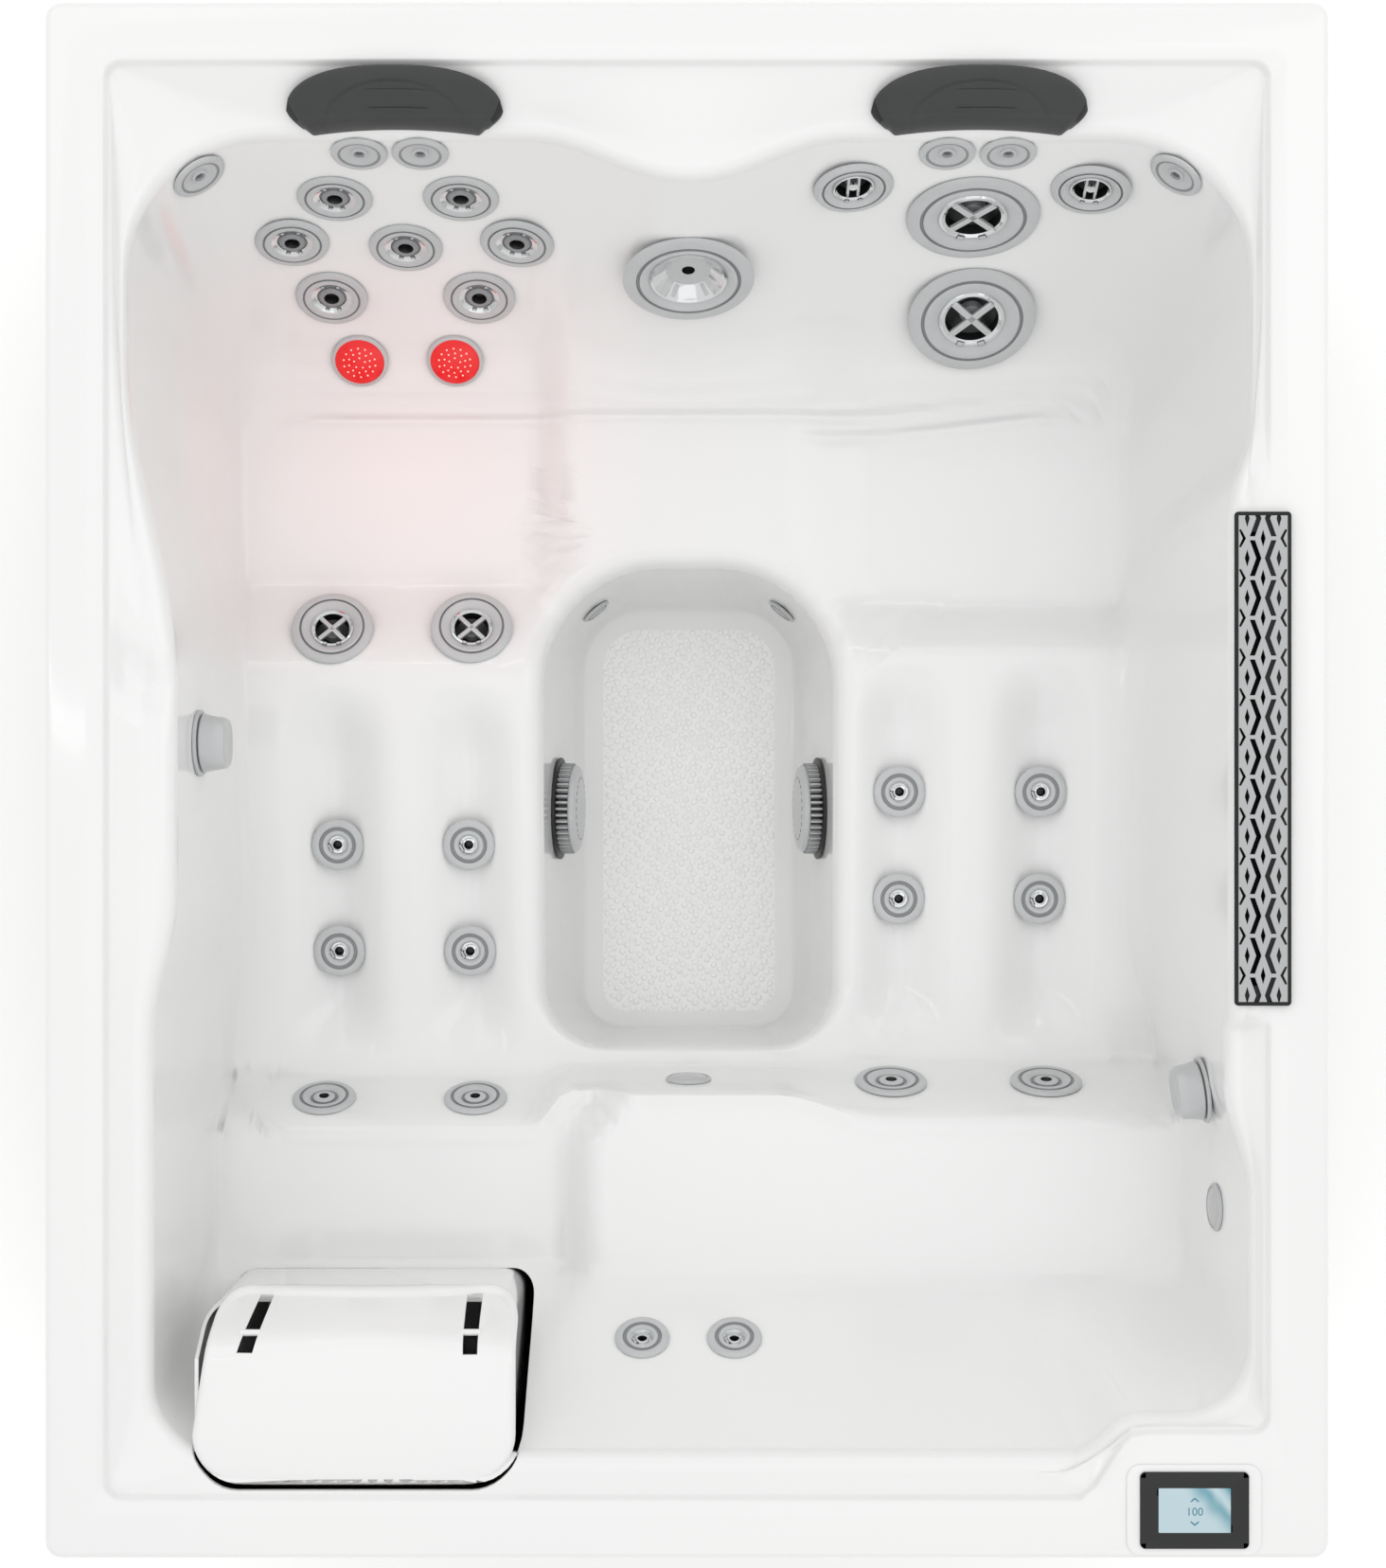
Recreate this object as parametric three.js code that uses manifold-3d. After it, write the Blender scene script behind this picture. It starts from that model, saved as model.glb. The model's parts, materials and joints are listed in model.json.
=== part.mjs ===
// A free-standing acrylic hot tub with two lounges, a middle seat and a front bench.
// Millimetres. +Z is up, +Y points at the pillows, +X at the waterfall. The origin lies on the floor, under
// the middle of the tub. "Back" is the pillow end and "front" the end with the control panel.

import Module from 'manifold-3d';
import * as THREE from 'three';
import * as BufferGeometryUtils from 'three/addons/utils/BufferGeometryUtils.js';

const wasm = await Module();
wasm.setup();

// Overall size and the lip
const tubWidth = 1680;
const tubLength = 2036;
const lipHeight = 900;
const lipBand = 75;
const lipRound = 12;
const skirtDrop = 45;
const outerCornerRadius = 22;
const stepDrop = 12;
const stepRun = 10;
const rimCornerRadius = 26;
const skinThickness = 8;
const halfWidth = tubWidth / 2;
const halfLength = tubLength / 2;
const rimX = halfWidth - lipBand;
const rimY = halfLength - lipBand;

// Clearances
const gap = 0.3;
const overrun = 5;
const holeClearance = 1.5;
const mergeDistance = 0.001;
const flatness = 0.04;

// Foot of the basin walls. The walls keep their width at any size of tub, and the seats between them stretch
const footLeft = halfWidth - 200;
const footLeftOut = 28;
const footRight = halfWidth - 222;
const footRightOut = 70;
const footBack = halfLength - 473;
const footFront = halfLength - 318;

// Heel line and toe line of each lane, measured from the front
const leftHeelY = 590 - halfLength;
const leftToeY = leftHeelY - 77;
const middleHeelY = 598 - halfLength;
const middleToeY = middleHeelY - 27;
const rightHeelY = 606 - halfLength;
const rightToeY = rightHeelY - 72;

// Y in a lounge, as a share of the way from the foot of its back to its heel line
const inLeftLounge = (share) => mix(footBack, leftHeelY, share);
const inMiddleSeat = (share) => mix(footBack, middleHeelY, share);
const inRightLounge = (share) => mix(footBack, rightHeelY, share);

// Basin edge: how wide the shelf is on each side, and how the sides swell into the basin
const leftShelf = 27;
const rightShelf = 22;
const backShelf = 92;
const frontShelf = 58;
const backCornerRadius = 180;
const frontCornerRadius = 90;
const shoulderRadius = 25;
const sideEdgeHeight = lipHeight - 28;
const backEdgeHeight = lipHeight - 52;
const leftArmSwell = 63;
const leftArmStart = inLeftLounge(-0.0154);
const leftArmFull = inLeftLounge(0.4265);
const leftArmBack = inLeftLounge(0.7143);
const leftArmEnd = inLeftLounge(0.8993);
const leftFootSwell = 33;
const rightArmSwell = 33;
const rightArmStart = inRightLounge(0.0679);
const rightArmFull = inRightLounge(0.2038);
const rightArmBack = rightHeelY + 12;
const rightArmEnd = rightHeelY - 128;
const rightFootPull = -2;
const backScallop = 56;
const scallopHalfWidth = 215;

// Raised front corner that carries the control panel, and raised platform that carries the waterfall
const panelCornerX = halfWidth - 250;
const panelCornerDepth = 86;
const panelCornerSlant = 78;
const edgeCornerDepth = 50;
const waterfallY = halfLength * 0.0275;
const platformHalfLength = 336;
const platformFade = 14;

// Shape of the basin walls
const footRadius = 110;
const sideWallPower = 3.2;
const backWallPower = 2;
const frontWallPower = 1.25;
const wallSpacing = 1.6;
const shelfShare = 0.55;

// Seats. The left lounge, the middle seat and the right lounge lie side by side at the back
const leftPanHeight = 380;
const leftKneeHeight = 468;
const leftHeelHeight = 405;
const leftPanFront = inLeftLounge(0.2395);
const leftKneeY = inLeftLounge(0.406);
const rightPanHeight = 388;
const rightKneeHeight = 452;
const rightHeelHeight = 415;
const rightPanFront = inRightLounge(0.2894);
const rightKneeY = inRightLounge(0.3762);
const middleSeatHeight = 418;
const middleSeatFront = inMiddleSeat(0.2539);
const middleRidgeHeight = 440;
const middleRidgeY = inMiddleSeat(0.4611);
const middleHeelHeight = 402;
const leftLaneEdge = -200;
const rightLaneEdge = 205;
const leftLaneFade = 30;
const rightLaneFade = 80;
const legChannelDepth = 42;
const legChannelHalfWidth = 84;
const legChannelFade = 110;

// Foot walls, from the heel line up to the toe line, and what lies in front of them
const ledgeHeight = 528;
const benchHeight = ledgeHeight + 52;
const benchEdgeX = -156;
const benchEdgeFade = 26;
const benchEdgeFlare = 50;
const benchEdgeTuck = 60;
const benchEdgeTuckStart = 328 - halfLength;
const benchEdgeTuckEnd = 198 - halfLength;
const heelLineInset = 64;
const heelLineBack = footBack - 75;
const toeLineInset = 30;
const toeLineBack = footBack - 25;
const lineRadius = 70;

// Footwell
const wellX = 1.5;
const wellHalfWidth = 214;
const wellBack = heelLineBack - 154;
const wellFront = -middleHeelY - 24;
const wellBackRadius = 170;
const wellFrontRadius = 92;
const wellShoulder = 34;
const wellFrontShoulder = 8;
const wellFloorHeight = 110;
const wellFloorHalfWidth = 162;
const wellFloorBack = wellBack - 50;
const wellFloorFront = wellFront - 4;
const wellFloorBackRadius = 85;
const wellFloorFrontRadius = 62;
const wellFloorBorder = 26;
const wellWallPower = 2.4;

// Lanes of the legs on both sides of the footwell, and where their middles lie
const leftLane = footLeft - wellHalfWidth;
const rightLane = footRight - wellHalfWidth;
const leftLegsX = -wellHalfWidth - 0.4859 * leftLane;
const leftLegSpacing = 0.4554 * leftLane;
const rightLegsX = wellHalfWidth + 0.505 * rightLane;
const rightLegSpacing = 0.5173 * rightLane;

// Fittings: radius of each kind of face
const smallJetRadius = 38;
const footJetRadius = 46;
const mediumJetRadius = 52;
const shoulderJetRadius = 55;
const thighJetRadius = 60;
const largeJetRadius = 93;
const barrelShare = 0.6;
const flangeThickness = 5;
const faceCrown = 4;
const faceDishShare = 0.55;
const barrelDepth = 62;
const largeBarrelDepth = 84;
const rearLinkRadius = 11;
const rearLinkInset = 14;

// Cabinet
const panelInset = 25;
const panelThickness = 15;
const panelTop = lipHeight - 32;
const postThickness = 18;
const postLeg = 62;
const postProud = 3;
const panHeight = 45;
const panRimWidth = 48;
const panFloor = 8;
const railHeight = 38;
const railWidth = 27;
const railInset = 43;
const bearerWidth = 60;
const bearerBackY = wellFloorBack - 116;
const bearerFrontY = 97 - wellFloorFront;

const hotTub = new THREE.Group();
const white = '#f4f4f2';
const fittingGrey = '#a9acad';
const steelGrey = '#c9cccd';
const foamGrey = '#3b3d3e';
const cabinetGrey = '#6d6a66';
const pipeWhite = '#e2e2dc';
const black = '#17181a';
const motorGrey = '#4a4f57';
const boxGrey = '#3a3d41';
const screenBlue = '#a9dbe8';
const filterWhite = '#dfe6ea';
const timber = '#b8945f';
const lampRed = '#e5322e';
const lampClear = '#d5d8d9';

function addPart(name, geometry, color, roughness, metalness = 0) {
  const material = new THREE.MeshStandardMaterial({ color, roughness, metalness });
  const mesh = new THREE.Mesh(geometry, material);
  mesh.name = name;
  hotTub.add(mesh);
  return mesh;
}

// Goes smoothly from 0 at "from" to 1 at "to"
function ramp(value, from, to) {
  const share = Math.min(1, Math.max(0, (value - from) / (to - from)));
  return share * share * (3 - 2 * share);
}

function mix(a, b, share) {
  return a + (b - a) * share;
}

// A round hump: 1 at its centre, 0 from half a width away
function hump(value, centre, halfSpan) {
  const away = Math.min(1, Math.abs(value - centre) / halfSpan);
  return (1 + Math.cos(Math.PI * away)) / 2;
}

// Merges a geometry's shared vertices, drops the triangles that collapse and turns its faces outwards
function cleaned(geometry) {
  const bare = geometry.clone();
  bare.deleteAttribute('normal');
  bare.deleteAttribute('uv');
  const merged = BufferGeometryUtils.mergeVertices(bare, mergeDistance);
  const index = [...merged.index.array];
  const kept = [];
  for (let i = 0; i < index.length; i += 3) {
    const [a, b, c] = index.slice(i, i + 3);
    if (a !== b && b !== c && c !== a) kept.push(a, b, c);
  }
  const at = merged.attributes.position;
  const corner = (i) => new THREE.Vector3().fromBufferAttribute(at, i);
  let volume = 0;
  for (let i = 0; i < kept.length; i += 3) {
    volume += corner(kept[i]).dot(corner(kept[i + 1]).cross(corner(kept[i + 2])));
  }
  if (volume < 0) kept.reverse();
  merged.setIndex(kept);
  return merged;
}

function toSolid(geometry) {
  const mesh = cleaned(geometry);
  return new wasm.Manifold(new wasm.Mesh({
    numProp: 3,
    vertProperties: new Float32Array(mesh.attributes.position.array),
    triVerts: new Uint32Array(mesh.index.array),
  }));
}

function toGeometry(solid) {
  const mesh = solid.simplify(flatness).getMesh();
  const geometry = new THREE.BufferGeometry();
  const points = new Float32Array(mesh.numVert * 3);
  for (let i = 0; i < mesh.numVert; i += 1) {
    for (let axis = 0; axis < 3; axis += 1) {
      points[3 * i + axis] = mesh.vertProperties[mesh.numProp * i + axis];
    }
  }
  geometry.setAttribute('position', new THREE.BufferAttribute(points, 3));
  geometry.setIndex([...mesh.triVerts]);
  return geometry;
}

function joined(geometries) {
  return geometries.map(toSolid).reduce((sum, solid) => sum.add(solid));
}

function block(x0, x1, y0, y1, z0, z1) {
  const shape = new THREE.BoxGeometry(x1 - x0, y1 - y0, z1 - z0);
  return shape.translate((x0 + x1) / 2, (y0 + y1) / 2, (z0 + z1) / 2);
}

// A turned piece: profile points are [radius, height], and the axis is +Z
function turned(profile, sides) {
  const points = profile.map(([radius, height]) => new THREE.Vector2(radius, height));
  return new THREE.LatheGeometry(points, sides).rotateX(Math.PI / 2);
}

function rod(radius, from, to, sides) {
  return turned([[0, from], [radius, from], [radius, to], [0, to]], sides);
}

// Turns a piece made along +Z to lie along a direction, and puts it at a place
function placed(geometry, place, direction) {
  const turn = new THREE.Quaternion().setFromUnitVectors(new THREE.Vector3(0, 0, 1), direction);
  const matrix = new THREE.Matrix4().compose(place, turn, new THREE.Vector3(1, 1, 1));
  return geometry.clone().applyMatrix4(matrix);
}

function rodBetween(a, b, radius, sides) {
  const direction = b.clone().sub(a);
  const length = direction.length();
  return placed(rod(radius, 0, length, sides), a, direction.normalize());
}

// A pipe of round section along a smooth route
function pipe(points, radius, steps, sides) {
  const route = new THREE.CatmullRomCurve3(points, false, 'catmullrom', pipeTension);
  const section = new THREE.Shape();
  for (let i = 0; i < sides; i += 1) {
    const turn = (2 * Math.PI * i) / sides;
    const x = radius * Math.cos(turn);
    const y = radius * Math.sin(turn);
    if (i === 0) section.moveTo(x, y);
    else section.lineTo(x, y);
  }
  section.closePath();
  return new THREE.ExtrudeGeometry(section, { steps, extrudePath: route, bevelEnabled: false });
}

function at(x, y, z) {
  return new THREE.Vector3(x, y, z);
}

// The acrylic shell. It is laid out as closed lines round the tub, one inside the other, from the skirt to
// the floor of the footwell. Each line is a rectangle with round corners whose sides may sway, and the same
// number of stations goes round every line.

const still = () => 0;

const outerLine = {
  left: -halfWidth, right: halfWidth, back: halfLength, front: -halfLength,
  backRadius: outerCornerRadius, frontRadius: outerCornerRadius,
};

const rimLine = {
  left: -rimX, right: rimX, back: rimY, front: -rimY,
  backRadius: rimCornerRadius, frontRadius: rimCornerRadius,
  frontSway: (x) => panelCornerDepth * ramp(x, panelCornerX - panelCornerSlant, panelCornerX),
};

function leftSwell(y) {
  const rise = leftArmSwell * ramp(y, leftArmStart, leftArmFull);
  return rise - (leftArmSwell - leftFootSwell) * ramp(y, leftArmBack, leftArmEnd);
}

function rightSwell(y) {
  const rise = rightArmSwell * ramp(y, rightArmStart, rightArmFull);
  return rise - (rightArmSwell + rightFootPull) * ramp(y, rightArmBack, rightArmEnd);
}

const edgeLine = {
  left: -rimX + leftShelf, right: rimX - rightShelf, back: rimY - backShelf, front: -rimY + frontShelf,
  backRadius: backCornerRadius, frontRadius: frontCornerRadius,
  leftSway: leftSwell,
  rightSway: rightSwell,
  backSway: (x) => backScallop * hump(x, wellX, scallopHalfWidth),
  frontSway: (x) => edgeCornerDepth * ramp(x, panelCornerX - panelCornerSlant, panelCornerX),
};

const footLine = {
  left: -footLeft, right: footRight, back: footBack, front: -footFront,
  backRadius: footRadius, frontRadius: footRadius,
  leftSway: (y) => -footLeftOut * ramp(y, leftArmBack, rightArmBack),
  rightSway: (y) => -footRightOut * ramp(y, leftArmBack, rightArmBack),
};

// Y of the heel line and of the toe line, which differ from lane to lane
function acrossLanes(x, left, middle, right) {
  const leftShare = ramp(x, leftLaneEdge + leftLaneFade, leftLaneEdge - leftLaneFade);
  const rightShare = ramp(x, rightLaneEdge - rightLaneFade, rightLaneEdge + rightLaneFade);
  return middle + (left - middle) * leftShare + (right - middle) * rightShare;
}

const heelY = (x) => acrossLanes(x, leftHeelY, middleHeelY, rightHeelY);
const toeY = (x) => acrossLanes(x, leftToeY, middleToeY, rightToeY);

const toeLine = {
  left: -footLeft + toeLineInset, right: footRight - toeLineInset, back: toeLineBack, front: 0,
  backRadius: lineRadius, frontRadius: lineRadius,
  leftSway: footLine.leftSway,
  rightSway: footLine.rightSway,
  frontSway: toeY,
};

const heelLine = {
  left: -footLeft + heelLineInset, right: footRight - heelLineInset, back: heelLineBack, front: 0,
  backRadius: lineRadius, frontRadius: lineRadius,
  leftSway: footLine.leftSway,
  rightSway: footLine.rightSway,
  frontSway: heelY,
};

const wellEdgeLine = {
  left: wellX - wellHalfWidth, right: wellX + wellHalfWidth, back: wellBack, front: -wellFront,
  backRadius: wellBackRadius, frontRadius: wellFrontRadius,
};

const wellShoulderLine = {
  left: wellEdgeLine.left - wellShoulder, right: wellEdgeLine.right + wellShoulder,
  back: wellBack + wellShoulder, front: -wellFront - wellFrontShoulder,
  backRadius: wellBackRadius + wellShoulder, frontRadius: wellFrontRadius + wellShoulder,
};

const wellFloorLine = {
  left: wellX - wellFloorHalfWidth, right: wellX + wellFloorHalfWidth,
  back: wellFloorBack, front: -wellFloorFront,
  backRadius: wellFloorBackRadius, frontRadius: wellFloorFrontRadius,
};

const wellInnerLine = {
  left: wellFloorLine.left + wellFloorBorder, right: wellFloorLine.right - wellFloorBorder,
  back: wellFloorBack - wellFloorBorder, front: -wellFloorFront + wellFloorBorder,
  backRadius: wellFloorBackRadius - wellFloorBorder, frontRadius: wellFloorFrontRadius - wellFloorBorder,
};

// The centre and the radius of a line's round corner, moved by how its sides sway there
function cornerOf(line, end, sideways) {
  const { leftSway = still, rightSway = still, backSway = still, frontSway = still } = line;
  const radius = end === 'back' ? line.backRadius : line.frontRadius;
  const plainX = sideways > 0 ? line.right - radius : line.left + radius;
  const y = end === 'back' ? line.back - backSway(plainX) - radius : line.front + frontSway(plainX) + radius;
  const x = sideways > 0 ? plainX - rightSway(y) : plainX + leftSway(y);
  return { x, y, radius };
}

// The point of a line at a station, and the direction that points out of the line there
function pointOn(line, { side, end, sideways, share, turn }) {
  const { leftSway = still, rightSway = still, backSway = still, frontSway = still } = line;
  if (side === 'corner') {
    const corner = cornerOf(line, end, sideways);
    const out = new THREE.Vector2(sideways * Math.cos(turn), (end === 'back' ? 1 : -1) * Math.sin(turn));
    return { x: corner.x + corner.radius * out.x, y: corner.y + corner.radius * out.y, out };
  }
  if (side === 'back' || side === 'front') {
    const x = mix(cornerOf(line, side, -1).x, cornerOf(line, side, 1).x, share);
    if (side === 'back') return { x, y: line.back - backSway(x), out: new THREE.Vector2(0, 1) };
    return { x, y: line.front + frontSway(x), out: new THREE.Vector2(0, -1) };
  }
  const toRight = side === 'right' ? 1 : -1;
  const y = mix(cornerOf(line, 'front', toRight).y, cornerOf(line, 'back', toRight).y, share);
  if (side === 'right') return { x: line.right - rightSway(y), y, out: new THREE.Vector2(1, 0) };
  return { x: line.left + leftSway(y), y, out: new THREE.Vector2(-1, 0) };
}

// Height of the seats, leg lanes, ledge and bench at a place
function seatHeight(x, y) {
  const left = lounge(y, leftPanHeight, leftKneeHeight, leftHeelHeight, leftPanFront, leftKneeY, leftHeelY);
  const right = lounge(
    y, rightPanHeight, rightKneeHeight, rightHeelHeight, rightPanFront, rightKneeY, rightHeelY,
  );
  const middle = lounge(
    y, middleSeatHeight, middleRidgeHeight, middleHeelHeight, middleSeatFront, middleRidgeY, middleHeelY,
  );
  let low = acrossLanes(x, left, middle, right);
  low -= legChannel(x, y, leftLegsX - leftLegSpacing / 2, leftKneeY, leftHeelY);
  low -= legChannel(x, y, leftLegsX + leftLegSpacing / 2, leftKneeY, leftHeelY);
  low -= legChannel(x, y, rightLegsX - rightLegSpacing / 2, rightKneeY, rightHeelY);
  low -= legChannel(x, y, rightLegsX + rightLegSpacing / 2, rightKneeY, rightHeelY);
  let edgeX = benchEdgeX + benchEdgeFlare * ramp(y, middleToeY - lineRadius, middleToeY);
  edgeX -= benchEdgeTuck * ramp(y, benchEdgeTuckStart, benchEdgeTuckEnd);
  const high = mix(ledgeHeight, benchHeight, ramp(x, edgeX - benchEdgeFade, edgeX + benchEdgeFade));
  return mix(low, high, ramp(y, heelY(x), toeY(x)));
}

// A lane along Y: the pan of the seat, the rise under the knees and the slope down to the heels
function lounge(y, pan, knee, heel, panFront, kneeY, heelLineY) {
  const rise = (knee - pan) * ramp(y, panFront, kneeY);
  const fall = (knee - heel) * ramp(y, kneeY, heelLineY);
  return pan + rise - fall;
}

function legChannel(x, y, centreX, kneeY, heelLineY) {
  const along = ramp(y, kneeY, kneeY - legChannelFade) * ramp(y, heelLineY, heelLineY + legChannelFade);
  return legChannelDepth * hump(x, centreX, legChannelHalfWidth) * along;
}

function edgeHeight(out) {
  return out.y > 0 ? mix(sideEdgeHeight, backEdgeHeight, out.y * out.y) : sideEdgeHeight;
}

function wallPower(out) {
  return mix(sideWallPower, out.y > 0 ? backWallPower : frontWallPower, out.y * out.y);
}

// How far the rim stays up where the platform for the waterfall runs from the lip to the basin
function stepAt(point) {
  if (point.out.x < 1) return stepDrop;
  const end = Math.abs(point.y - waterfallY);
  return stepDrop * ramp(end, platformHalfLength, platformHalfLength + platformFade);
}

function between(a, b, share) {
  return { x: mix(a.x, b.x, share), y: mix(a.y, b.y, share), out: a.out };
}

// The bands of the shell from the skirt inwards. Each gives the place on the surface at a station, for a
// share from its outer line to its inner one
const bands = [
  {
    name: 'skirt',
    place: (station, share) => {
      const p = pointOn(outerLine, station);
      return at(p.x, p.y, lipHeight - mix(skirtDrop, lipRound, share));
    },
  },
  {
    name: 'lipRound',
    place: (station, share) => {
      const p = pointOn(outerLine, station);
      const turn = (share * Math.PI) / 2;
      const inward = lipRound * (1 - Math.cos(turn));
      return at(p.x - p.out.x * inward, p.y - p.out.y * inward, lipHeight - lipRound * (1 - Math.sin(turn)));
    },
  },
  {
    name: 'lip',
    place: (station, share) => {
      const p = pointOn(outerLine, station);
      const start = { x: p.x - p.out.x * lipRound, y: p.y - p.out.y * lipRound };
      const end = pointOn(rimLine, station);
      return at(mix(start.x, end.x, share), mix(start.y, end.y, share), lipHeight);
    },
  },
  {
    name: 'step',
    place: (station, share) => {
      const p = pointOn(rimLine, station);
      const inward = stepRun * share;
      return at(p.x - p.out.x * inward, p.y - p.out.y * inward, lipHeight - stepAt(p) * ramp(share, 0, 1));
    },
  },
  {
    name: 'shelf',
    place: (station, share) => {
      const rim = pointOn(rimLine, station);
      const start = { x: rim.x - rim.out.x * stepRun, y: rim.y - rim.out.y * stepRun };
      const edge = pointOn(edgeLine, station);
      const end = { x: edge.x + edge.out.x * shoulderRadius, y: edge.y + edge.out.y * shoulderRadius };
      const crowded = Math.max(0, Math.abs(edge.out.x) - 0.5) * 2;
      const endX = mix(end.x, mix(start.x, edge.x, shelfShare), crowded);
      const startZ = lipHeight - stepAt(rim);
      const endZ = mix(edgeHeight(edge.out), lipHeight, 1 - stepAt(rim) / stepDrop);
      return at(mix(start.x, endX, share), mix(start.y, end.y, share), mix(startZ, endZ, share));
    },
  },
  {
    name: 'shoulder',
    place: (station, share) => {
      const start = placeIn('shelf', station, 1);
      const edge = pointOn(edgeLine, station);
      const turn = (share * Math.PI) / 2;
      return at(
        mix(start.x, edge.x, Math.sin(turn)),
        mix(start.y, edge.y, Math.sin(turn)),
        start.z - shoulderRadius * (1 - Math.cos(turn)),
      );
    },
  },
  {
    name: 'wall',
    place: (station, share) => {
      const start = placeIn('shoulder', station, 1);
      const foot = pointOn(footLine, station);
      const inward = share ** wallSpacing;
      const drop = 1 - (1 - inward) ** wallPower(foot.out);
      const x = mix(start.x, foot.x, inward);
      const y = mix(start.y, foot.y, inward);
      return at(x, y, mix(start.z, seatHeight(x, y), drop));
    },
  },
  { name: 'outerSeat', place: (station, share) => seatPlace(footLine, toeLine, station, share) },
  { name: 'footWall', place: (station, share) => seatPlace(toeLine, heelLine, station, share) },
  { name: 'innerSeat', place: (station, share) => seatPlace(heelLine, wellShoulderLine, station, share) },
  {
    name: 'wellShoulder',
    place: (station, share) => {
      const start = pointOn(wellShoulderLine, station);
      const edge = pointOn(wellEdgeLine, station);
      const turn = (share * Math.PI) / 2;
      const p = between(start, edge, Math.sin(turn));
      return at(p.x, p.y, seatHeight(start.x, start.y) - wellShoulder * (1 - Math.cos(turn)));
    },
  },
  {
    name: 'wellWall',
    place: (station, share) => {
      const start = placeIn('wellShoulder', station, 1);
      const foot = pointOn(wellFloorLine, station);
      const inward = share ** wallSpacing;
      const drop = 1 - (1 - inward) ** wellWallPower;
      const p = between(start, foot, inward);
      return at(p.x, p.y, mix(start.z, wellFloorHeight, drop));
    },
  },
  {
    name: 'wellFloor',
    place: (station, share) => {
      const p = between(pointOn(wellFloorLine, station), pointOn(wellInnerLine, station), share);
      return at(p.x, p.y, wellFloorHeight);
    },
  },
];

function placeIn(name, station, share) {
  return bands.find((band) => band.name === name).place(station, share);
}

function seatPlace(outer, inner, station, share) {
  const p = between(pointOn(outer, station), pointOn(inner, station), share);
  return at(p.x, p.y, seatHeight(p.x, p.y));
}

// Stations round the tub, seen from above: along the back to the right, down the right side, along the
// front to the left and up the left side. The shares of a side are closer where the panel corner and the
// platform are
const backShares = [0, 0.09, 0.19, 0.29, 0.38, 0.46, 0.54, 0.62, 0.71, 0.81, 0.91, 1];
const rightShares = [1, 0.9, 0.8, 0.692, 0.683, 0.6, 0.5, 0.4, 0.299, 0.291, 0.21, 0.14, 0.07, 0];
const frontShares = [1, 0.95, 0.898, 0.872, 0.846, 0.76, 0.665, 0.56, 0.46, 0.376, 0.33, 0.275, 0.14, 0];
const leftShares = [0, 0.08, 0.16, 0.24, 0.33, 0.42, 0.51, 0.6, 0.69, 0.78, 0.89, 1];
const cornerShares = [1 / 3, 2 / 3];

function cornerStations(end, sideways, towardsSide) {
  const turns = towardsSide ? cornerShares.map((share) => 1 - share) : cornerShares;
  return turns.map((share) => ({ side: 'corner', end, sideways, turn: (share * Math.PI) / 2 }));
}

const stations = [
  ...backShares.map((share) => ({ side: 'back', share })),
  ...cornerStations('back', 1, true),
  ...rightShares.map((share) => ({ side: 'right', share })),
  ...cornerStations('front', 1, false),
  ...frontShares.map((share) => ({ side: 'front', share })),
  ...cornerStations('front', -1, true),
  ...leftShares.map((share) => ({ side: 'left', share })),
  ...cornerStations('back', -1, false),
];

const bandSteps = {
  skirt: 1, lipRound: 1, lip: 1, step: 1, shelf: 1, shoulder: 1, wall: 4, outerSeat: 2, footWall: 1,
  innerSeat: 4, wellShoulder: 1, wellWall: 2, wellFloor: 1,
};

// Rows of points, one row for each closed line round the tub
function shellRows() {
  const rows = [];
  for (const band of bands) {
    const steps = bandSteps[band.name];
    const first = rows.length === 0 ? 0 : 1;
    for (let i = first; i <= steps; i += 1) {
      rows.push(stations.map((station) => band.place(station, i / steps)));
    }
  }
  return rows;
}

// Which way the surface faces at each point of the rows
function rowNormals(rows) {
  const count = stations.length;
  return rows.map((row, j) => row.map((point, i) => {
    const before = row[(i + count - 1) % count];
    const after = row[(i + 1) % count];
    const outer = rows[Math.max(0, j - 1)][i];
    const inner = rows[Math.min(rows.length - 1, j + 1)][i];
    const around = after.clone().sub(before);
    const inward = inner.clone().sub(outer);
    return inward.cross(around).normalize();
  }));
}

function skinGeometry(rows, normals) {
  const count = stations.length;
  const points = [];
  const push = (point) => points.push(point.x, point.y, point.z);
  rows.forEach((row) => row.forEach(push));
  const under = rows.length * count;
  rows.forEach((row, j) => row.forEach((point, i) => {
    push(point.clone().addScaledVector(normals[j][i], -skinThickness));
  }));
  const centre = 2 * under;
  push(at(wellX, (wellBack - wellFront) / 2, wellFloorHeight));
  push(at(wellX, (wellBack - wellFront) / 2, wellFloorHeight - skinThickness));
  const index = [];
  for (let j = 0; j < rows.length - 1; j += 1) {
    for (let i = 0; i < count; i += 1) {
      const a = j * count + i;
      const b = j * count + ((i + 1) % count);
      const c = a + count;
      const d = b + count;
      index.push(a, c, b, b, c, d);
      index.push(under + a, under + b, under + c, under + b, under + d, under + c);
    }
  }
  const last = (rows.length - 1) * count;
  for (let i = 0; i < count; i += 1) {
    const next = (i + 1) % count;
    index.push(i, next, under + i, next, under + next, under + i);
    index.push(last + i, centre, last + next);
    index.push(under + last + next, centre + 1, under + last + i);
  }
  const geometry = new THREE.BufferGeometry();
  geometry.setAttribute('position', new THREE.BufferAttribute(new Float32Array(points), 3));
  geometry.setIndex(index);
  return geometry;
}

const rows = shellRows();
const plainShell = skinGeometry(rows, rowNormals(rows));

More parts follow.
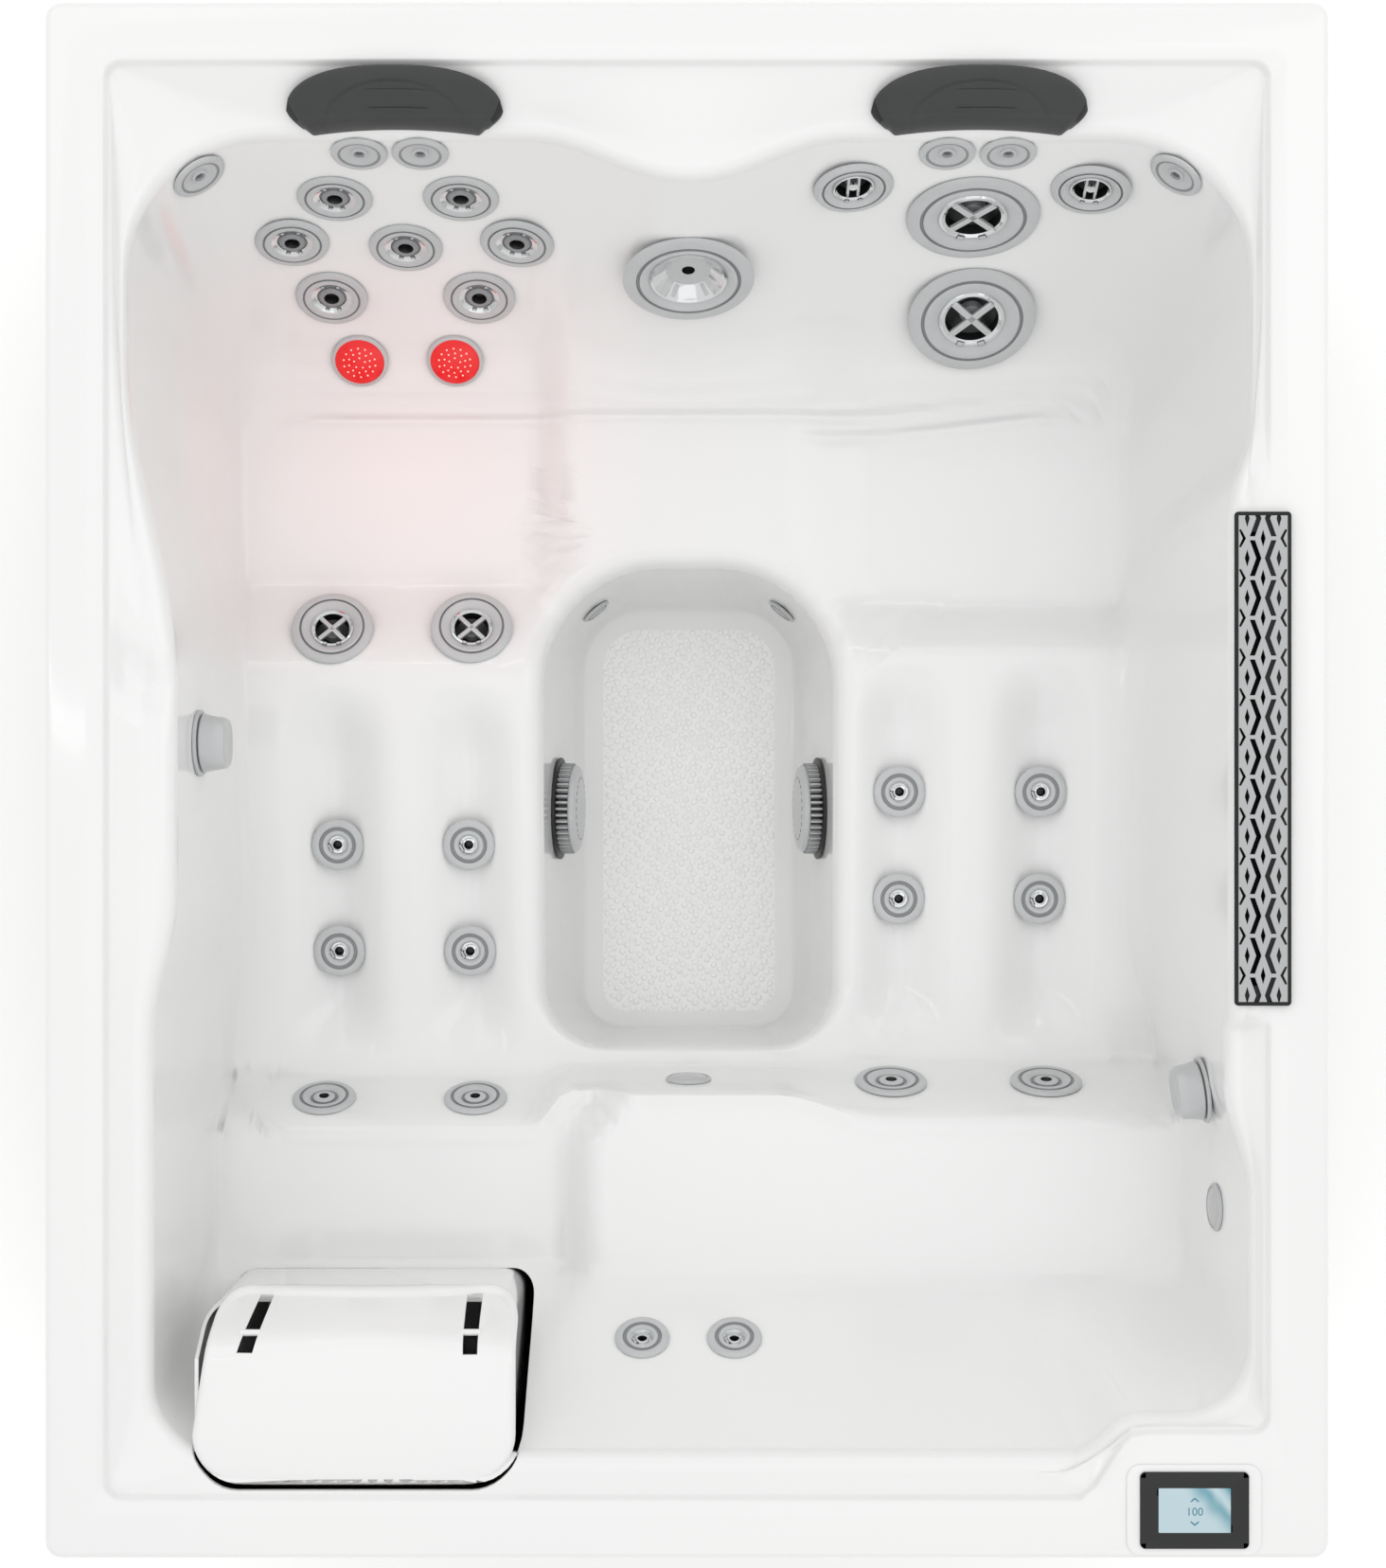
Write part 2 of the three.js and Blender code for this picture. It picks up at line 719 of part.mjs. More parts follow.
// Finding places on the shell
const shellTarget = new THREE.Mesh(plainShell, new THREE.MeshBasicMaterial({ side: THREE.DoubleSide }));
shellTarget.updateMatrixWorld();
const down = at(0, 0, -1);
const probeHeight = tubLength;

function hit(from, direction) {
  const found = new THREE.Raycaster(from, direction).intersectObject(shellTarget, false);
  return found.length > 0 ? found[0] : null;
}

function surfaceBelow(x, y) {
  return hit(at(x, y, probeHeight), down).point;
}

const probeTurns = 36;

const skinEdges = [];
for (let j = 0; j < rows.length - 1; j += 1) {
  for (let i = 0; i < stations.length; i += 1) {
    const a = rows[j][i];
    const b = rows[j][(i + 1) % stations.length];
    const c = rows[j + 1][i];
    skinEdges.push([a, b], [a, c], [b, c]);
  }
}

// How high an edge of the skin stands over the plane of a face, within the face's radius
function edgeLift([a, b], centre, facing, reach) {
  const from = a.clone().sub(centre);
  const along = b.clone().sub(a);
  const height = from.dot(facing);
  const climb = along.dot(facing);
  const flatFrom = from.addScaledVector(facing, -height);
  const flatAlong = along.addScaledVector(facing, -climb);
  const span = flatAlong.lengthSq();
  const half = flatFrom.dot(flatAlong);
  const root = Math.sqrt(half * half - span * (flatFrom.lengthSq() - reach * reach));
  const start = Math.max(0, (-half - root) / span);
  const end = Math.min(1, (root - half) / span);
  return start <= end ? height + Math.max(climb * start, climb * end) : 0;
}

// Seats a round face on the shell: where it rests, and which way it looks. "reach" is the face's radius
function seatFace(from, direction, reach) {
  const first = hit(from, direction);
  let facing = first.face.normal.clone();
  let centre = first.point.clone();
  for (let pass = 0; pass < 2; pass += 1) {
    const ring = probeRing(centre, facing, reach);
    const sum = at(0, 0, 0);
    ring.forEach((point, i) => {
      const next = ring[(i + 1) % ring.length];
      sum.add(point.clone().sub(centre).cross(next.clone().sub(centre)));
    });
    facing = sum.normalize();
  }
  // The face lies on the highest points of the skin within its radius. Edges of the wall across are left out
  const lifts = [
    ...probeRing(centre, facing, reach).map((spot) => spot.clone().sub(centre).dot(facing)),
    ...skinEdges.map((edge) => edgeLift(edge, centre, facing, reach)),
  ];
  const lift = lifts.reduce((most, height) => (height < reach ? Math.max(most, height) : most), 0);
  centre = centre.addScaledVector(facing, lift + gap);
  return { centre, facing };
}

function probeRing(centre, facing, reach) {
  const across = Math.abs(facing.x) > Math.abs(facing.y) ? at(0, 1, 0) : at(1, 0, 0);
  const u = across.clone().addScaledVector(facing, -across.dot(facing)).normalize();
  const v = facing.clone().cross(u);
  const back = facing.clone().negate();
  const ring = [];
  for (let i = 0; i < probeTurns; i += 1) {
    const turn = (2 * Math.PI * i) / probeTurns;
    const spot = centre.clone()
      .addScaledVector(u, reach * Math.cos(turn))
      .addScaledVector(v, reach * Math.sin(turn));
    const found = hit(spot.clone().addScaledVector(facing, reach), back);
    ring.push(found ? found.point : spot);
  }
  return ring;
}

function fromAbove(x, y) {
  return [at(x, y, probeHeight), down];
}

// Jets, lamps and covers all have a round face on the shell and a barrel through a hole in it

const shellHoles = [];
const roundSides = 8;
const largeRoundSides = 12;
const linkSides = 6;

function barrelHole(seat, radius, sides) {
  const holeRadius = (radius + holeClearance) / Math.cos(Math.PI / sides);
  const hole = placed(rod(holeRadius, -barrelDepth, radius, sides), seat.centre, seat.facing);
  shellHoles.push(toSolid(hole));
}

// A jet's profile: barrel, flange, crowned face and the cone that the nozzle sits in
function jetShape(radius, depth, sides) {
  const barrel = radius * barrelShare;
  return turned([
    [0, -depth],
    [barrel, -depth],
    [barrel, 0],
    [radius, 0],
    [radius, flangeThickness],
    [radius * faceDishShare, flangeThickness + faceCrown],
    [0, -flangeThickness],
  ], sides);
}

// A lamp's profile: barrel, flange and a low dome
function lampShape(radius, depth) {
  return turned([
    [0, -depth],
    [radius * barrelShare, -depth],
    [radius * barrelShare, 0],
    [radius, 0],
    [radius, flangeThickness],
    [0, flangeThickness + faceCrown],
  ], roundSides);
}

// A group of like fittings, joined behind the shell by the pipe or the cable duct that feeds them
function fittingGroup(name, places, radius, depth, shape, color) {
  const seats = places.map(([from, direction]) => seatFace(from, direction, radius));
  const bodies = seats.map((seat) => placed(shape, seat.centre, seat.facing));
  seats.forEach((seat) => barrelHole(seat, radius * barrelShare, roundSides));
  const rears = seats.map((seat) => seat.centre.clone().addScaledVector(seat.facing, rearLinkInset - depth));
  for (let i = 1; i < rears.length; i += 1) {
    bodies.push(rodBetween(rears[i - 1], rears[i], rearLinkRadius, linkSides));
  }
  addPart(name, toGeometry(joined(bodies)), color, 0.35);
}

function jetGroup(name, places, radius) {
  fittingGroup(name, places, radius, barrelDepth, jetShape(radius, barrelDepth, roundSides), fittingGrey);
}

function lampGroup(name, places, radius, depth, color) {
  fittingGroup(name, places, radius, depth, lampShape(radius, depth), color);
}

// A large jet whose face turns by itself
function turningJet(name, place, radius) {
  const seat = seatFace(place[0], place[1], radius);
  barrelHole(seat, radius * barrelShare, largeRoundSides);
  const body = placed(jetShape(radius, largeBarrelDepth, largeRoundSides), seat.centre, seat.facing);
  addPart(name, cleaned(body), fittingGrey, 0.3);
}

// Back of the left lounge, and the necks of both
const leftBackX = -wellHalfWidth - 0.4343 * leftLane;
const leftBackLowX = leftBackX - 10;
const rightBackX = wellHalfWidth + 0.4356 * rightLane;
const neckJetY = halfLength - 175;
const neckJetSpacing = 82;
const backRowOneY = halfLength - 214;
const backRowTwoY = halfLength - 255;
const backMiddleY = halfLength - 261;
const backRowThreeY = halfLength - 315;
const backNarrowSpacing = 0.4085 * leftLane;
const backWideSpacing = 0.7465 * leftLane;
const backLowSpacing = 0.5023 * leftLane;

function pair(centreX, y, spacing) {
  return [fromAbove(centreX - spacing / 2, y), fromAbove(centreX + spacing / 2, y)];
}

jetGroup('left_neck_jets', pair(leftBackX, neckJetY, neckJetSpacing), smallJetRadius);
jetGroup('right_neck_jets', pair(rightBackX, neckJetY, neckJetSpacing), smallJetRadius);

const [narrowLeft, narrowRight] = pair(leftBackX, backRowOneY, backNarrowSpacing);
const [wideLeft, wideRight] = pair(leftBackX, backRowTwoY, backWideSpacing);
const [lowLeft, lowRight] = pair(leftBackLowX, backRowThreeY, backLowSpacing);
jetGroup(
  'left_back_jets',
  [narrowRight, narrowLeft, wideLeft, lowLeft, fromAbove(leftBackX, backMiddleY), lowRight, wideRight],
  mediumJetRadius,
);

// Corner jets look diagonally into the seats
const cornerJetHeight = lipHeight - 94;
const cornerProbeX = halfWidth - 280;
const cornerProbeY = halfLength - 328;
const cornerTurn = (52 * Math.PI) / 180;
const cornerAside = Math.cos(cornerTurn);
const cornerBack = Math.sin(cornerTurn);
const diagonal = Math.SQRT1_2;
jetGroup(
  'left_corner_jet',
  [[at(-cornerProbeX, cornerProbeY, cornerJetHeight), at(-cornerAside, cornerBack, 0)]],
  smallJetRadius,
);
jetGroup(
  'right_corner_jet',
  [[at(cornerProbeX, cornerProbeY, cornerJetHeight), at(cornerAside, cornerBack, 0)]],
  smallJetRadius,
);

// Middle and right back
const middleJetY = halfLength - 300;
const shoulderJetY = halfLength - 204;
const shoulderSpacing = 2 * (largeJetRadius + shoulderJetRadius + 15);
const upperJetX = rightBackX + 8;
const upperJetY = halfLength - 233;
const lowerJetX = rightBackX + 24;
const lowerJetY = halfLength - 339;
turningJet('center_swirl_jet', fromAbove(wellX, middleJetY), largeJetRadius);
turningJet('upper_back_jet', fromAbove(upperJetX, upperJetY), largeJetRadius);
turningJet('lower_back_jet', fromAbove(lowerJetX, lowerJetY), largeJetRadius);
const [leftShoulder, rightShoulder] = pair(rightBackX, shoulderJetY, shoulderSpacing);
turningJet('left_shoulder_jet', leftShoulder, shoulderJetRadius);
turningJet('right_shoulder_jet', rightShoulder, shoulderJetRadius);

// Thighs, calves and feet
const thighJetY = inLeftLounge(0.332);
const thighSpacing = 0.4812 * leftLane;
const leftCalfY = inLeftLounge(0.6547);
const rightCalfY = inRightLounge(0.5852);
const calfRowSpacing = 159;
const leftFootJetY = leftHeelY - 38;
const leftFootSpacing = 0.5188 * leftLane;
const rightFootJetY = rightHeelY - 30;
const rightFootX = rightLegsX - 8;
const rightFootSpacing = 0.5594 * rightLane;
const seatJetY = 242 - halfLength;
const seatJetX = 841.5 - halfWidth;
const seatJetSpacing = 128;
const [leftThigh, rightThigh] = pair(leftLegsX, thighJetY, thighSpacing);
turningJet('left_thigh_jet', leftThigh, thighJetRadius);
turningJet('right_thigh_jet', rightThigh, thighJetRadius);

function calfPlaces(centreX, y, spacing) {
  const [upperLeft, upperRight] = pair(centreX, y, spacing);
  const [lowerLeft, lowerRight] = pair(centreX, y - calfRowSpacing, spacing);
  return [upperLeft, lowerLeft, lowerRight, upperRight];
}

jetGroup('left_calf_jets', calfPlaces(leftLegsX, leftCalfY, leftLegSpacing), smallJetRadius);
jetGroup('right_calf_jets', calfPlaces(rightLegsX, rightCalfY, rightLegSpacing), smallJetRadius);
jetGroup('left_foot_jets', pair(leftLegsX, leftFootJetY, leftFootSpacing), footJetRadius);
jetGroup('right_foot_jets', pair(rightFootX, rightFootJetY, rightFootSpacing), mediumJetRadius);
jetGroup('seat_jets', pair(seatJetX, seatJetY, seatJetSpacing), smallJetRadius);

// Red light lamps at the foot of the left backrest
const lampRadius = 42;
const lampX = leftBackX - 16;
const lampY = halfLength - 393;
const lampSpacing = 0.331 * leftLane;
lampGroup('red_lamps', pair(lampX, lampY, lampSpacing), lampRadius, barrelDepth, lampRed);

// Round light in the near wall of the footwell and on the right side of the bench
const suctionY = (wellBack - wellFront) / 2 - 2.5;
const footwellLightZ = ledgeHeight - 28;
const lightRadius = 33;
const lightDepth = 38;
const sideLightY = 430 - halfLength;
const sideLightZ = (benchHeight + sideEdgeHeight) / 2 - 26;
const footwellLightPlace = [at(wellX, suctionY, footwellLightZ), at(0, -1, 0)];
const sideLightPlace = [at(0, sideLightY, sideLightZ), at(1, 0, 0)];
lampGroup('footwell_light', [footwellLightPlace], lightRadius, lightDepth, lampClear);
lampGroup('side_light', [sideLightPlace], lightRadius, lightDepth, lampClear);

// Suction covers on the side walls of the footwell, with the stubs that the pipes meet
const suctionRadius = 78;
const suctionHeight = 36;
const suctionZ = wellFloorHeight + 152;
const suctionStubRadius = 26;
const suctionStubDepth = 52;
const suctionDomeShare = 0.84;
const suctionTopShare = 0.55;

function suctionCover(name, side) {
  const seat = seatFace(at(wellX, suctionY, suctionZ), at(side, 0, 0), suctionRadius);
  barrelHole(seat, suctionStubRadius, roundSides);
  const shape = turned([
    [0, -suctionStubDepth],
    [suctionStubRadius, -suctionStubDepth],
    [suctionStubRadius, 0],
    [suctionRadius, 0],
    [suctionRadius, flangeThickness],
    [suctionRadius * suctionDomeShare, suctionHeight * suctionDomeShare],
    [suctionRadius * suctionTopShare, suctionHeight],
    [0, suctionHeight],
  ], largeRoundSides);
  addPart(name, cleaned(placed(shape, seat.centre, seat.facing)), fittingGrey, 0.4);
  return seat;
}

const leftSuction = suctionCover('left_suction_cover', -1);
const rightSuction = suctionCover('right_suction_cover', 1);

// Small return fittings in the back corners of the footwell
const returnRadius = 24;
const returnZ = wellFloorHeight + 105;
const returnFromY = wellBack - 196;
const returnPlace = at(wellX, returnFromY, returnZ);
jetGroup('left_floor_return', [[returnPlace, at(-diagonal, diagonal, 0)]], returnRadius);
jetGroup('right_floor_return', [[returnPlace, at(diagonal, diagonal, 0)]], returnRadius);

// Diverter valves on the side walls: a fixed flange and body, and a knob whose stem turns in the body
const valveFlangeRadius = 46;
const valveBarrelRadius = 25;
const valveBarrelDepth = 52;
const valveBoreRadius = 12;
const valveBoreDepth = 34;
const knobRadius = 41;
const knobHeight = 36;
const knobStemClearance = 0.8;
const knobSeatGap = 1;
const leftKnobY = inLeftLounge(0.5077);
const leftKnobZ = sideEdgeHeight - 157;
const rightKnobY = rightHeelY - 12;
const rightKnobZ = sideEdgeHeight - 157;

function valve(name, side, y, z) {
  const seat = seatFace(at(0, y, z), at(side, 0, 0), valveFlangeRadius);
  barrelHole(seat, valveBarrelRadius, largeRoundSides);
  const body = turned([
    [0, -valveBarrelDepth],
    [valveBarrelRadius, -valveBarrelDepth],
    [valveBarrelRadius, 0],
    [valveFlangeRadius, 0],
    [valveFlangeRadius, flangeThickness],
    [valveBoreRadius, flangeThickness],
    [valveBoreRadius, -valveBoreDepth],
    [0, -valveBoreDepth],
  ], largeRoundSides);
  addPart(`${name}_valve_body`, cleaned(placed(body, seat.centre, seat.facing)), fittingGrey, 0.4);
  const stem = valveBoreRadius * Math.cos(Math.PI / largeRoundSides) - knobStemClearance;
  const low = flangeThickness + knobSeatGap;
  const knob = turned([
    [0, knobSeatGap - valveBoreDepth],
    [stem, knobSeatGap - valveBoreDepth],
    [stem, low],
    [knobRadius, low],
    [knobRadius, low + knobHeight - faceCrown],
    [knobRadius - faceCrown, low + knobHeight],
    [0, low + knobHeight],
  ], largeRoundSides);
  addPart(`${name}_valve_knob`, cleaned(placed(knob, seat.centre, seat.facing)), fittingGrey, 0.35);
}

valve('left', -1, leftKnobY, leftKnobZ);
valve('right', 1, rightKnobY, rightKnobZ);

// Pillows: foam pads that lie on the back shelf and hang over the basin edge, each on two pegs
const leftPillowX = leftBackX + 13;
const rightPillowX = rightBackX - 4;
const pillowHalfWidth = 143;
const pillowEndY = halfLength - 140;
const pillowTopY = halfLength - 84;
const pillowFrontY = halfLength - 172;
const pillowFrontDip = 14;
const pillowThickness = 34;
const pillowEdge = 7;
const pillowArchPower = 2.6;
const pillowCrownPower = 4;
const pillowSeatGap = 0.6;
const pegSpacing = 150;
const pegRadius = 7;
const pegY = halfLength - 128;
const pegLength = 30;
const pillowColumns = 14;
const pillowRowsAcross = 6;

function pillow(name, centreX) {
  const columns = pillowColumns;
  const depths = pillowRowsAcross;
  const low = [];
  const high = [];
  for (let i = 0; i <= columns; i += 1) {
    const u = mix(-1, 1, i / columns);
    const arch = 1 - Math.abs(u) ** pillowArchPower;
    const backY = mix(pillowEndY, pillowTopY, Math.sqrt(Math.max(0, arch)));
    const frontY = pillowFrontY + pillowFrontDip * (1 - u * u);
    for (let j = 0; j <= depths; j += 1) {
      const v = mix(-1, 1, j / depths);
      const x = centreX + pillowHalfWidth * u;
      const y = mix(frontY, backY, j / depths);
      const crown = (1 - Math.abs(u) ** pillowCrownPower) * (1 - Math.abs(v) ** pillowCrownPower);
      const z = surfaceBelow(x, y).z;
      low.push(at(x, y, z));
      high.push(at(x, y, z + pillowEdge + (pillowThickness - pillowEdge) * Math.sqrt(crown)));
    }
  }
  const raisedShell = toSolid(plainShell).translate(0, 0, pillowSeatGap);
  let body = toSolid(sheetSolid(low, high, columns, depths)).subtract(raisedShell);
  for (const side of [-1, 1]) {
    const x = centreX + (side * pegSpacing) / 2;
    const z = surfaceBelow(x, pegY).z;
    const peg = rod(pegRadius, z - pegLength, z + pillowThickness / 2, roundSides).translate(x, pegY, 0);
    body = body.add(toSolid(peg));
    const holeRadius = (pegRadius + holeClearance) / Math.cos(Math.PI / roundSides);
    const hole = rod(holeRadius, z - pegLength - overrun, z + pillowThickness, roundSides);
    shellHoles.push(toSolid(hole.translate(x, pegY, 0)));
  }
  addPart(name, toGeometry(body), foamGrey, 0.9);
}

// A closed solid between a low and a high sheet of points, both in columns of depths + 1 points
function sheetSolid(low, high, columns, depths) {
  const points = [...low, ...high].flatMap((point) => [point.x, point.y, point.z]);
  const upper = low.length;
  const id = (i, j) => i * (depths + 1) + j;
  const index = [];
  const quad = (a, b, c, d) => index.push(a, b, c, a, c, d);
  for (let i = 0; i < columns; i += 1) {
    for (let j = 0; j < depths; j += 1) {
      quad(upper + id(i, j), upper + id(i + 1, j), upper + id(i + 1, j + 1), upper + id(i, j + 1));
      quad(id(i, j), id(i, j + 1), id(i + 1, j + 1), id(i + 1, j));
    }
    quad(id(i, 0), id(i + 1, 0), upper + id(i + 1, 0), upper + id(i, 0));
    quad(id(i + 1, depths), id(i, depths), upper + id(i, depths), upper + id(i + 1, depths));
  }
  for (let j = 0; j < depths; j += 1) {
    quad(id(0, j + 1), id(0, j), upper + id(0, j), upper + id(0, j + 1));
    quad(id(columns, j), id(columns, j + 1), upper + id(columns, j + 1), upper + id(columns, j));
  }
  const geometry = new THREE.BufferGeometry();
  geometry.setAttribute('position', new THREE.BufferAttribute(new Float32Array(points), 3));
  geometry.setIndex(index);
  return geometry;
}

pillow('left_pillow', leftPillowX);
pillow('right_pillow', rightPillowX);

// Waterfall: a pierced cover over a trough that hangs through a slot in the platform
const grilleX = halfWidth - 89;
const grilleWidth = 74;
const grilleLength = 644;
const grilleThickness = 4;
const grilleFrame = 5;
const troughHalfWidth = 20;
const troughHalfLength = 300;
const troughDepth = 46;
const troughWall = 3;
const troughX = halfWidth - 102;
const eyePitch = 53;
const eyeLength = 34;
const eyeWidth = 12;
const eyeColumnSpacing = 21;

function grille() {
  const z0 = lipHeight + troughWall + 2 * gap;
  const plate = block(
    grilleX - grilleWidth / 2, grilleX + grilleWidth / 2,
    waterfallY - grilleLength / 2, waterfallY + grilleLength / 2,
    z0, z0 + grilleThickness,
  );
  let solid = toSolid(plate);
  const count = Math.floor((grilleLength - 2 * grilleFrame) / eyePitch);
  for (let column = -1; column <= 1; column += 1) {
    const shifted = column === 0 ? 0 : 1;
    for (let i = 0; i < count - shifted; i += 1) {
      const y = waterfallY + (i - (count - 1 - shifted) / 2) * eyePitch;
      const outline = new THREE.Shape();
      outline.moveTo(-eyeWidth / 2, 0);
      outline.lineTo(0, -eyeLength / 2);
      outline.lineTo(eyeWidth / 2, 0);
      outline.lineTo(0, eyeLength / 2);
      outline.closePath();
      const depth = grilleThickness + 2 * overrun;
      const eye = new THREE.ExtrudeGeometry(outline, { depth, bevelEnabled: false });
      solid = solid.subtract(toSolid(eye.translate(grilleX + column * eyeColumnSpacing, y, z0 - overrun)));
    }
  }
  addPart('waterfall_grille', toGeometry(solid), fittingGrey, 0.45);
}

function waterfallTrough() {
  const x0 = troughX - troughHalfWidth;
  const x1 = troughX + troughHalfWidth;
  const y0 = waterfallY - troughHalfLength;
  const y1 = waterfallY + troughHalfLength;
  const top = lipHeight + gap + troughWall;
  const outer = block(x0, x1, y0, y1, top - troughDepth, top);
  const flange = block(
    grilleX - grilleWidth / 2 + grilleFrame, grilleX + grilleWidth / 2 - grilleFrame,
    y0 - grilleFrame, y1 + grilleFrame, lipHeight + gap, top,
  );
  const inner = block(
    x0 + troughWall, x1 - troughWall, y0 + troughWall, y1 - troughWall,
    top - troughDepth + troughWall, top + overrun,
  );
  addPart('waterfall_trough', toGeometry(joined([outer, flange]).subtract(toSolid(inner))), black, 0.6);
  shellHoles.push(toSolid(block(
    x0 - holeClearance, x1 + holeClearance, y0 - holeClearance, y1 + holeClearance,
    lipHeight - troughDepth, lipHeight + overrun,
  )));
}

grille();
waterfallTrough();

// Control panel: a white surround on the raised corner, a black panel with its box below, and the screen
const surroundWidth = 176;
const surroundDepth = 118;
const surroundThickness = 3;
const surroundX = halfWidth - 178;
const surroundY = 66 - halfLength;
const panelWidth = 142;
const panelDepth = 100;
const panelProud = 3;
const panelBoxWidth = 96;
const panelBoxDepth = 32;
const panelBoxHeight = 40;
const panelBoxY = surroundY + 24;
const screenWidth = 94;
const screenDepth = 58;
const screenThickness = 1.2;
const screenRecess = 0.8;

function controlPanel() {
  const spot = (y, width, depth, z0, z1) => block(
    surroundX - width / 2, surroundX + width / 2, y - depth / 2, y + depth / 2, z0, z1,
  );
  const boxLow = lipHeight - panelBoxHeight;
  const top = lipHeight + gap + surroundThickness;
  const panelLow = top + gap;
  const panelHigh = panelLow + panelProud;
  const screenLow = panelHigh - screenRecess;
  const boxHole = toSolid(spot(
    panelBoxY, panelBoxWidth + 2 * holeClearance, panelBoxDepth + 2 * holeClearance, boxLow, panelHigh,
  ));
  const surround = toSolid(spot(surroundY, surroundWidth, surroundDepth, lipHeight + gap, top));
  addPart('panel_surround', toGeometry(surround.subtract(boxHole)), white, 0.2);
  const face = spot(surroundY, panelWidth, panelDepth, panelLow, panelHigh);
  const box = spot(panelBoxY, panelBoxWidth, panelBoxDepth, boxLow, panelHigh - panelProud / 2);
  const recess = spot(
    surroundY, screenWidth + 2 * gap, screenDepth + 2 * gap, screenLow - gap, panelHigh + overrun,
  );
  addPart('control_panel', toGeometry(joined([face, box]).subtract(toSolid(recess))), black, 0.35);
  const screen = spot(surroundY, screenWidth, screenDepth, screenLow, screenLow + screenThickness);
  addPart('panel_screen', cleaned(screen), screenBlue, 0.15);
  shellHoles.push(boxHole);
}

controlPanel();

// Filter corner: a bucket set in the shell, its cartridge, the floating weir and the lid. The bucket's top
// and the lid both slope down at the front, from the crease to the mouth that the weir closes
const filterX0 = 190 - halfWidth;
const filterX1 = filterX0 + 416;
const filterY0 = 96 - halfLength;
const filterY1 = filterY0 + 220;
const filterTop = lipHeight - 40;
const filterBottom = 252;
const filterWall = 5;
const filterCreaseY = filterY1 - 62;
const filterLipZ = filterTop - 108;
const weirOpeningHalfWidth = 110;
const weirOpeningZ = filterLipZ - 54;
const weirHingeZ = weirOpeningZ + 8;
const weirPinRadius = 4;
const weirPinClearance = 0.8;
const weirThickness = 4;
const weirHeight = 44;
const lugThickness = 8;
const lugReach = 15;
const drainHoleRadius = 30;
const cartridgeRadius = 80;
const cartridgeCapRadius = 84;
const cartridgeHeight = 330;
const cartridgeCapHeight = 18;
const cartridgePleats = 20;
const cartridgePleatDepth = 9;
const cartridgeY = filterY0 + 92;
const lidX0 = filterX0 - 2;
const lidX1 = filterX1 + 8;
const lidBackY = filterY0 - 6;
const lidCreaseY = filterY1 - 46;
const lidFrontY = filterY1 + 18;
const lidFrontZ = filterLipZ + 6;
const lidThickness = 7;
const lidTop = lipHeight - 20;
const lidRound = 12;
const lidCheekDepth = 16;
const lidGap = 5;
const lidTaper = 20;
const lidFrontRadius = 36;
const lidBackRadius = 62;
const lidCurveSteps = 4;
const lidSlotWidth = 18;
const lidSlotInset = 68;
const filterX = (filterX0 + filterX1) / 2;
const weirHingeY = filterY1 - filterWall - lugReach / 2;

// A profile in Y and Z made into a solid along X
function alongX(points, x0, x1) {
  const shape = new THREE.Shape(points.map(([y, z]) => new THREE.Vector2(y, z)));
  const solid = new THREE.ExtrudeGeometry(shape, { depth: x1 - x0, bevelEnabled: false });
  return solid.applyMatrix4(new THREE.Matrix4().set(
    0, 0, 1, x0,
    1, 0, 0, 0,
    0, 1, 0, 0,
    0, 0, 0, 1,
  ));
}

// The lid's outline from above, wider at the back, as a block that cuts it or its hole
function lidBlock(margin, z0, z1) {
  const left = lidX0 - margin;
  const right = lidX1 + margin;
  const back = lidBackY - margin;
  const front = lidFrontY + margin;
  const shape = new THREE.Shape();
  shape.moveTo(left, back + lidBackRadius);
  shape.quadraticCurveTo(left, back, left + lidBackRadius, back);
  shape.lineTo(right - lidBackRadius, back);
  shape.quadraticCurveTo(right, back, right, back + lidBackRadius);
  shape.lineTo(right, front - lidFrontRadius);
  shape.quadraticCurveTo(right, front, right - lidFrontRadius, front);
  shape.lineTo(left + lidTaper + lidFrontRadius, front);
  shape.quadraticCurveTo(left + lidTaper, front, left + lidTaper, front - lidFrontRadius);
  shape.closePath();
  const outline = new THREE.ExtrudeGeometry(
    shape,
    { depth: z1 - z0, bevelEnabled: false, curveSegments: lidCurveSteps },
  );
  return toSolid(outline.translate(0, 0, z0));
}

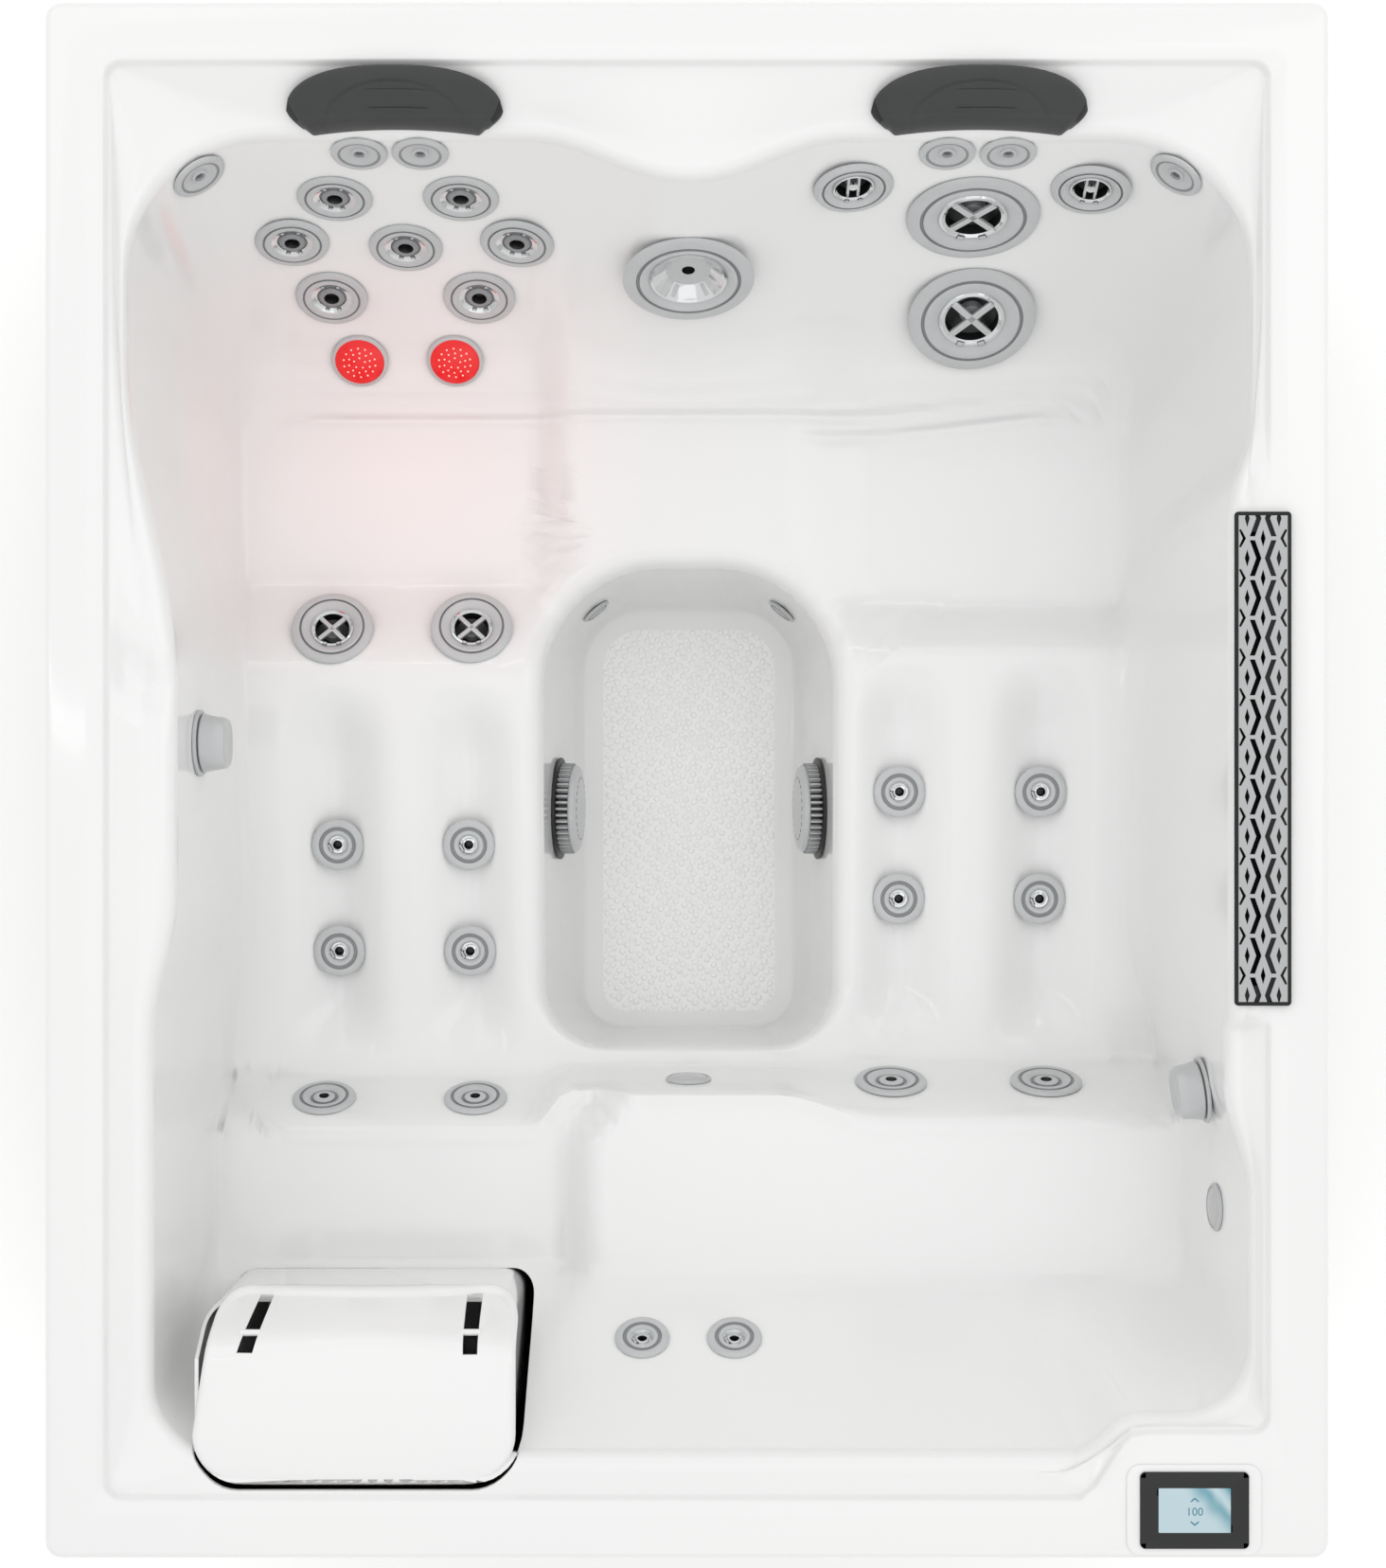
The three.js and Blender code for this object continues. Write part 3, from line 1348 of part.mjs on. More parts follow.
function filterBucket() {
  const outer = toSolid(alongX([
    [filterY0, filterBottom],
    [filterY1, filterBottom],
    [filterY1, filterLipZ],
    [filterCreaseY, filterTop],
    [filterY0, filterTop],
  ], filterX0, filterX1));
  const inner = toSolid(block(
    filterX0 + filterWall, filterX1 - filterWall, filterY0 + filterWall, filterY1 - filterWall,
    filterBottom + filterWall, filterTop + overrun,
  ));
  const mouth = toSolid(block(
    filterX - weirOpeningHalfWidth, filterX + weirOpeningHalfWidth, filterY1 - filterWall - overrun,
    filterY1 + overrun, weirOpeningZ, filterTop,
  ));
  const drain = rod(
    drainHoleRadius, filterBottom - overrun, filterBottom + filterWall + overrun, roundSides,
  ).translate(filterX, cartridgeY, 0);
  let body = outer.subtract(inner).subtract(mouth).subtract(toSolid(drain));
  for (const side of [-1, 1]) {
    const inside = filterX + side * weirOpeningHalfWidth;
    const outside = inside + side * lugThickness;
    const lug = block(
      Math.min(inside, outside), Math.max(inside, outside),
      filterY1 - filterWall - lugReach, filterY1 - filterWall / 2,
      weirHingeZ - lugReach / 2, weirHingeZ + lugReach / 2,
    );
    body = body.add(toSolid(lug));
  }
  const pinHoleEnd = weirOpeningHalfWidth + lugThickness + overrun;
  const pinHole = rod(weirPinRadius + weirPinClearance, -pinHoleEnd, pinHoleEnd, roundSides);
  body = body.subtract(toSolid(placed(pinHole, at(filterX, weirHingeY, weirHingeZ), at(1, 0, 0))));
  addPart('filter_bucket', toGeometry(body), white, 0.3);
  shellHoles.push(toSolid(block(
    filterX0 - gap, filterX1 + gap, filterY0 - gap, filterY1 + gap, filterBottom, lipHeight + overrun,
  )));
  shellHoles.push(lidBlock(lidGap, filterTop - lidGap, lipHeight + overrun));
}

function weir() {
  const halfSpan = weirOpeningHalfWidth - 2 * weirPinClearance;
  const flap = block(
    filterX - halfSpan, filterX + halfSpan, weirHingeY - weirThickness / 2, weirHingeY + weirThickness / 2,
    weirHingeZ, weirHingeZ + weirHeight,
  );
  const pinEnd = weirOpeningHalfWidth + lugThickness - weirPinClearance;
  const pin = rod(weirPinRadius, -pinEnd, pinEnd, roundSides);
  const turnedPin = placed(pin, at(filterX, weirHingeY, weirHingeZ), at(1, 0, 0));
  addPart('skimmer_weir', toGeometry(joined([flap, turnedPin])), fittingGrey, 0.4);
}

function cartridge() {
  const floor = filterBottom + filterWall + gap;
  const pleats = new THREE.Shape();
  for (let i = 0; i < 2 * cartridgePleats; i += 1) {
    const turn = (Math.PI * i) / cartridgePleats;
    const radius = i % 2 === 0 ? cartridgeRadius : cartridgeRadius - cartridgePleatDepth;
    if (i === 0) pleats.moveTo(radius, 0);
    else pleats.lineTo(radius * Math.cos(turn), radius * Math.sin(turn));
  }
  pleats.closePath();
  const middle = new THREE.ExtrudeGeometry(pleats, { depth: cartridgeHeight, bevelEnabled: false });
  const lowCap = rod(cartridgeCapRadius, 0, cartridgeCapHeight, largeRoundSides);
  const highCap = rod(
    cartridgeCapRadius, cartridgeHeight - cartridgeCapHeight, cartridgeHeight, largeRoundSides,
  );
  const bore = rod(drainHoleRadius, -overrun, cartridgeHeight + overrun, roundSides);
  const solid = joined([middle, lowCap, highCap]).subtract(toSolid(bore));
  addPart('filter_cartridge', toGeometry(solid).translate(filterX, cartridgeY, floor), filterWhite, 0.9);
}

function lid() {
  const bottom = filterTop + gap;
  const outside = [
    [lidBackY, bottom],
    [lidBackY, lidTop - lidRound],
    [lidBackY + lidRound, lidTop],
    [lidCreaseY, lidTop],
    [lidCreaseY + lidRound, lidTop - lidRound],
    [lidFrontY, lidFrontZ + lidRound],
    [lidFrontY, lidFrontZ],
  ];
  const inside = [
    [lidFrontY - lidThickness, lidFrontZ],
    [lidFrontY - lidThickness, lidFrontZ + lidRound - lidThickness / 2],
    [lidCreaseY + lidRound - lidThickness, lidTop - lidRound - lidThickness / 2],
    [lidCreaseY - lidThickness / 2, lidTop - lidThickness],
    [lidBackY + lidThickness + lidRound / 2, lidTop - lidThickness],
    [lidBackY + lidThickness, lidTop - lidThickness - lidRound / 2],
    [lidBackY + lidThickness, bottom],
  ];
  const cheekInside = [
    [lidFrontY - lidCheekDepth, lidFrontZ],
    [lidCreaseY - lidCheekDepth, bottom],
  ];
  const solid = [toSolid(alongX([...outside, ...inside], lidX0, lidX1))];
  for (const x of [lidX0, lidX1 - lidThickness]) {
    solid.push(toSolid(alongX([...outside, ...cheekInside], x, x + lidThickness)));
  }
  let cover = solid.reduce((sum, piece) => sum.add(piece));
  for (const x of [lidX0 + lidSlotInset, lidX1 - lidSlotInset]) {
    cover = cover.subtract(toSolid(block(
      x - lidSlotWidth / 2, x + lidSlotWidth / 2, lidCreaseY + lidRound, lidFrontY + overrun,
      lidFrontZ + 2 * lidRound, lidTop - 2 * lidRound,
    )));
  }
  addPart('filter_lid', toGeometry(cover.intersect(lidBlock(0, filterBottom, lipHeight))), white, 0.2);
}

filterBucket();
weir();
cartridge();
lid();

// Cabinet: a tray that everything stands on, a frame under the lip, four panels and four corner posts

const panOuterX = halfWidth - panelInset + postProud;
const panOuterY = halfLength - panelInset + postProud;
const standZ = panHeight + gap;
const floorZ = panFloor + gap;

function tray() {
  const outer = toSolid(block(-panOuterX, panOuterX, -panOuterY, panOuterY, 0, panHeight));
  const inner = toSolid(block(
    -panOuterX + panRimWidth, panOuterX - panRimWidth, -panOuterY + panRimWidth, panOuterY - panRimWidth,
    panFloor, panHeight + overrun,
  ));
  addPart('base_tray', toGeometry(outer.subtract(inner)), black, 0.7);
}

// Posts stand on the tray's rim and carry a rail under the lip. Two bearers carry the footwell
function frame() {
  const railTop = lipHeight - skinThickness - gap;
  const x1 = halfWidth - railInset;
  const y1 = halfLength - railInset;
  const x0 = x1 - railWidth;
  const y0 = y1 - railWidth;
  const z0 = railTop - railHeight;
  const pieces = [
    block(-x1, x1, y0, y1, z0, railTop),
    block(-x1, x1, -y1, -y0, z0, railTop),
    block(-x1, -x0, -y1, y1, z0, railTop),
    block(x0, x1, -y1, y1, z0, railTop),
  ];
  const post = (x, y) => pieces.push(block(
    x - railWidth / 2, x + railWidth / 2, y - railWidth / 2, y + railWidth / 2, standZ, z0 + overrun,
  ));
  const postX = (x0 + x1) / 2;
  const postY = (y0 + y1) / 2;
  for (const side of [-1, 1]) {
    post(0, side * postY);
    for (const y of [-postY, bearerFrontY, bearerBackY, postY]) post(side * postX, y);
  }
  for (const y of [bearerBackY, bearerFrontY]) {
    pieces.push(block(
      -x1, x1, y - bearerWidth / 2, y + bearerWidth / 2, standZ, wellFloorHeight - skinThickness - gap,
    ));
  }
  addPart('frame', toGeometry(joined(pieces)), timber, 0.8);
}

function cabinet() {
  const x1 = halfWidth - panelInset;
  const y1 = halfLength - panelInset;
  const x0 = x1 - panelThickness;
  const y0 = y1 - panelThickness;
  const endX = panOuterX - postLeg - gap;
  const endY = panOuterY - postLeg - gap;
  addPart('right_panel', cleaned(block(x0, x1, -endY, endY, standZ, panelTop)), cabinetGrey, 0.7);
  addPart('left_panel', cleaned(block(-x1, -x0, -endY, endY, standZ, panelTop)), cabinetGrey, 0.7);
  addPart('back_panel', cleaned(block(-endX, endX, y0, y1, standZ, panelTop)), cabinetGrey, 0.7);
  const front = toSolid(block(-endX, endX, -y1, -y0, standZ, panelTop));
  const hole = placed(
    rod(drainStemRadius + holeClearance, -overrun, panelThickness + overrun, roundSides),
    at(drainX, -y1, drainZ), at(0, 1, 0),
  );
  addPart('front_panel', toGeometry(front.subtract(toSolid(hole))), cabinetGrey, 0.7);
  for (const [end, sy] of [['front', -1], ['back', 1]]) {
    for (const [side, sx] of [['left', -1], ['right', 1]]) {
      const outline = [
        [0, 0], [postLeg, 0], [postLeg, postThickness], [postThickness, postThickness],
        [postThickness, postLeg], [0, postLeg],
      ].map(([x, y]) => new THREE.Vector2(sx * (panOuterX - x), sy * (panOuterY - y)));
      const post = new THREE.ExtrudeGeometry(
        new THREE.Shape(outline),
        { depth: panelTop - standZ, bevelEnabled: false },
      );
      addPart(`${end}_${side}_post`, cleaned(post.translate(0, 0, standZ)), cabinetGrey, 0.6);
    }
  }
}

// Drain valve low in the front panel: its cap turns to open it
const drainX = 540 - halfWidth;
const drainZ = 96;
const drainStemRadius = 13;
const drainStemLength = 60;
const drainCapRadius = 21;
const drainCapHeight = 15;

function drainValve() {
  const face = -(halfLength - panelInset) - knobSeatGap;
  const cap = turned([
    [0, -drainStemLength],
    [drainStemRadius, -drainStemLength],
    [drainStemRadius, 0],
    [drainCapRadius, 0],
    [drainCapRadius, drainCapHeight],
    [0, drainCapHeight],
  ], largeRoundSides);
  addPart('drain_valve', cleaned(placed(cap, at(drainX, face, drainZ), at(0, -1, 0))), black, 0.5);
}

// Pump: motor, wet end and the rotor that runs through both, with its axis along X
const pumpX = 110;
const pumpY = 378 - halfLength;
const pumpZ = 150;
const motorRadius = 78;
const motorLength = 300;
const motorFootWidth = 110;
const motorFootInset = 40;
const shaftRadius = 9;
const shaftClearance = 0.75;
const fanRadius = 58;
const fanThickness = 12;
const fanRecess = 30;
const fanClearance = 6;
const wetEndRadius = 98;
const wetEndLength = 84;
const wetEndWall = 10;
const impellerRadius = 62;
const impellerThickness = 24;
const impellerClearance = 8;
const portRadius = 27;
const portBore = 21;
const portLength = 40;
const alongPump = at(1, 0, 0);

function pump() {
  const motorX = pumpX + gap;
  const body = toSolid(placed(
    rod(motorRadius, 0, motorLength, largeRoundSides), at(motorX, pumpY, pumpZ), alongPump,
  ));
  const foot = toSolid(block(
    motorX + motorFootInset, motorX + motorLength - motorFootInset,
    pumpY - motorFootWidth / 2, pumpY + motorFootWidth / 2, floorZ, pumpZ,
  ));
  const bore = toSolid(placed(
    rod(shaftRadius + shaftClearance, -overrun, motorLength + overrun, largeRoundSides),
    at(motorX, pumpY, pumpZ), alongPump,
  ));
  const recess = toSolid(placed(
    rod(fanRadius + fanClearance, motorLength - fanRecess, motorLength + overrun, largeRoundSides),
    at(motorX, pumpY, pumpZ), alongPump,
  ));
  addPart('pump_motor', toGeometry(body.add(foot).subtract(bore).subtract(recess)), motorGrey, 0.5);

  const wetX = pumpX - wetEndLength;
  const place = at(wetX, pumpY, pumpZ);
  const round = (radius, from, to) => toSolid(placed(
    rod(radius, from, to, largeRoundSides), place, alongPump,
  ));
  const outlet = rod(portRadius, 0, wetEndRadius + portLength, largeRoundSides)
    .translate(wetX + wetEndLength / 2, pumpY, pumpZ);
  const outletBore = rod(portBore, 0, wetEndRadius + portLength + overrun, largeRoundSides)
    .translate(wetX + wetEndLength / 2, pumpY, pumpZ);
  const wetEndFoot = toSolid(block(
    wetX + wetEndWall, wetX + wetEndLength - wetEndWall,
    pumpY - motorFootWidth / 2, pumpY + motorFootWidth / 2,
    floorZ, pumpZ,
  ));
  const wetEnd = round(wetEndRadius, 0, wetEndLength)
    .add(round(portRadius, -portLength, wetEndWall))
    .add(toSolid(outlet))
    .add(wetEndFoot)
    .subtract(round(impellerRadius + impellerClearance, wetEndWall, wetEndLength - wetEndWall))
    .subtract(round(portBore, -portLength - overrun, wetEndLength / 2))
    .subtract(round(shaftRadius + shaftClearance, wetEndLength / 2, wetEndLength + overrun))
    .subtract(toSolid(outletBore).subtract(round(shaftRadius, 0, wetEndLength)));
  addPart('pump_wet_end', toGeometry(wetEnd), black, 0.5);

  const impellerX = (wetEndLength - impellerThickness) / 2;
  const fanX = wetEndLength + motorLength - fanRecess + fanClearance;
  const rotor = placed(turned([
    [0, impellerX],
    [impellerRadius, impellerX],
    [impellerRadius, impellerX + impellerThickness],
    [shaftRadius, impellerX + impellerThickness],
    [shaftRadius, fanX],
    [fanRadius, fanX],
    [fanRadius, fanX + fanThickness],
    [0, fanX + fanThickness],
  ], largeRoundSides), place, alongPump);
  addPart('pump_rotor', cleaned(rotor), steelGrey, 0.4, 0.8);
}

// Heater tube on two feet, the control box that feeds it, and the ozone generator on top of the box
const boxX1 = halfWidth - 105;
const boxX0 = boxX1 - 190;
const boxY0 = 92 - halfLength;
const boxY1 = boxY0 + 110;
const heaterX0 = 60;
const heaterX1 = boxX0 - 125;
const heaterY = 168 - halfLength;
const heaterZ = 100;
const heaterRadius = 34;
const heaterCollarRadius = 42;
const heaterCollarLength = 22;
const heaterFootWidth = 30;
const boxHeight = 262;
const ozoneWidth = 120;
const ozoneDepth = 62;
const ozoneHeight = 128;

function heater() {
  const lie = (radius, x0, x1) => placed(
    rod(radius, 0, x1 - x0, largeRoundSides), at(x0, heaterY, heaterZ), alongPump,
  );
  const pieces = [
    lie(heaterRadius, heaterX0, heaterX1),
    lie(heaterCollarRadius, heaterX0, heaterX0 + heaterCollarLength),
    lie(heaterCollarRadius, heaterX1 - heaterCollarLength, heaterX1),
  ];
  for (const x of [heaterX0 + 2 * heaterFootWidth, heaterX1 - 2 * heaterFootWidth]) {
    pieces.push(block(
      x - heaterFootWidth / 2, x + heaterFootWidth / 2, heaterY - heaterRadius, heaterY + heaterRadius,
      floorZ, heaterZ,
    ));
  }
  const bore = toSolid(lie(portBore, heaterX0 - overrun, heaterX1 + overrun));
  addPart('heater', toGeometry(joined(pieces).subtract(bore)), steelGrey, 0.3, 0.9);
}

function electrics() {
  const box = block(boxX0, boxX1, boxY0, boxY1, floorZ, floorZ + boxHeight);
  addPart('control_box', cleaned(box), boxGrey, 0.5);
  const x = (boxX0 + boxX1) / 2;
  const y = (boxY0 + boxY1) / 2;
  const z = floorZ + boxHeight + gap;
  addPart('ozone_generator', cleaned(block(
    x - ozoneWidth / 2, x + ozoneWidth / 2, y - ozoneDepth / 2, y + ozoneDepth / 2, z, z + ozoneHeight,
  )), boxGrey, 0.5);
}

// Pipes. The suction pipes run from the covers in the footwell to the pump, the pump feeds the heater, and
// the heater feeds the main that runs up the right side and along the back
const pipeRadius = 25;
const pipeSides = 8;
const pipeTension = 0.3;
const shortPipeSteps = 18;
const longPipeSteps = 22;
const mainPipeSteps = 40;
const suctionRunX = 310;
const suctionRunZ = 190;
const suctionCrossY = pumpY + 120;
const mainX = halfWidth - 102;
const mainY = halfLength - 102;
const mainZ = 300;
const mainEndX = 340 - halfWidth;
const mainBendRun = 60;

function pipes() {
  const inlet = at(pumpX - wetEndLength - portLength - gap, pumpY, pumpZ);
  const run = ({ centre, facing }, side) => [
    centre.clone().addScaledVector(facing, -suctionStubDepth - gap),
    centre.clone().addScaledVector(facing, -suctionStubDepth - pipeRadius),
    at(side * suctionRunX, centre.y - mainBendRun, suctionRunZ),
  ];
  const left = pipe([
    ...run(leftSuction, -1),
    at(-suctionRunX, suctionCrossY, suctionRunZ),
    at(-suctionRunX / 2, pumpY, pumpZ),
    inlet,
  ], pipeRadius, shortPipeSteps, pipeSides);
  const right = pipe([
    ...run(rightSuction, 1),
    at(suctionRunX, suctionCrossY + 2 * mainBendRun, suctionRunZ),
    at(suctionRunX / 2, suctionCrossY + mainBendRun, suctionRunZ),
    at(-suctionRunX / 2, suctionCrossY, suctionRunZ),
    at(-suctionRunX / 2, pumpY + pipeRadius / 2, pumpZ),
  ], pipeRadius, longPipeSteps, pipeSides);
  addPart('suction_pipes', toGeometry(joined([left, right])), pipeWhite, 0.5);

  const outletX = pumpX - wetEndLength / 2;
  const outletZ = pumpZ + wetEndRadius + portLength + gap;
  addPart('heater_feed_pipe', cleaned(pipe([
    at(outletX, pumpY, outletZ),
    at(outletX, pumpY, outletZ + mainBendRun / 2),
    at(outletX - mainBendRun, pumpY - mainBendRun, outletZ + mainBendRun),
    at(outletX - 2 * mainBendRun, heaterY, outletZ),
    at(outletX - 2 * mainBendRun, heaterY, heaterZ + mainBendRun),
    at(heaterX0 - mainBendRun, heaterY, heaterZ),
    at(heaterX0 - gap, heaterY, heaterZ),
  ], pipeRadius, longPipeSteps, pipeSides)), pipeWhite, 0.5);

  addPart('pressure_main', cleaned(pipe([
    at(heaterX1 + gap, heaterY, heaterZ),
    at(heaterX1 + mainBendRun, heaterY, heaterZ),
    at(heaterX1 + 2 * mainBendRun, boxY1 + mainBendRun, heaterZ + mainBendRun),
    at(mainX - mainBendRun, boxY1 + 2 * mainBendRun, mainZ - mainBendRun),
    at(mainX, boxY1 + 4 * mainBendRun, mainZ),
    at(mainX, 0, mainZ),
    at(mainX, mainY - 2 * mainBendRun, mainZ),
    at(mainX - 2 * mainBendRun, mainY, mainZ + mainBendRun),
    at(0, mainY, mainZ + mainBendRun),
    at(mainEndX, mainY, mainZ + mainBendRun),
  ], pipeRadius, mainPipeSteps, pipeSides)), pipeWhite, 0.5);
}

tray();
frame();
cabinet();
drainValve();
pump();
heater();
electrics();
pipes();

// Shell, with all its holes cut
let shell = toSolid(plainShell);
for (const hole of shellHoles) {
  shell = shell.subtract(hole);
}
addPart('shell', toGeometry(shell), white, 0.12);

export default hotTub;
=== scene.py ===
# A white acrylic hot tub with two lounges, seen from straight above. Lengths are in millimetres in the tables
# and formulas, and each piece is scaled to metres where its mesh is made.

import json
import math

import bmesh
import bpy
from mathutils import Matrix, Vector
from mathutils.bvhtree import BVHTree


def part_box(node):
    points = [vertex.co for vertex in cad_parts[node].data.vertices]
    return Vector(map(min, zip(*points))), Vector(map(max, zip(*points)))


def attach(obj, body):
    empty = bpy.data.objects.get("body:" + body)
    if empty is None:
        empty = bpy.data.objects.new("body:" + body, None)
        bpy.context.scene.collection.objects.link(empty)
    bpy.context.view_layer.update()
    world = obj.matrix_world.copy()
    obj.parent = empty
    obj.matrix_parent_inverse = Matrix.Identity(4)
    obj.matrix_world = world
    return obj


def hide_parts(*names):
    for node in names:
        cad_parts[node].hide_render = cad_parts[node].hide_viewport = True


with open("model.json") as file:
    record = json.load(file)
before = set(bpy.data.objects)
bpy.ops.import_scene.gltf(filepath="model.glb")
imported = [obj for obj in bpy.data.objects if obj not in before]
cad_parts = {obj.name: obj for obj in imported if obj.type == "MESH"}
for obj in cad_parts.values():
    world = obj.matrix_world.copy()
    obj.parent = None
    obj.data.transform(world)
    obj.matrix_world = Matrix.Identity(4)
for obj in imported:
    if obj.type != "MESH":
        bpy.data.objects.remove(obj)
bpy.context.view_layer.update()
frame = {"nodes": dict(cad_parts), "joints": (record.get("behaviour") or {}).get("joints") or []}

mm = 0.001


# The view: a camera straight above the tub, a little off its middle, far enough away that the walls of the
# basin show only a little.
camera_data = bpy.data.cameras.new("overhead")
camera_data.sensor_width = 36
camera_data.lens = 63.31
camera = bpy.data.objects.new("overhead", camera_data)
camera.location = (0.008, -0.005, 4.5)
bpy.context.collection.objects.link(camera)
scene = bpy.context.scene
scene.camera = camera
scene.view_settings.view_transform = "Standard"


def linear(hex_colour):
    """Turns an sRGB hex colour into the linear colour that a shader takes."""
    channels = [int(hex_colour[i:i + 2], 16) / 255 for i in (1, 3, 5)]
    curve = [c / 12.92 if c <= 0.04045 else ((c + 0.055) / 1.055) ** 2.4 for c in channels]
    return (*curve, 1.0)


def add_node(tree, kind, sockets=None, **settings):
    """Adds a node with its settings. A socket is given a value, or the output that is linked to it."""
    node = tree.nodes.new(kind)
    for name, value in settings.items():
        setattr(node, name, value)
    for key, value in (sockets or {}).items():
        if isinstance(value, bpy.types.NodeSocket):
            tree.links.new(value, node.inputs[key])
        else:
            node.inputs[key].default_value = value
    return node


# The studio: a pale floor that shows white to the camera but keeps the tub's shadow, a white surround,
# softboxes overhead and at the sides, and two narrow strips that draw lines on the gloss of the acrylic.
floor_glow = 0.3
floor_half = 9.0


def new_material(name, values):
    """A material whose shader takes these values, with its node tree and that shader."""
    material = bpy.data.materials.new(name)
    material.use_nodes = True
    tree = material.node_tree
    shader = tree.nodes["Principled BSDF"]
    for key, value in values.items():
        shader.inputs[key].default_value = value
    return material, tree, shader


def studio_floor_paint():
    """Matt white paint that glows a little where the camera, a mirror or a clear lens looks at it."""
    material, tree, shader = new_material("studio_floor_paint", {
        "Base Color": linear("#f2f2f1"), "Roughness": 0.9, "Emission Color": (1, 1, 1, 1)})
    path = add_node(tree, "ShaderNodeLightPath").outputs
    seen = add_node(tree, "ShaderNodeMath", {0: path["Is Camera Ray"], 1: path["Is Glossy Ray"]}, operation="ADD")
    seen_all = add_node(tree, "ShaderNodeMath", {0: seen.outputs[0], 1: path["Is Transmission Ray"]},
                        operation="ADD")
    level = add_node(tree, "ShaderNodeMath", {0: seen_all.outputs[0], 1: floor_glow}, operation="MULTIPLY")
    tree.links.new(level.outputs[0], shader.inputs["Emission Strength"])
    return material


floor_form = bmesh.new()
bmesh.ops.create_grid(floor_form, x_segments=2, y_segments=2, size=floor_half)
floor_mesh = bpy.data.meshes.new("studio_floor")
floor_form.to_mesh(floor_mesh)
floor_form.free()
floor_mesh.materials.append(studio_floor_paint())
floor = bpy.data.objects.new("studio_floor", floor_mesh)
bpy.context.collection.objects.link(floor)

world = bpy.data.worlds.new("studio_surround")
scene.world = world
world.use_nodes = True
surround_tree = world.node_tree
surround_light = surround_tree.nodes["Background"]
surround_light.inputs["Color"].default_value = (1, 1, 1, 1)
path = add_node(surround_tree, "ShaderNodeLightPath")
surround_level = add_node(surround_tree, "ShaderNodeMapRange",
                          {"Value": path.outputs["Is Camera Ray"], "To Min": 0.88, "To Max": 1.0})
surround_tree.links.new(surround_level.outputs[0], surround_light.inputs["Strength"])


def softbox(name, place, aim, width, height, watts):
    light = bpy.data.lights.new(name, "AREA")
    light.shape = "RECTANGLE"
    light.size = width
    light.size_y = height
    light.energy = watts
    box = bpy.data.objects.new(name, light)
    box.location = place
    box.rotation_euler = (Vector(aim) - Vector(place)).to_track_quat("-Z", "Y").to_euler()
    box.visible_camera = False
    bpy.context.collection.objects.link(box)


softbox("overhead_softbox", (0, 0.1, 5.2), (0, 0, 0.5), 3.2, 3.6, 10)
softbox("key_softbox", (-2.6, 2.8, 4.4), (0, 0, 0.5), 3.2, 2.8, 13)
softbox("fill_softbox", (2.8, 1.2, 4.2), (0, 0, 0.5), 2.6, 3.0, 17)
softbox("front_softbox", (0.4, -3.6, 3.8), (0, 0, 0.5), 3.4, 1.8, 6)
softbox("back_strip", (0, 2.6, 3.0), (0, 0, 0.5), 2.6, 0.1, 3)
softbox("side_strip", (-2.4, 0.2, 3.2), (0, 0, 0.5), 0.1, 2.6, 2)


# The shell: one sheet of white acrylic, drawn down over a mould, from the skirt round the lip to the floor
# of the footwell. It is laid out as closed lines round the tub, one inside the other.
tub_width = 1680
tub_length = 2036
lip_height = 900
lip_band = 75
lip_round_radius = 12
skirt_drop = 45
outer_corner_radius = 22
step_drop = 12
step_run = 10
rim_corner_radius = 26
skin_thickness = 7

left_shelf = 27
right_shelf = 22
back_shelf = 92
front_shelf = 58
back_corner_radius = 180
front_corner_radius = 90
shoulder_radius = 25
side_edge_height = 872
back_edge_height = 848
left_arm_swell = 63
left_arm_start = 560
left_arm_full = 130
left_arm_back = -150
left_arm_end = -330
left_foot_swell = 33
right_arm_swell = 33
right_arm_start = 480
right_arm_full = 350
right_arm_back = -400
right_arm_end = -540
right_foot_pull = -2
back_scallop = 56
scallop_half_width = 215

panel_corner_x = 590
panel_corner_depth = 86
panel_corner_slant = 78
edge_corner_depth = 50
waterfall_y = 28
platform_half_length = 334
platform_fade_back = 130
platform_fade_front = 24

foot_left = 640
foot_left_out = 28
foot_right = 618
foot_right_out = 70
foot_back = 545
foot_front = 700
foot_radius = 110
side_wall_power = 3.2
back_wall_power = 2
front_wall_power = 1.25
wall_spacing = 1.6
wall_foot_spacing = 1.3
shelf_share = 0.55

left_pan_height = 380
left_knee_height = 468
left_heel_height = 405
left_pan_front = 312
left_knee_y = 150
right_pan_height = 388
right_knee_height = 452
right_heel_height = 415
right_pan_front = 268
right_knee_y = 185
middle_seat_height = 418
middle_seat_front = 300
middle_ridge_height = 440
middle_ridge_y = 100
middle_heel_height = 402
left_lane_edge = -200
right_lane_edge = 205
left_lane_fade = 30
right_lane_fade = 80
leg_channel_depth = 42
leg_channel_half_width = 84
leg_channel_fade = 110
left_legs_x = -421
left_leg_spacing = 194
right_legs_x = 418
right_leg_spacing = 209

left_heel_y = -428
left_toe_y = -505
middle_heel_y = -420
middle_toe_y = -447
right_heel_y = -412
right_toe_y = -484
ledge_height = 528
bench_height = 580
bench_edge_x = -156
bench_edge_fade = 26
bench_edge_flare = 50
bench_edge_tuck = 60
bench_edge_tuck_start = -690
bench_edge_tuck_end = -820
heel_line_inset = 64
heel_line_back = 470
heel_line_front = -423
heel_line_rise = 8
heel_rise_left = -400
heel_rise_right = 500
toe_line_inset = 30
toe_line_back = 520
inner_sway = 0.55
line_radius = 70

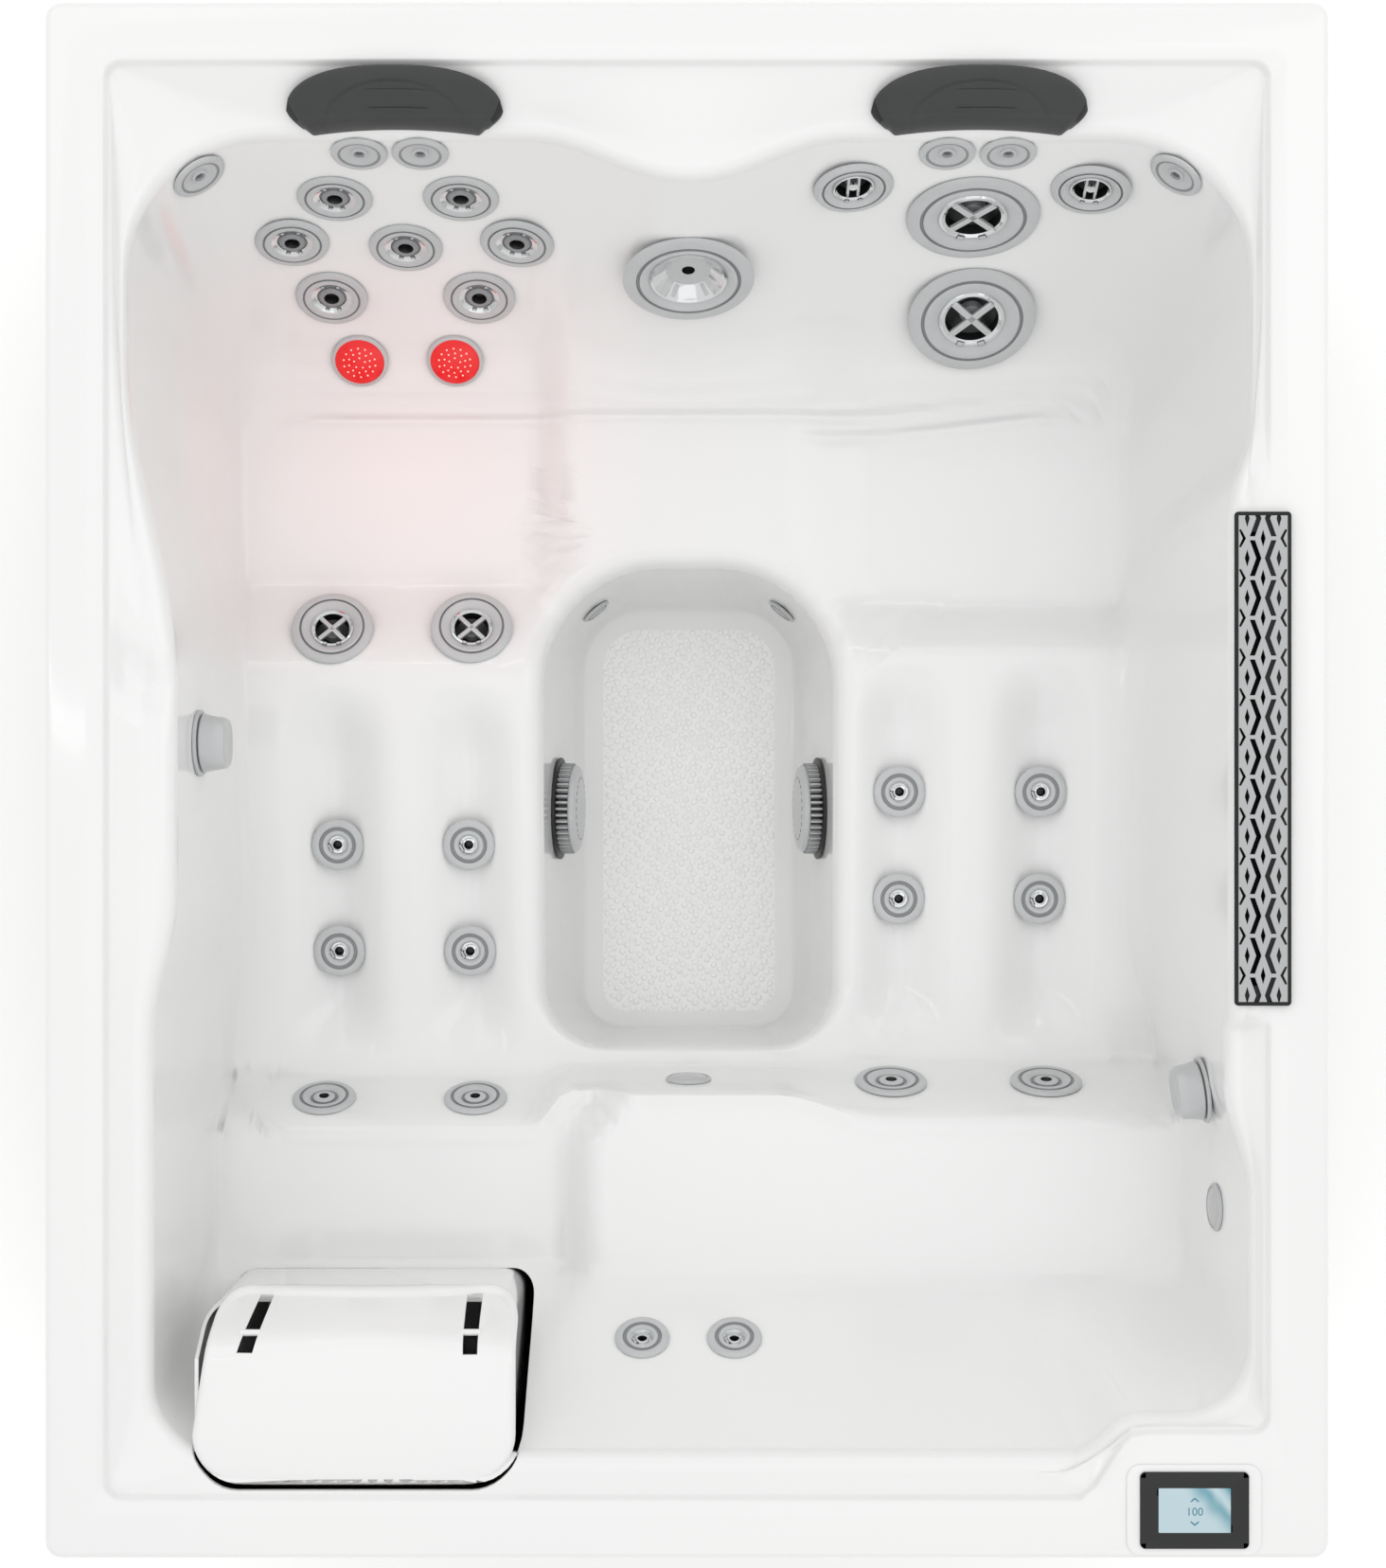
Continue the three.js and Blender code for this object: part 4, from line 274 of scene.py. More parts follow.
well_x = 1.5
well_half_width = 214
well_back = 316
well_front = 396
well_back_radius = 170
well_front_radius = 92
well_shoulder = 34
well_front_shoulder = 8
well_floor_height = 110
well_floor_half_width = 162
well_floor_back = 266
well_floor_front = 392
well_floor_back_radius = 85
well_floor_front_radius = 62
well_floor_border = 26
well_wall_power = 2.4

half_width = tub_width / 2
half_length = tub_length / 2
rim_x = half_width - lip_band
rim_y = half_length - lip_band


def mix(a, b, share):
    return a + (b - a) * share


def ramp(value, start, end):
    """Goes smoothly from 0 at the start to 1 at the end."""
    share = min(1.0, max(0.0, (value - start) / (end - start)))
    return share * share * (3 - 2 * share)


def hump(value, centre, half_span):
    away = min(1.0, abs(value - centre) / half_span)
    return (1 + math.cos(math.pi * away)) / 2


def across_lanes(x, left, middle, right):
    left_share = ramp(x, left_lane_edge + left_lane_fade, left_lane_edge - left_lane_fade)
    right_share = ramp(x, right_lane_edge - right_lane_fade, right_lane_edge + right_lane_fade)
    return middle + (left - middle) * left_share + (right - middle) * right_share


def heel_y(x):
    return across_lanes(x, left_heel_y, middle_heel_y, right_heel_y)


def toe_y(x):
    return across_lanes(x, left_toe_y, middle_toe_y, right_toe_y)


def left_swell(y):
    rise = left_arm_swell * ramp(y, left_arm_start, left_arm_full)
    return rise - (left_arm_swell - left_foot_swell) * ramp(y, left_arm_back, left_arm_end)


def right_swell(y):
    rise = right_arm_swell * ramp(y, right_arm_start, right_arm_full)
    return rise - (right_arm_swell + right_foot_pull) * ramp(y, right_arm_back, right_arm_end)


def left_foot_out(y):
    return -foot_left_out * ramp(y, left_arm_back, right_arm_back)


def right_foot_out(y):
    return -foot_right_out * ramp(y, left_arm_back, right_arm_back)


def still(_):
    return 0.0


class Line:
    """A closed line round the tub: a rectangle with round corners whose sides may sway."""

    def __init__(self, left, right, back, front, back_radius, front_radius, **sways):
        self.left, self.right, self.back, self.front = left, right, back, front
        self.radii = {"back": back_radius, "front": front_radius}
        self.left_sway = sways.get("left_sway", still)
        self.right_sway = sways.get("right_sway", still)
        self.back_sway = sways.get("back_sway", still)
        self.front_sway = sways.get("front_sway", still)

    def corner(self, end, sideways):
        radius = self.radii[end]
        plain_x = self.right - radius if sideways > 0 else self.left + radius
        if end == "back":
            y = self.back - self.back_sway(plain_x) - radius
        else:
            y = self.front + self.front_sway(plain_x) + radius
        x = plain_x - self.right_sway(y) if sideways > 0 else plain_x + self.left_sway(y)
        return x, y, radius

    def point(self, side, sideways, share):
        """The line's point at a station, and the direction that points out of the line there."""
        if side in ("back_corner", "front_corner"):
            end = side[:-len("_corner")]
            x, y, radius = self.corner(end, sideways)
            turn = share * math.pi / 2
            out = Vector((sideways * math.cos(turn), math.sin(turn) if end == "back" else -math.sin(turn)))
            return x + radius * out.x, y + radius * out.y, out
        if side in ("back", "front"):
            x = mix(self.corner(side, -1)[0], self.corner(side, 1)[0], share)
            if side == "back":
                return x, self.back - self.back_sway(x), Vector((0, 1))
            return x, self.front + self.front_sway(x), Vector((0, -1))
        y = mix(self.corner("front", sideways)[1], self.corner("back", sideways)[1], share)
        if side == "right":
            return self.right - self.right_sway(y), y, Vector((1, 0))
        return self.left + self.left_sway(y), y, Vector((-1, 0))


outer_line = Line(-half_width, half_width, half_length, -half_length, outer_corner_radius, outer_corner_radius)
rim_line = Line(
    -rim_x, rim_x, rim_y, -rim_y, rim_corner_radius, rim_corner_radius,
    front_sway=lambda x: panel_corner_depth * ramp(x, panel_corner_x - panel_corner_slant, panel_corner_x))
edge_line = Line(
    -rim_x + left_shelf, rim_x - right_shelf, rim_y - back_shelf, -rim_y + front_shelf,
    back_corner_radius, front_corner_radius, left_sway=left_swell, right_sway=right_swell,
    back_sway=lambda x: back_scallop * hump(x, well_x, scallop_half_width),
    front_sway=lambda x: edge_corner_depth * ramp(x, panel_corner_x - panel_corner_slant, panel_corner_x))
foot_line = Line(-foot_left, foot_right, foot_back, -foot_front, foot_radius, foot_radius,
                 left_sway=left_foot_out, right_sway=right_foot_out)
inner_sways = {"left_sway": lambda y: inner_sway * left_foot_out(y),
               "right_sway": lambda y: inner_sway * right_foot_out(y)}
toe_line = Line(-foot_left + toe_line_inset, foot_right - toe_line_inset, toe_line_back, 0,
                line_radius, line_radius, front_sway=toe_y, **inner_sways)
heel_line = Line(-foot_left + heel_line_inset, foot_right - heel_line_inset, heel_line_back, heel_line_front,
                 line_radius, line_radius, **inner_sways,
                 front_sway=lambda x: heel_line_rise * ramp(x, heel_rise_left, heel_rise_right))
well_edge_line = Line(well_x - well_half_width, well_x + well_half_width, well_back, -well_front,
                      well_back_radius, well_front_radius)
well_shoulder_line = Line(
    well_edge_line.left - well_shoulder, well_edge_line.right + well_shoulder, well_back + well_shoulder,
    -well_front - well_front_shoulder, well_back_radius + well_shoulder, well_front_radius + well_shoulder)
well_floor_line = Line(well_x - well_floor_half_width, well_x + well_floor_half_width, well_floor_back,
                       -well_floor_front, well_floor_back_radius, well_floor_front_radius)
well_inner_line = Line(
    well_floor_line.left + well_floor_border, well_floor_line.right - well_floor_border,
    well_floor_back - well_floor_border, -well_floor_front + well_floor_border,
    well_floor_back_radius - well_floor_border, well_floor_front_radius - well_floor_border)


def lounge_height(y, pan, knee, heel, pan_front, knee_y, heel_line_y):
    """Height of a lane along Y: the pan, the rise under the knees and the slope to the heels."""
    return pan + (knee - pan) * ramp(y, pan_front, knee_y) - (knee - heel) * ramp(y, knee_y, heel_line_y)


def leg_channel(x, y, centre_x, knee_y, heel_line_y):
    along = ramp(y, knee_y, knee_y - leg_channel_fade) * ramp(y, heel_line_y, heel_line_y + leg_channel_fade)
    return leg_channel_depth * hump(x, centre_x, leg_channel_half_width) * along


def seat_height(x, y):
    left = lounge_height(y, left_pan_height, left_knee_height, left_heel_height, left_pan_front,
                         left_knee_y, left_heel_y)
    right = lounge_height(y, right_pan_height, right_knee_height, right_heel_height, right_pan_front,
                          right_knee_y, right_heel_y)
    middle = lounge_height(y, middle_seat_height, middle_ridge_height, middle_heel_height, middle_seat_front,
                           middle_ridge_y, middle_heel_y)
    low = across_lanes(x, left, middle, right)
    for aside in (-0.5, 0.5):
        low -= leg_channel(x, y, left_legs_x + aside * left_leg_spacing, left_knee_y, left_heel_y)
        low -= leg_channel(x, y, right_legs_x + aside * right_leg_spacing, right_knee_y, right_heel_y)
    edge_x = bench_edge_x + bench_edge_flare * ramp(y, middle_toe_y - line_radius, middle_toe_y)
    edge_x -= bench_edge_tuck * ramp(y, bench_edge_tuck_start, bench_edge_tuck_end)
    high = mix(ledge_height, bench_height, ramp(x, edge_x - bench_edge_fade, edge_x + bench_edge_fade))
    return mix(low, high, ramp(y, heel_y(x), toe_y(x)))


# Moulded detail of the shell: two low beads across the foot of each backrest, one bead along the toe lines,
# and the scoop on the left shelf that lets splashed water run back.
back_ledge_height = 6
back_ledge_half = 15
back_bead_half = 12
middle_ledge_y = 554
left_ledge_y = 552
right_ledge_inner_y = 524
right_ledge_outer_y = 560
ledge_ends = (-612, -186, -166, 170, 196, 640)
ledge_end_fade = 26
toe_bead_height = 3
toe_bead_half = 9
scoop_start = Vector((-768, 190))
scoop_end = Vector((-682, 92))
scoop_half_width = 46
scoop_depth = 15


def double_bead(y, centre):
    return hump(y, centre - back_ledge_half, back_bead_half) + hump(y, centre + back_ledge_half, back_bead_half)


def moulded_detail(x, y):
    left_end, left_inner, middle_start, middle_end, right_inner, right_end = ledge_ends
    left_share = ramp(x, left_end, left_end + ledge_end_fade) * ramp(x, left_inner, left_inner - ledge_end_fade)
    middle_share = (ramp(x, middle_start - ledge_end_fade, middle_start)
                    * ramp(x, middle_end + ledge_end_fade, middle_end))
    right_share = ramp(x, right_inner - ledge_end_fade, right_inner) * ramp(x, right_end, right_end - ledge_end_fade)
    right_y = mix(right_ledge_inner_y, right_ledge_outer_y, ramp(x, right_inner, right_end))
    rise = back_ledge_height * (
        left_share * double_bead(y, left_ledge_y) + middle_share * double_bead(y, middle_ledge_y)
        + right_share * double_bead(y, right_y))
    rise += toe_bead_height * hump(y, toe_y(x), toe_bead_half) * ramp(abs(x), foot_left, foot_left - line_radius)
    run = scoop_end - scoop_start
    along = (Vector((x, y)) - scoop_start).dot(run) / run.length_squared
    if 0 < along < 1:
        aside = abs((Vector((x, y)) - scoop_start).cross(run)) / run.length
        rise -= scoop_depth * hump(aside, 0, scoop_half_width) * math.sin(math.pi * along) ** 0.7
    return rise


def edge_height(out):
    return mix(side_edge_height, back_edge_height, out.y ** 2) if out.y > 0 else side_edge_height


def wall_power(out):
    return mix(side_wall_power, back_wall_power if out.y > 0 else front_wall_power, out.y ** 2)


def step_at(y, out):
    if out.x < 1:
        return step_drop
    fade = platform_fade_back if y > waterfall_y else platform_fade_front
    return step_drop * ramp(abs(y - waterfall_y), platform_half_length, platform_half_length + fade)


def skirt(station, share):
    x, y, _ = outer_line.point(*station)
    return x, y, lip_height - mix(skirt_drop, lip_round_radius, share)


def lip_round(station, share):
    x, y, out = outer_line.point(*station)
    inward = lip_round_radius * (1 - math.cos(share * math.pi / 2))
    return x - out.x * inward, y - out.y * inward, lip_height - lip_round_radius * (1 - math.sin(share * math.pi / 2))


def lip(station, share):
    x, y, out = outer_line.point(*station)
    end_x, end_y, _ = rim_line.point(*station)
    return (mix(x - out.x * lip_round_radius, end_x, share), mix(y - out.y * lip_round_radius, end_y, share),
            lip_height)


def step(station, share):
    x, y, out = rim_line.point(*station)
    inward = step_run * share
    return x - out.x * inward, y - out.y * inward, lip_height - step_at(y, out) * ramp(share, 0, 1)


def shelf(station, share):
    rim_px, rim_py, rim_out = rim_line.point(*station)
    x, y, out = edge_line.point(*station)
    start_x = rim_px - rim_out.x * step_run
    start_y = rim_py - rim_out.y * step_run
    crowded = max(0.0, abs(out.x) - 0.5) * 2
    end_x = mix(x + out.x * shoulder_radius, mix(start_x, x, shelf_share), crowded)
    here_y = mix(start_y, y + out.y * shoulder_radius, share)
    lowered = mix(lip_height - step_drop, edge_height(out), share)
    return mix(start_x, end_x, share), here_y, mix(lip_height, lowered, step_at(here_y, rim_out) / step_drop)


def shoulder(station, share):
    start = shelf(station, 1)
    x, y, _ = edge_line.point(*station)
    turn = share * math.pi / 2
    return (mix(start[0], x, math.sin(turn)), mix(start[1], y, math.sin(turn)),
            start[2] - shoulder_radius * (1 - math.cos(turn)))


def wall(station, share):
    start = shoulder(station, 1)
    foot_x, foot_y, out = foot_line.point(*station)
    inward = 1 - (1 - share ** wall_spacing) ** wall_foot_spacing
    drop = 1 - (1 - inward) ** wall_power(out)
    x, y = mix(start[0], foot_x, inward), mix(start[1], foot_y, inward)
    return x, y, mix(start[2], seat_height(x, y), drop)


def seat_between(outer, inner, station, share):
    outer_x, outer_y, _ = outer.point(*station)
    inner_x, inner_y, _ = inner.point(*station)
    x, y = mix(outer_x, inner_x, share), mix(outer_y, inner_y, share)
    return x, y, seat_height(x, y)


def outer_seat(station, share):
    return seat_between(foot_line, toe_line, station, share)


def foot_wall(station, share):
    return seat_between(toe_line, heel_line, station, share)


def inner_seat(station, share):
    return seat_between(heel_line, well_shoulder_line, station, share)


def well_rounding(station, share):
    start_x, start_y, _ = well_shoulder_line.point(*station)
    x, y, _ = well_edge_line.point(*station)
    turn = share * math.pi / 2
    return (mix(start_x, x, math.sin(turn)), mix(start_y, y, math.sin(turn)),
            seat_height(start_x, start_y) - well_shoulder * (1 - math.cos(turn)))


def well_wall(station, share):
    start = well_rounding(station, 1)
    x, y, _ = well_floor_line.point(*station)
    inward = share ** wall_spacing
    drop = 1 - (1 - inward) ** well_wall_power
    return mix(start[0], x, inward), mix(start[1], y, inward), mix(start[2], well_floor_height, drop)


def well_border(station, share):
    outer_x, outer_y, _ = well_floor_line.point(*station)
    inner_x, inner_y, _ = well_inner_line.point(*station)
    return mix(outer_x, inner_x, share), mix(outer_y, inner_y, share), well_floor_height


well_middle = (well_x, (well_back - well_front) / 2)
floor_tread_rise = 1.5
tread_rise_share = 0.06


def well_tread(station, share):
    x, y, _ = well_inner_line.point(*station)
    rise = floor_tread_rise * ramp(share, 0, tread_rise_share)
    return mix(x, well_middle[0], share), mix(y, well_middle[1], share), well_floor_height + rise


bands = [
    (skirt, 2), (lip_round, 5), (lip, 3), (step, 6), (shelf, 5), (shoulder, 7), (wall, 35), (outer_seat, 12),
    (foot_wall, 9), (inner_seat, 22), (well_rounding, 6), (well_wall, 14), (well_border, 2), (well_tread, 5),
]


def evenly(count):
    return [i / count for i in range(count + 1)]


def around_side(side, sideways, shares):
    return [(side, sideways, share) for share in shares]


corner_turns = evenly(9)[1:-1]
grille_end_shares = [0.2905, 0.2935, 0.2967, 0.6835, 0.6865, 0.6895]
panel_corner_shares = [0.862, 0.87, 0.878, 0.886, 0.893]
right_shares = sorted(evenly(82) + grille_end_shares)
front_shares = sorted(evenly(66) + panel_corner_shares)
stations = [
    *around_side("back", 0, evenly(60)),
    *around_side("back_corner", 1, corner_turns[::-1]),
    *around_side("right", 1, right_shares[::-1]),
    *around_side("front_corner", 1, corner_turns),
    *around_side("front", 0, front_shares[::-1]),
    *around_side("front_corner", -1, corner_turns[::-1]),
    *around_side("left", -1, evenly(76)),
    *around_side("back_corner", -1, corner_turns),
]
rows = []
for band, steps in bands:
    for i in range(0 if not rows else 1, steps + 1):
        rows.append((band, i / steps))
tread_row = len(rows) - bands[-1][1] - 1
flat_bands = (shelf, shoulder, wall, outer_seat, foot_wall, inner_seat)

shell_form = bmesh.new()
bmesh.ops.create_grid(shell_form, x_segments=len(stations), y_segments=len(rows) - 1, size=1)
for vert in shell_form.verts:
    column = round((vert.co.x + 1) / 2 * len(stations))
    row = round((vert.co.y + 1) / 2 * (len(rows) - 1))
    band, share = rows[row]
    x, y, z = band(stations[column % len(stations)], share)
    if band in flat_bands:
        z += moulded_detail(x, y)
    vert.co = Vector((x, y, z)) * mm
    vert.index = row
# The faces of the footwell floor take the lighter studded acrylic, painted light that brightens the bottom of the
# well.
for face in shell_form.faces:
    if min(vert.index for vert in face.verts) >= tread_row:
        face.material_index = 1
bmesh.ops.remove_doubles(shell_form, verts=shell_form.verts, dist=0.01 * mm)
bmesh.ops.recalc_face_normals(shell_form, faces=shell_form.faces)
if sum(face.normal.z for face in shell_form.faces) < 0:
    bmesh.ops.reverse_faces(shell_form, faces=shell_form.faces)
shell_form.normal_update()
shell_skin = BVHTree.FromBMesh(shell_form)


def object_place(tree):
    return add_node(tree, "ShaderNodeTexCoord").outputs["Object"]


def stretched_place(tree, scale):
    return add_node(tree, "ShaderNodeMapping", {"Vector": object_place(tree), "Scale": scale}).outputs[0]


def noise(tree, place, scale, detail, **more):
    sockets = {"Vector": place, "Scale": scale, "Detail": detail, **more}
    return add_node(tree, "ShaderNodeTexNoise", sockets).outputs["Fac"]


def ranged(tree, amount, low, high):
    return add_node(tree, "ShaderNodeMapRange", {"Value": amount, "To Min": low, "To Max": high}).outputs[0]


def two_tones(tree, shader, amount, first, second, socket="Base Color"):
    """Colours a socket of the shader between two tones, by an amount from 0 to 1."""
    tone = add_node(tree, "ShaderNodeValToRGB", {0: amount})
    tone.color_ramp.elements[0].color = linear(first)
    tone.color_ramp.elements[1].color = linear(second)
    tree.links.new(tone.outputs[0], shader.inputs[socket])
    return tone.color_ramp.elements


def bumpy(tree, shader, height, strength, distance):
    bump = add_node(tree, "ShaderNodeBump", {"Strength": strength, "Distance": distance, "Height": height})
    tree.links.new(bump.outputs[0], shader.inputs["Normal"])


def acrylic():
    """Vacuum-formed cast acrylic: a deep wet gloss with a faint orange peel from the hot sheet."""
    material, tree, shader = new_material("white_acrylic", {
        "Roughness": 0.11, "IOR": 1.49, "Coat Weight": 0.25, "Coat Roughness": 0.03})
    place = object_place(tree)
    two_tones(tree, shader, noise(tree, place, 1 / 0.4, 2.0), "#eeefee", "#f1f1f0")
    bumpy(tree, shader, noise(tree, place, 1 / 0.014, 2.0), 0.05, 0.0004)
    return material


def lightened_tread_acrylic():
    """The same sheet where the mould presses rows of small anti-slip studs, 13 mm apart, into the floor. Its white is
    lighter than the rest of the shell's: painted light on the floor of the footwell.
    """
    material, tree, shader = new_material("studded_acrylic_painted_light", {
        "Base Color": linear("#fafaf9"), "Roughness": 0.2, "IOR": 1.49})
    turned = add_node(tree, "ShaderNodeMapping", {"Vector": object_place(tree), "Rotation": (0, 0, 0.6)})
    studs = add_node(tree, "ShaderNodeTexVoronoi",
                     {"Vector": turned.outputs[0], "Scale": 1 / 0.013, "Randomness": 0.3},
                     voronoi_dimensions="2D")
    dome = add_node(tree, "ShaderNodeMapRange",
                    {"Value": studs.outputs["Distance"], "From Min": 0.2, "From Max": 0.45,
                     "To Min": 1.0, "To Max": 0.0}, interpolation_type="SMOOTHSTEP")
    bumpy(tree, shader, dome.outputs[0], 0.7, 0.0016)
    return material


white_acrylic = acrylic()
cutters = bmesh.new()


def frame_at(centre, facing):
    """The place and turn of a fitting: its Z looks out of the shell, and its X runs as level as it can."""
    across = Vector((1, 0, 0)) if abs(facing.x) < 0.8 else Vector((0, 1, 0))
    u = (across - facing * across.dot(facing)).normalized()
    v = facing.cross(u)
    return Matrix.Translation(centre) @ Matrix((u, v, facing)).transposed().to_4x4()


def ring_on_shell(centre, facing, radius, turns=24):
    pose = frame_at(centre, facing)
    found = []
    for i in range(turns):
        turn = 2 * math.pi * i / turns
        spot = pose @ Vector((radius * math.cos(turn), radius * math.sin(turn), radius))
        place, _, _, _ = shell_skin.ray_cast(spot, -facing, 3 * radius)
        found.append(place or spot - facing * radius)
    return found


def seat_on_shell(start, direction, radius):
    """Where a round face of a radius in millimetres rests on the shell, found along a line in millimetres."""
    reach = radius * mm
    centre, facing, _, _ = shell_skin.ray_cast(Vector(start) * mm, Vector(direction).normalized())
    for _ in range(2):
        ring = ring_on_shell(centre, facing, reach)
        total = Vector((0, 0, 0))
        for a, b in zip(ring, ring[1:] + ring[:1]):
            total += (a - centre).cross(b - centre)
        facing = total.normalized() if total.dot(facing) > 0 else -total.normalized()
    return lifted_seat(centre, facing, reach)


def lifted_seat(centre, facing, reach):
    """Moves a seat along its facing until the face lies on the skin's highest points under it."""
    lifts = [(place - centre).dot(facing)
             for share in (0.5, 0.8, 1) for place in ring_on_shell(centre, facing, reach * share)]
    lift = max(height for height in lifts if height < reach)
    return centre + facing * (lift + 0.2 * mm), facing


def joint_seat(node, radius):
    """The seat of a fitting that turns: the CAD joint's axis, slid along it to the skin."""
    joint = next(joint for joint in frame["joints"] if joint["child"] == node)
    return lifted_seat(Vector(joint["pos_m"]), Vector(joint["axis"]).normalized(), radius * mm)


def cut_round(seat, radius, depth=90):
    centre, facing = seat
    pose = frame_at(centre, facing) @ Matrix.Translation((0, 0, -depth * mm / 2 + radius * mm / 2))
    bmesh.ops.create_cone(cutters, cap_ends=True, segments=48, radius1=radius * mm, radius2=radius * mm,
                          depth=(depth + radius) * mm, matrix=pose)


def cut_block(low, high):
    size = [b - a for a, b in zip(low, high)]
    middle = Vector([(a + b) / 2 for a, b in zip(low, high)]) * mm
    scale = Matrix.Diagonal((size[0] * mm, size[1] * mm, size[2] * mm, 1))
    bmesh.ops.create_cube(cutters, size=1, matrix=Matrix.Translation(middle) @ scale)


def new_piece(name, form, materials, body="tub", nodes=(), sharp_degrees=35):
    """Makes a piece from a bmesh, smooth but for edges sharper than an angle, and ties it to the frame."""
    mesh = bpy.data.meshes.new(name)
    form.to_mesh(mesh)
    form.free()
    for material in materials:
        mesh.materials.append(material)
    mesh.shade_smooth()
    mesh.set_sharp_from_angle(angle=math.radians(sharp_degrees))
    piece = bpy.data.objects.new(name, mesh)
    bpy.context.collection.objects.link(piece)
    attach(piece, body)
    if nodes:
        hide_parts(*nodes)
    return piece


# The jets: moulded grey ABS rings that clamp the shell between them and the body behind it, with chromed
# nozzles. Each is turned about its own axis; the nozzle's spokes and bars are set in afterwards.
barrel_share = 0.6
small_barrel_depth = 62
large_barrel_depth = 84
rear_link_radius = 11
rear_link_inset = 14


def moulded_plastic(name, hex_colour, roughness):
    """Injection-moulded ABS: an even colour, a satin face and a fine spark-eroded grain."""
    material, tree, shader = new_material(name, {"IOR": 1.53})
    place = object_place(tree)
    cloud = noise(tree, place, 1 / 0.03, 3.0)
    tone = add_node(tree, "ShaderNodeHueSaturation",
                    {"Color": linear(hex_colour), "Value": ranged(tree, cloud, 0.94, 1.05)})
    tree.links.new(tone.outputs[0], shader.inputs["Base Color"])
    tree.links.new(ranged(tree, cloud, roughness * 0.85, roughness * 1.15), shader.inputs["Roughness"])
    bumpy(tree, shader, noise(tree, place, 1 / 0.0012, 2.0), 0.12, 0.0004)
    return material


def chromed_plastic():
    """ABS plated with bright chrome: a mirror with the faintest waviness and water marks."""
    material, tree, shader = new_material("chromed_abs", {"Base Color": linear("#dcdedf"), "Metallic": 1.0})
    marks = noise(tree, object_place(tree), 1 / 0.009, 3.0)
    tree.links.new(ranged(tree, marks, 0.05, 0.16), shader.inputs["Roughness"])
    return material


ring_grey = moulded_plastic("pale_grey_abs", "#c3c5c6", 0.3)
deep_grey = moulded_plastic("mid_grey_abs", "#8f9193", 0.34)
bore_black = moulded_plastic("black_abs", "#141516", 0.4)
chrome = chromed_plastic()
jet_materials = (ring_grey, deep_grey, chrome, bore_black)
pale, mid, bright, dark = range(4)
jet_turns = 48


def spun(form, material, profile):
    """Spins a profile of (radius, height) points in millimetres about +Z as one strip of a material."""
    old_faces = set(form.faces)
    verts = [form.verts.new((radius * mm, 0, height * mm)) for radius, height in profile]
    edges = [form.edges.new(pair) for pair in zip(verts, verts[1:])]
    bmesh.ops.spin(form, geom=verts + edges, cent=(0, 0, 0), axis=(0, 0, 1), angle=2 * math.pi,
                   steps=jet_turns, use_merge=True, use_duplicate=False)
    for face in set(form.faces) - old_faces:
        face.material_index = material


def bar(form, material, size, turn=0.0, lift=0.0, aside=(0, 0), tilt=0.0, soft=0.8):
    """A small bar of a size in millimetres, with soft edges, turned about +Z."""
    pose = (Matrix.Rotation(turn, 4, "Z") @ Matrix.Translation((aside[0] * mm, aside[1] * mm, lift * mm))
            @ Matrix.Rotation(tilt, 4, "Y"))
    scale = Matrix.Diagonal((size[0] * mm, size[1] * mm, size[2] * mm, 1))
    cube = bmesh.ops.create_cube(form, size=1, matrix=pose @ scale)
    edges = list({edge for vert in cube["verts"] for edge in vert.link_edges})
    made = bmesh.ops.bevel(form, geom=edges, offset=soft * mm, affect="EDGES", segments=2, profile=0.5, material=-1)
    for face in {face for vert in cube["verts"] if vert.is_valid for face in vert.link_faces} | set(made["faces"]):
        face.material_index = material


def closed(form):
    bmesh.ops.remove_doubles(form, verts=form.verts, dist=0.004 * mm)
    bmesh.ops.recalc_face_normals(form, faces=form.faces)


def barrel_and_flange(form, radius, depth):
    barrel = radius * barrel_share
    spun(form, mid, [(0, -depth), (barrel, -depth), (barrel, 0), (radius - 1, 0)])
    spun(form, pale, [(radius - 1, 0), (radius, 0.8), (radius, 2.4), (radius - 1.2, 4), (radius - 3.5, 5)])


def medium_jet(radius, depth):
    """A directional jet: a wide flat ring and a chromed bowl, in which a grey eyeball sits on two pairs of pins."""
    form = bmesh.new()
    barrel_and_flange(form, radius, depth)
    spun(form, pale, [(radius - 3.5, 5), (radius * 0.84, 5.6), (radius * 0.8, 5)])
    spun(form, mid, [(radius * 0.8, 5), (radius * 0.785, 3.2), (radius * 0.755, 3.2), (radius * 0.74, 5.4)])
    spun(form, pale, [(radius * 0.74, 5.4), (radius * 0.7, 5.8), (radius * 0.56, 3.4)])
    spun(form, bright, [(radius * 0.56, 3.4), (radius * 0.5, 1.2), (radius * 0.41, 0)])
    spun(form, mid, [(radius * 0.41, 0), (radius * 0.4, -2.4), (radius * 0.36, -2.4), (radius * 0.355, 0.6),
                     (radius * 0.33, 2.4), (radius * 0.28, 3.6), (radius * 0.21, 3)])
    spun(form, dark, [(radius * 0.21, 3), (radius * 0.17, -1), (radius * 0.14, -8), (0, -8)])
    for turn in (63, 117, 250, 290):
        bar(form, dark, (radius * 0.1, radius * 0.12, 2.4), math.radians(turn), 1, (radius * 0.47, 0))
    closed(form)
    return form


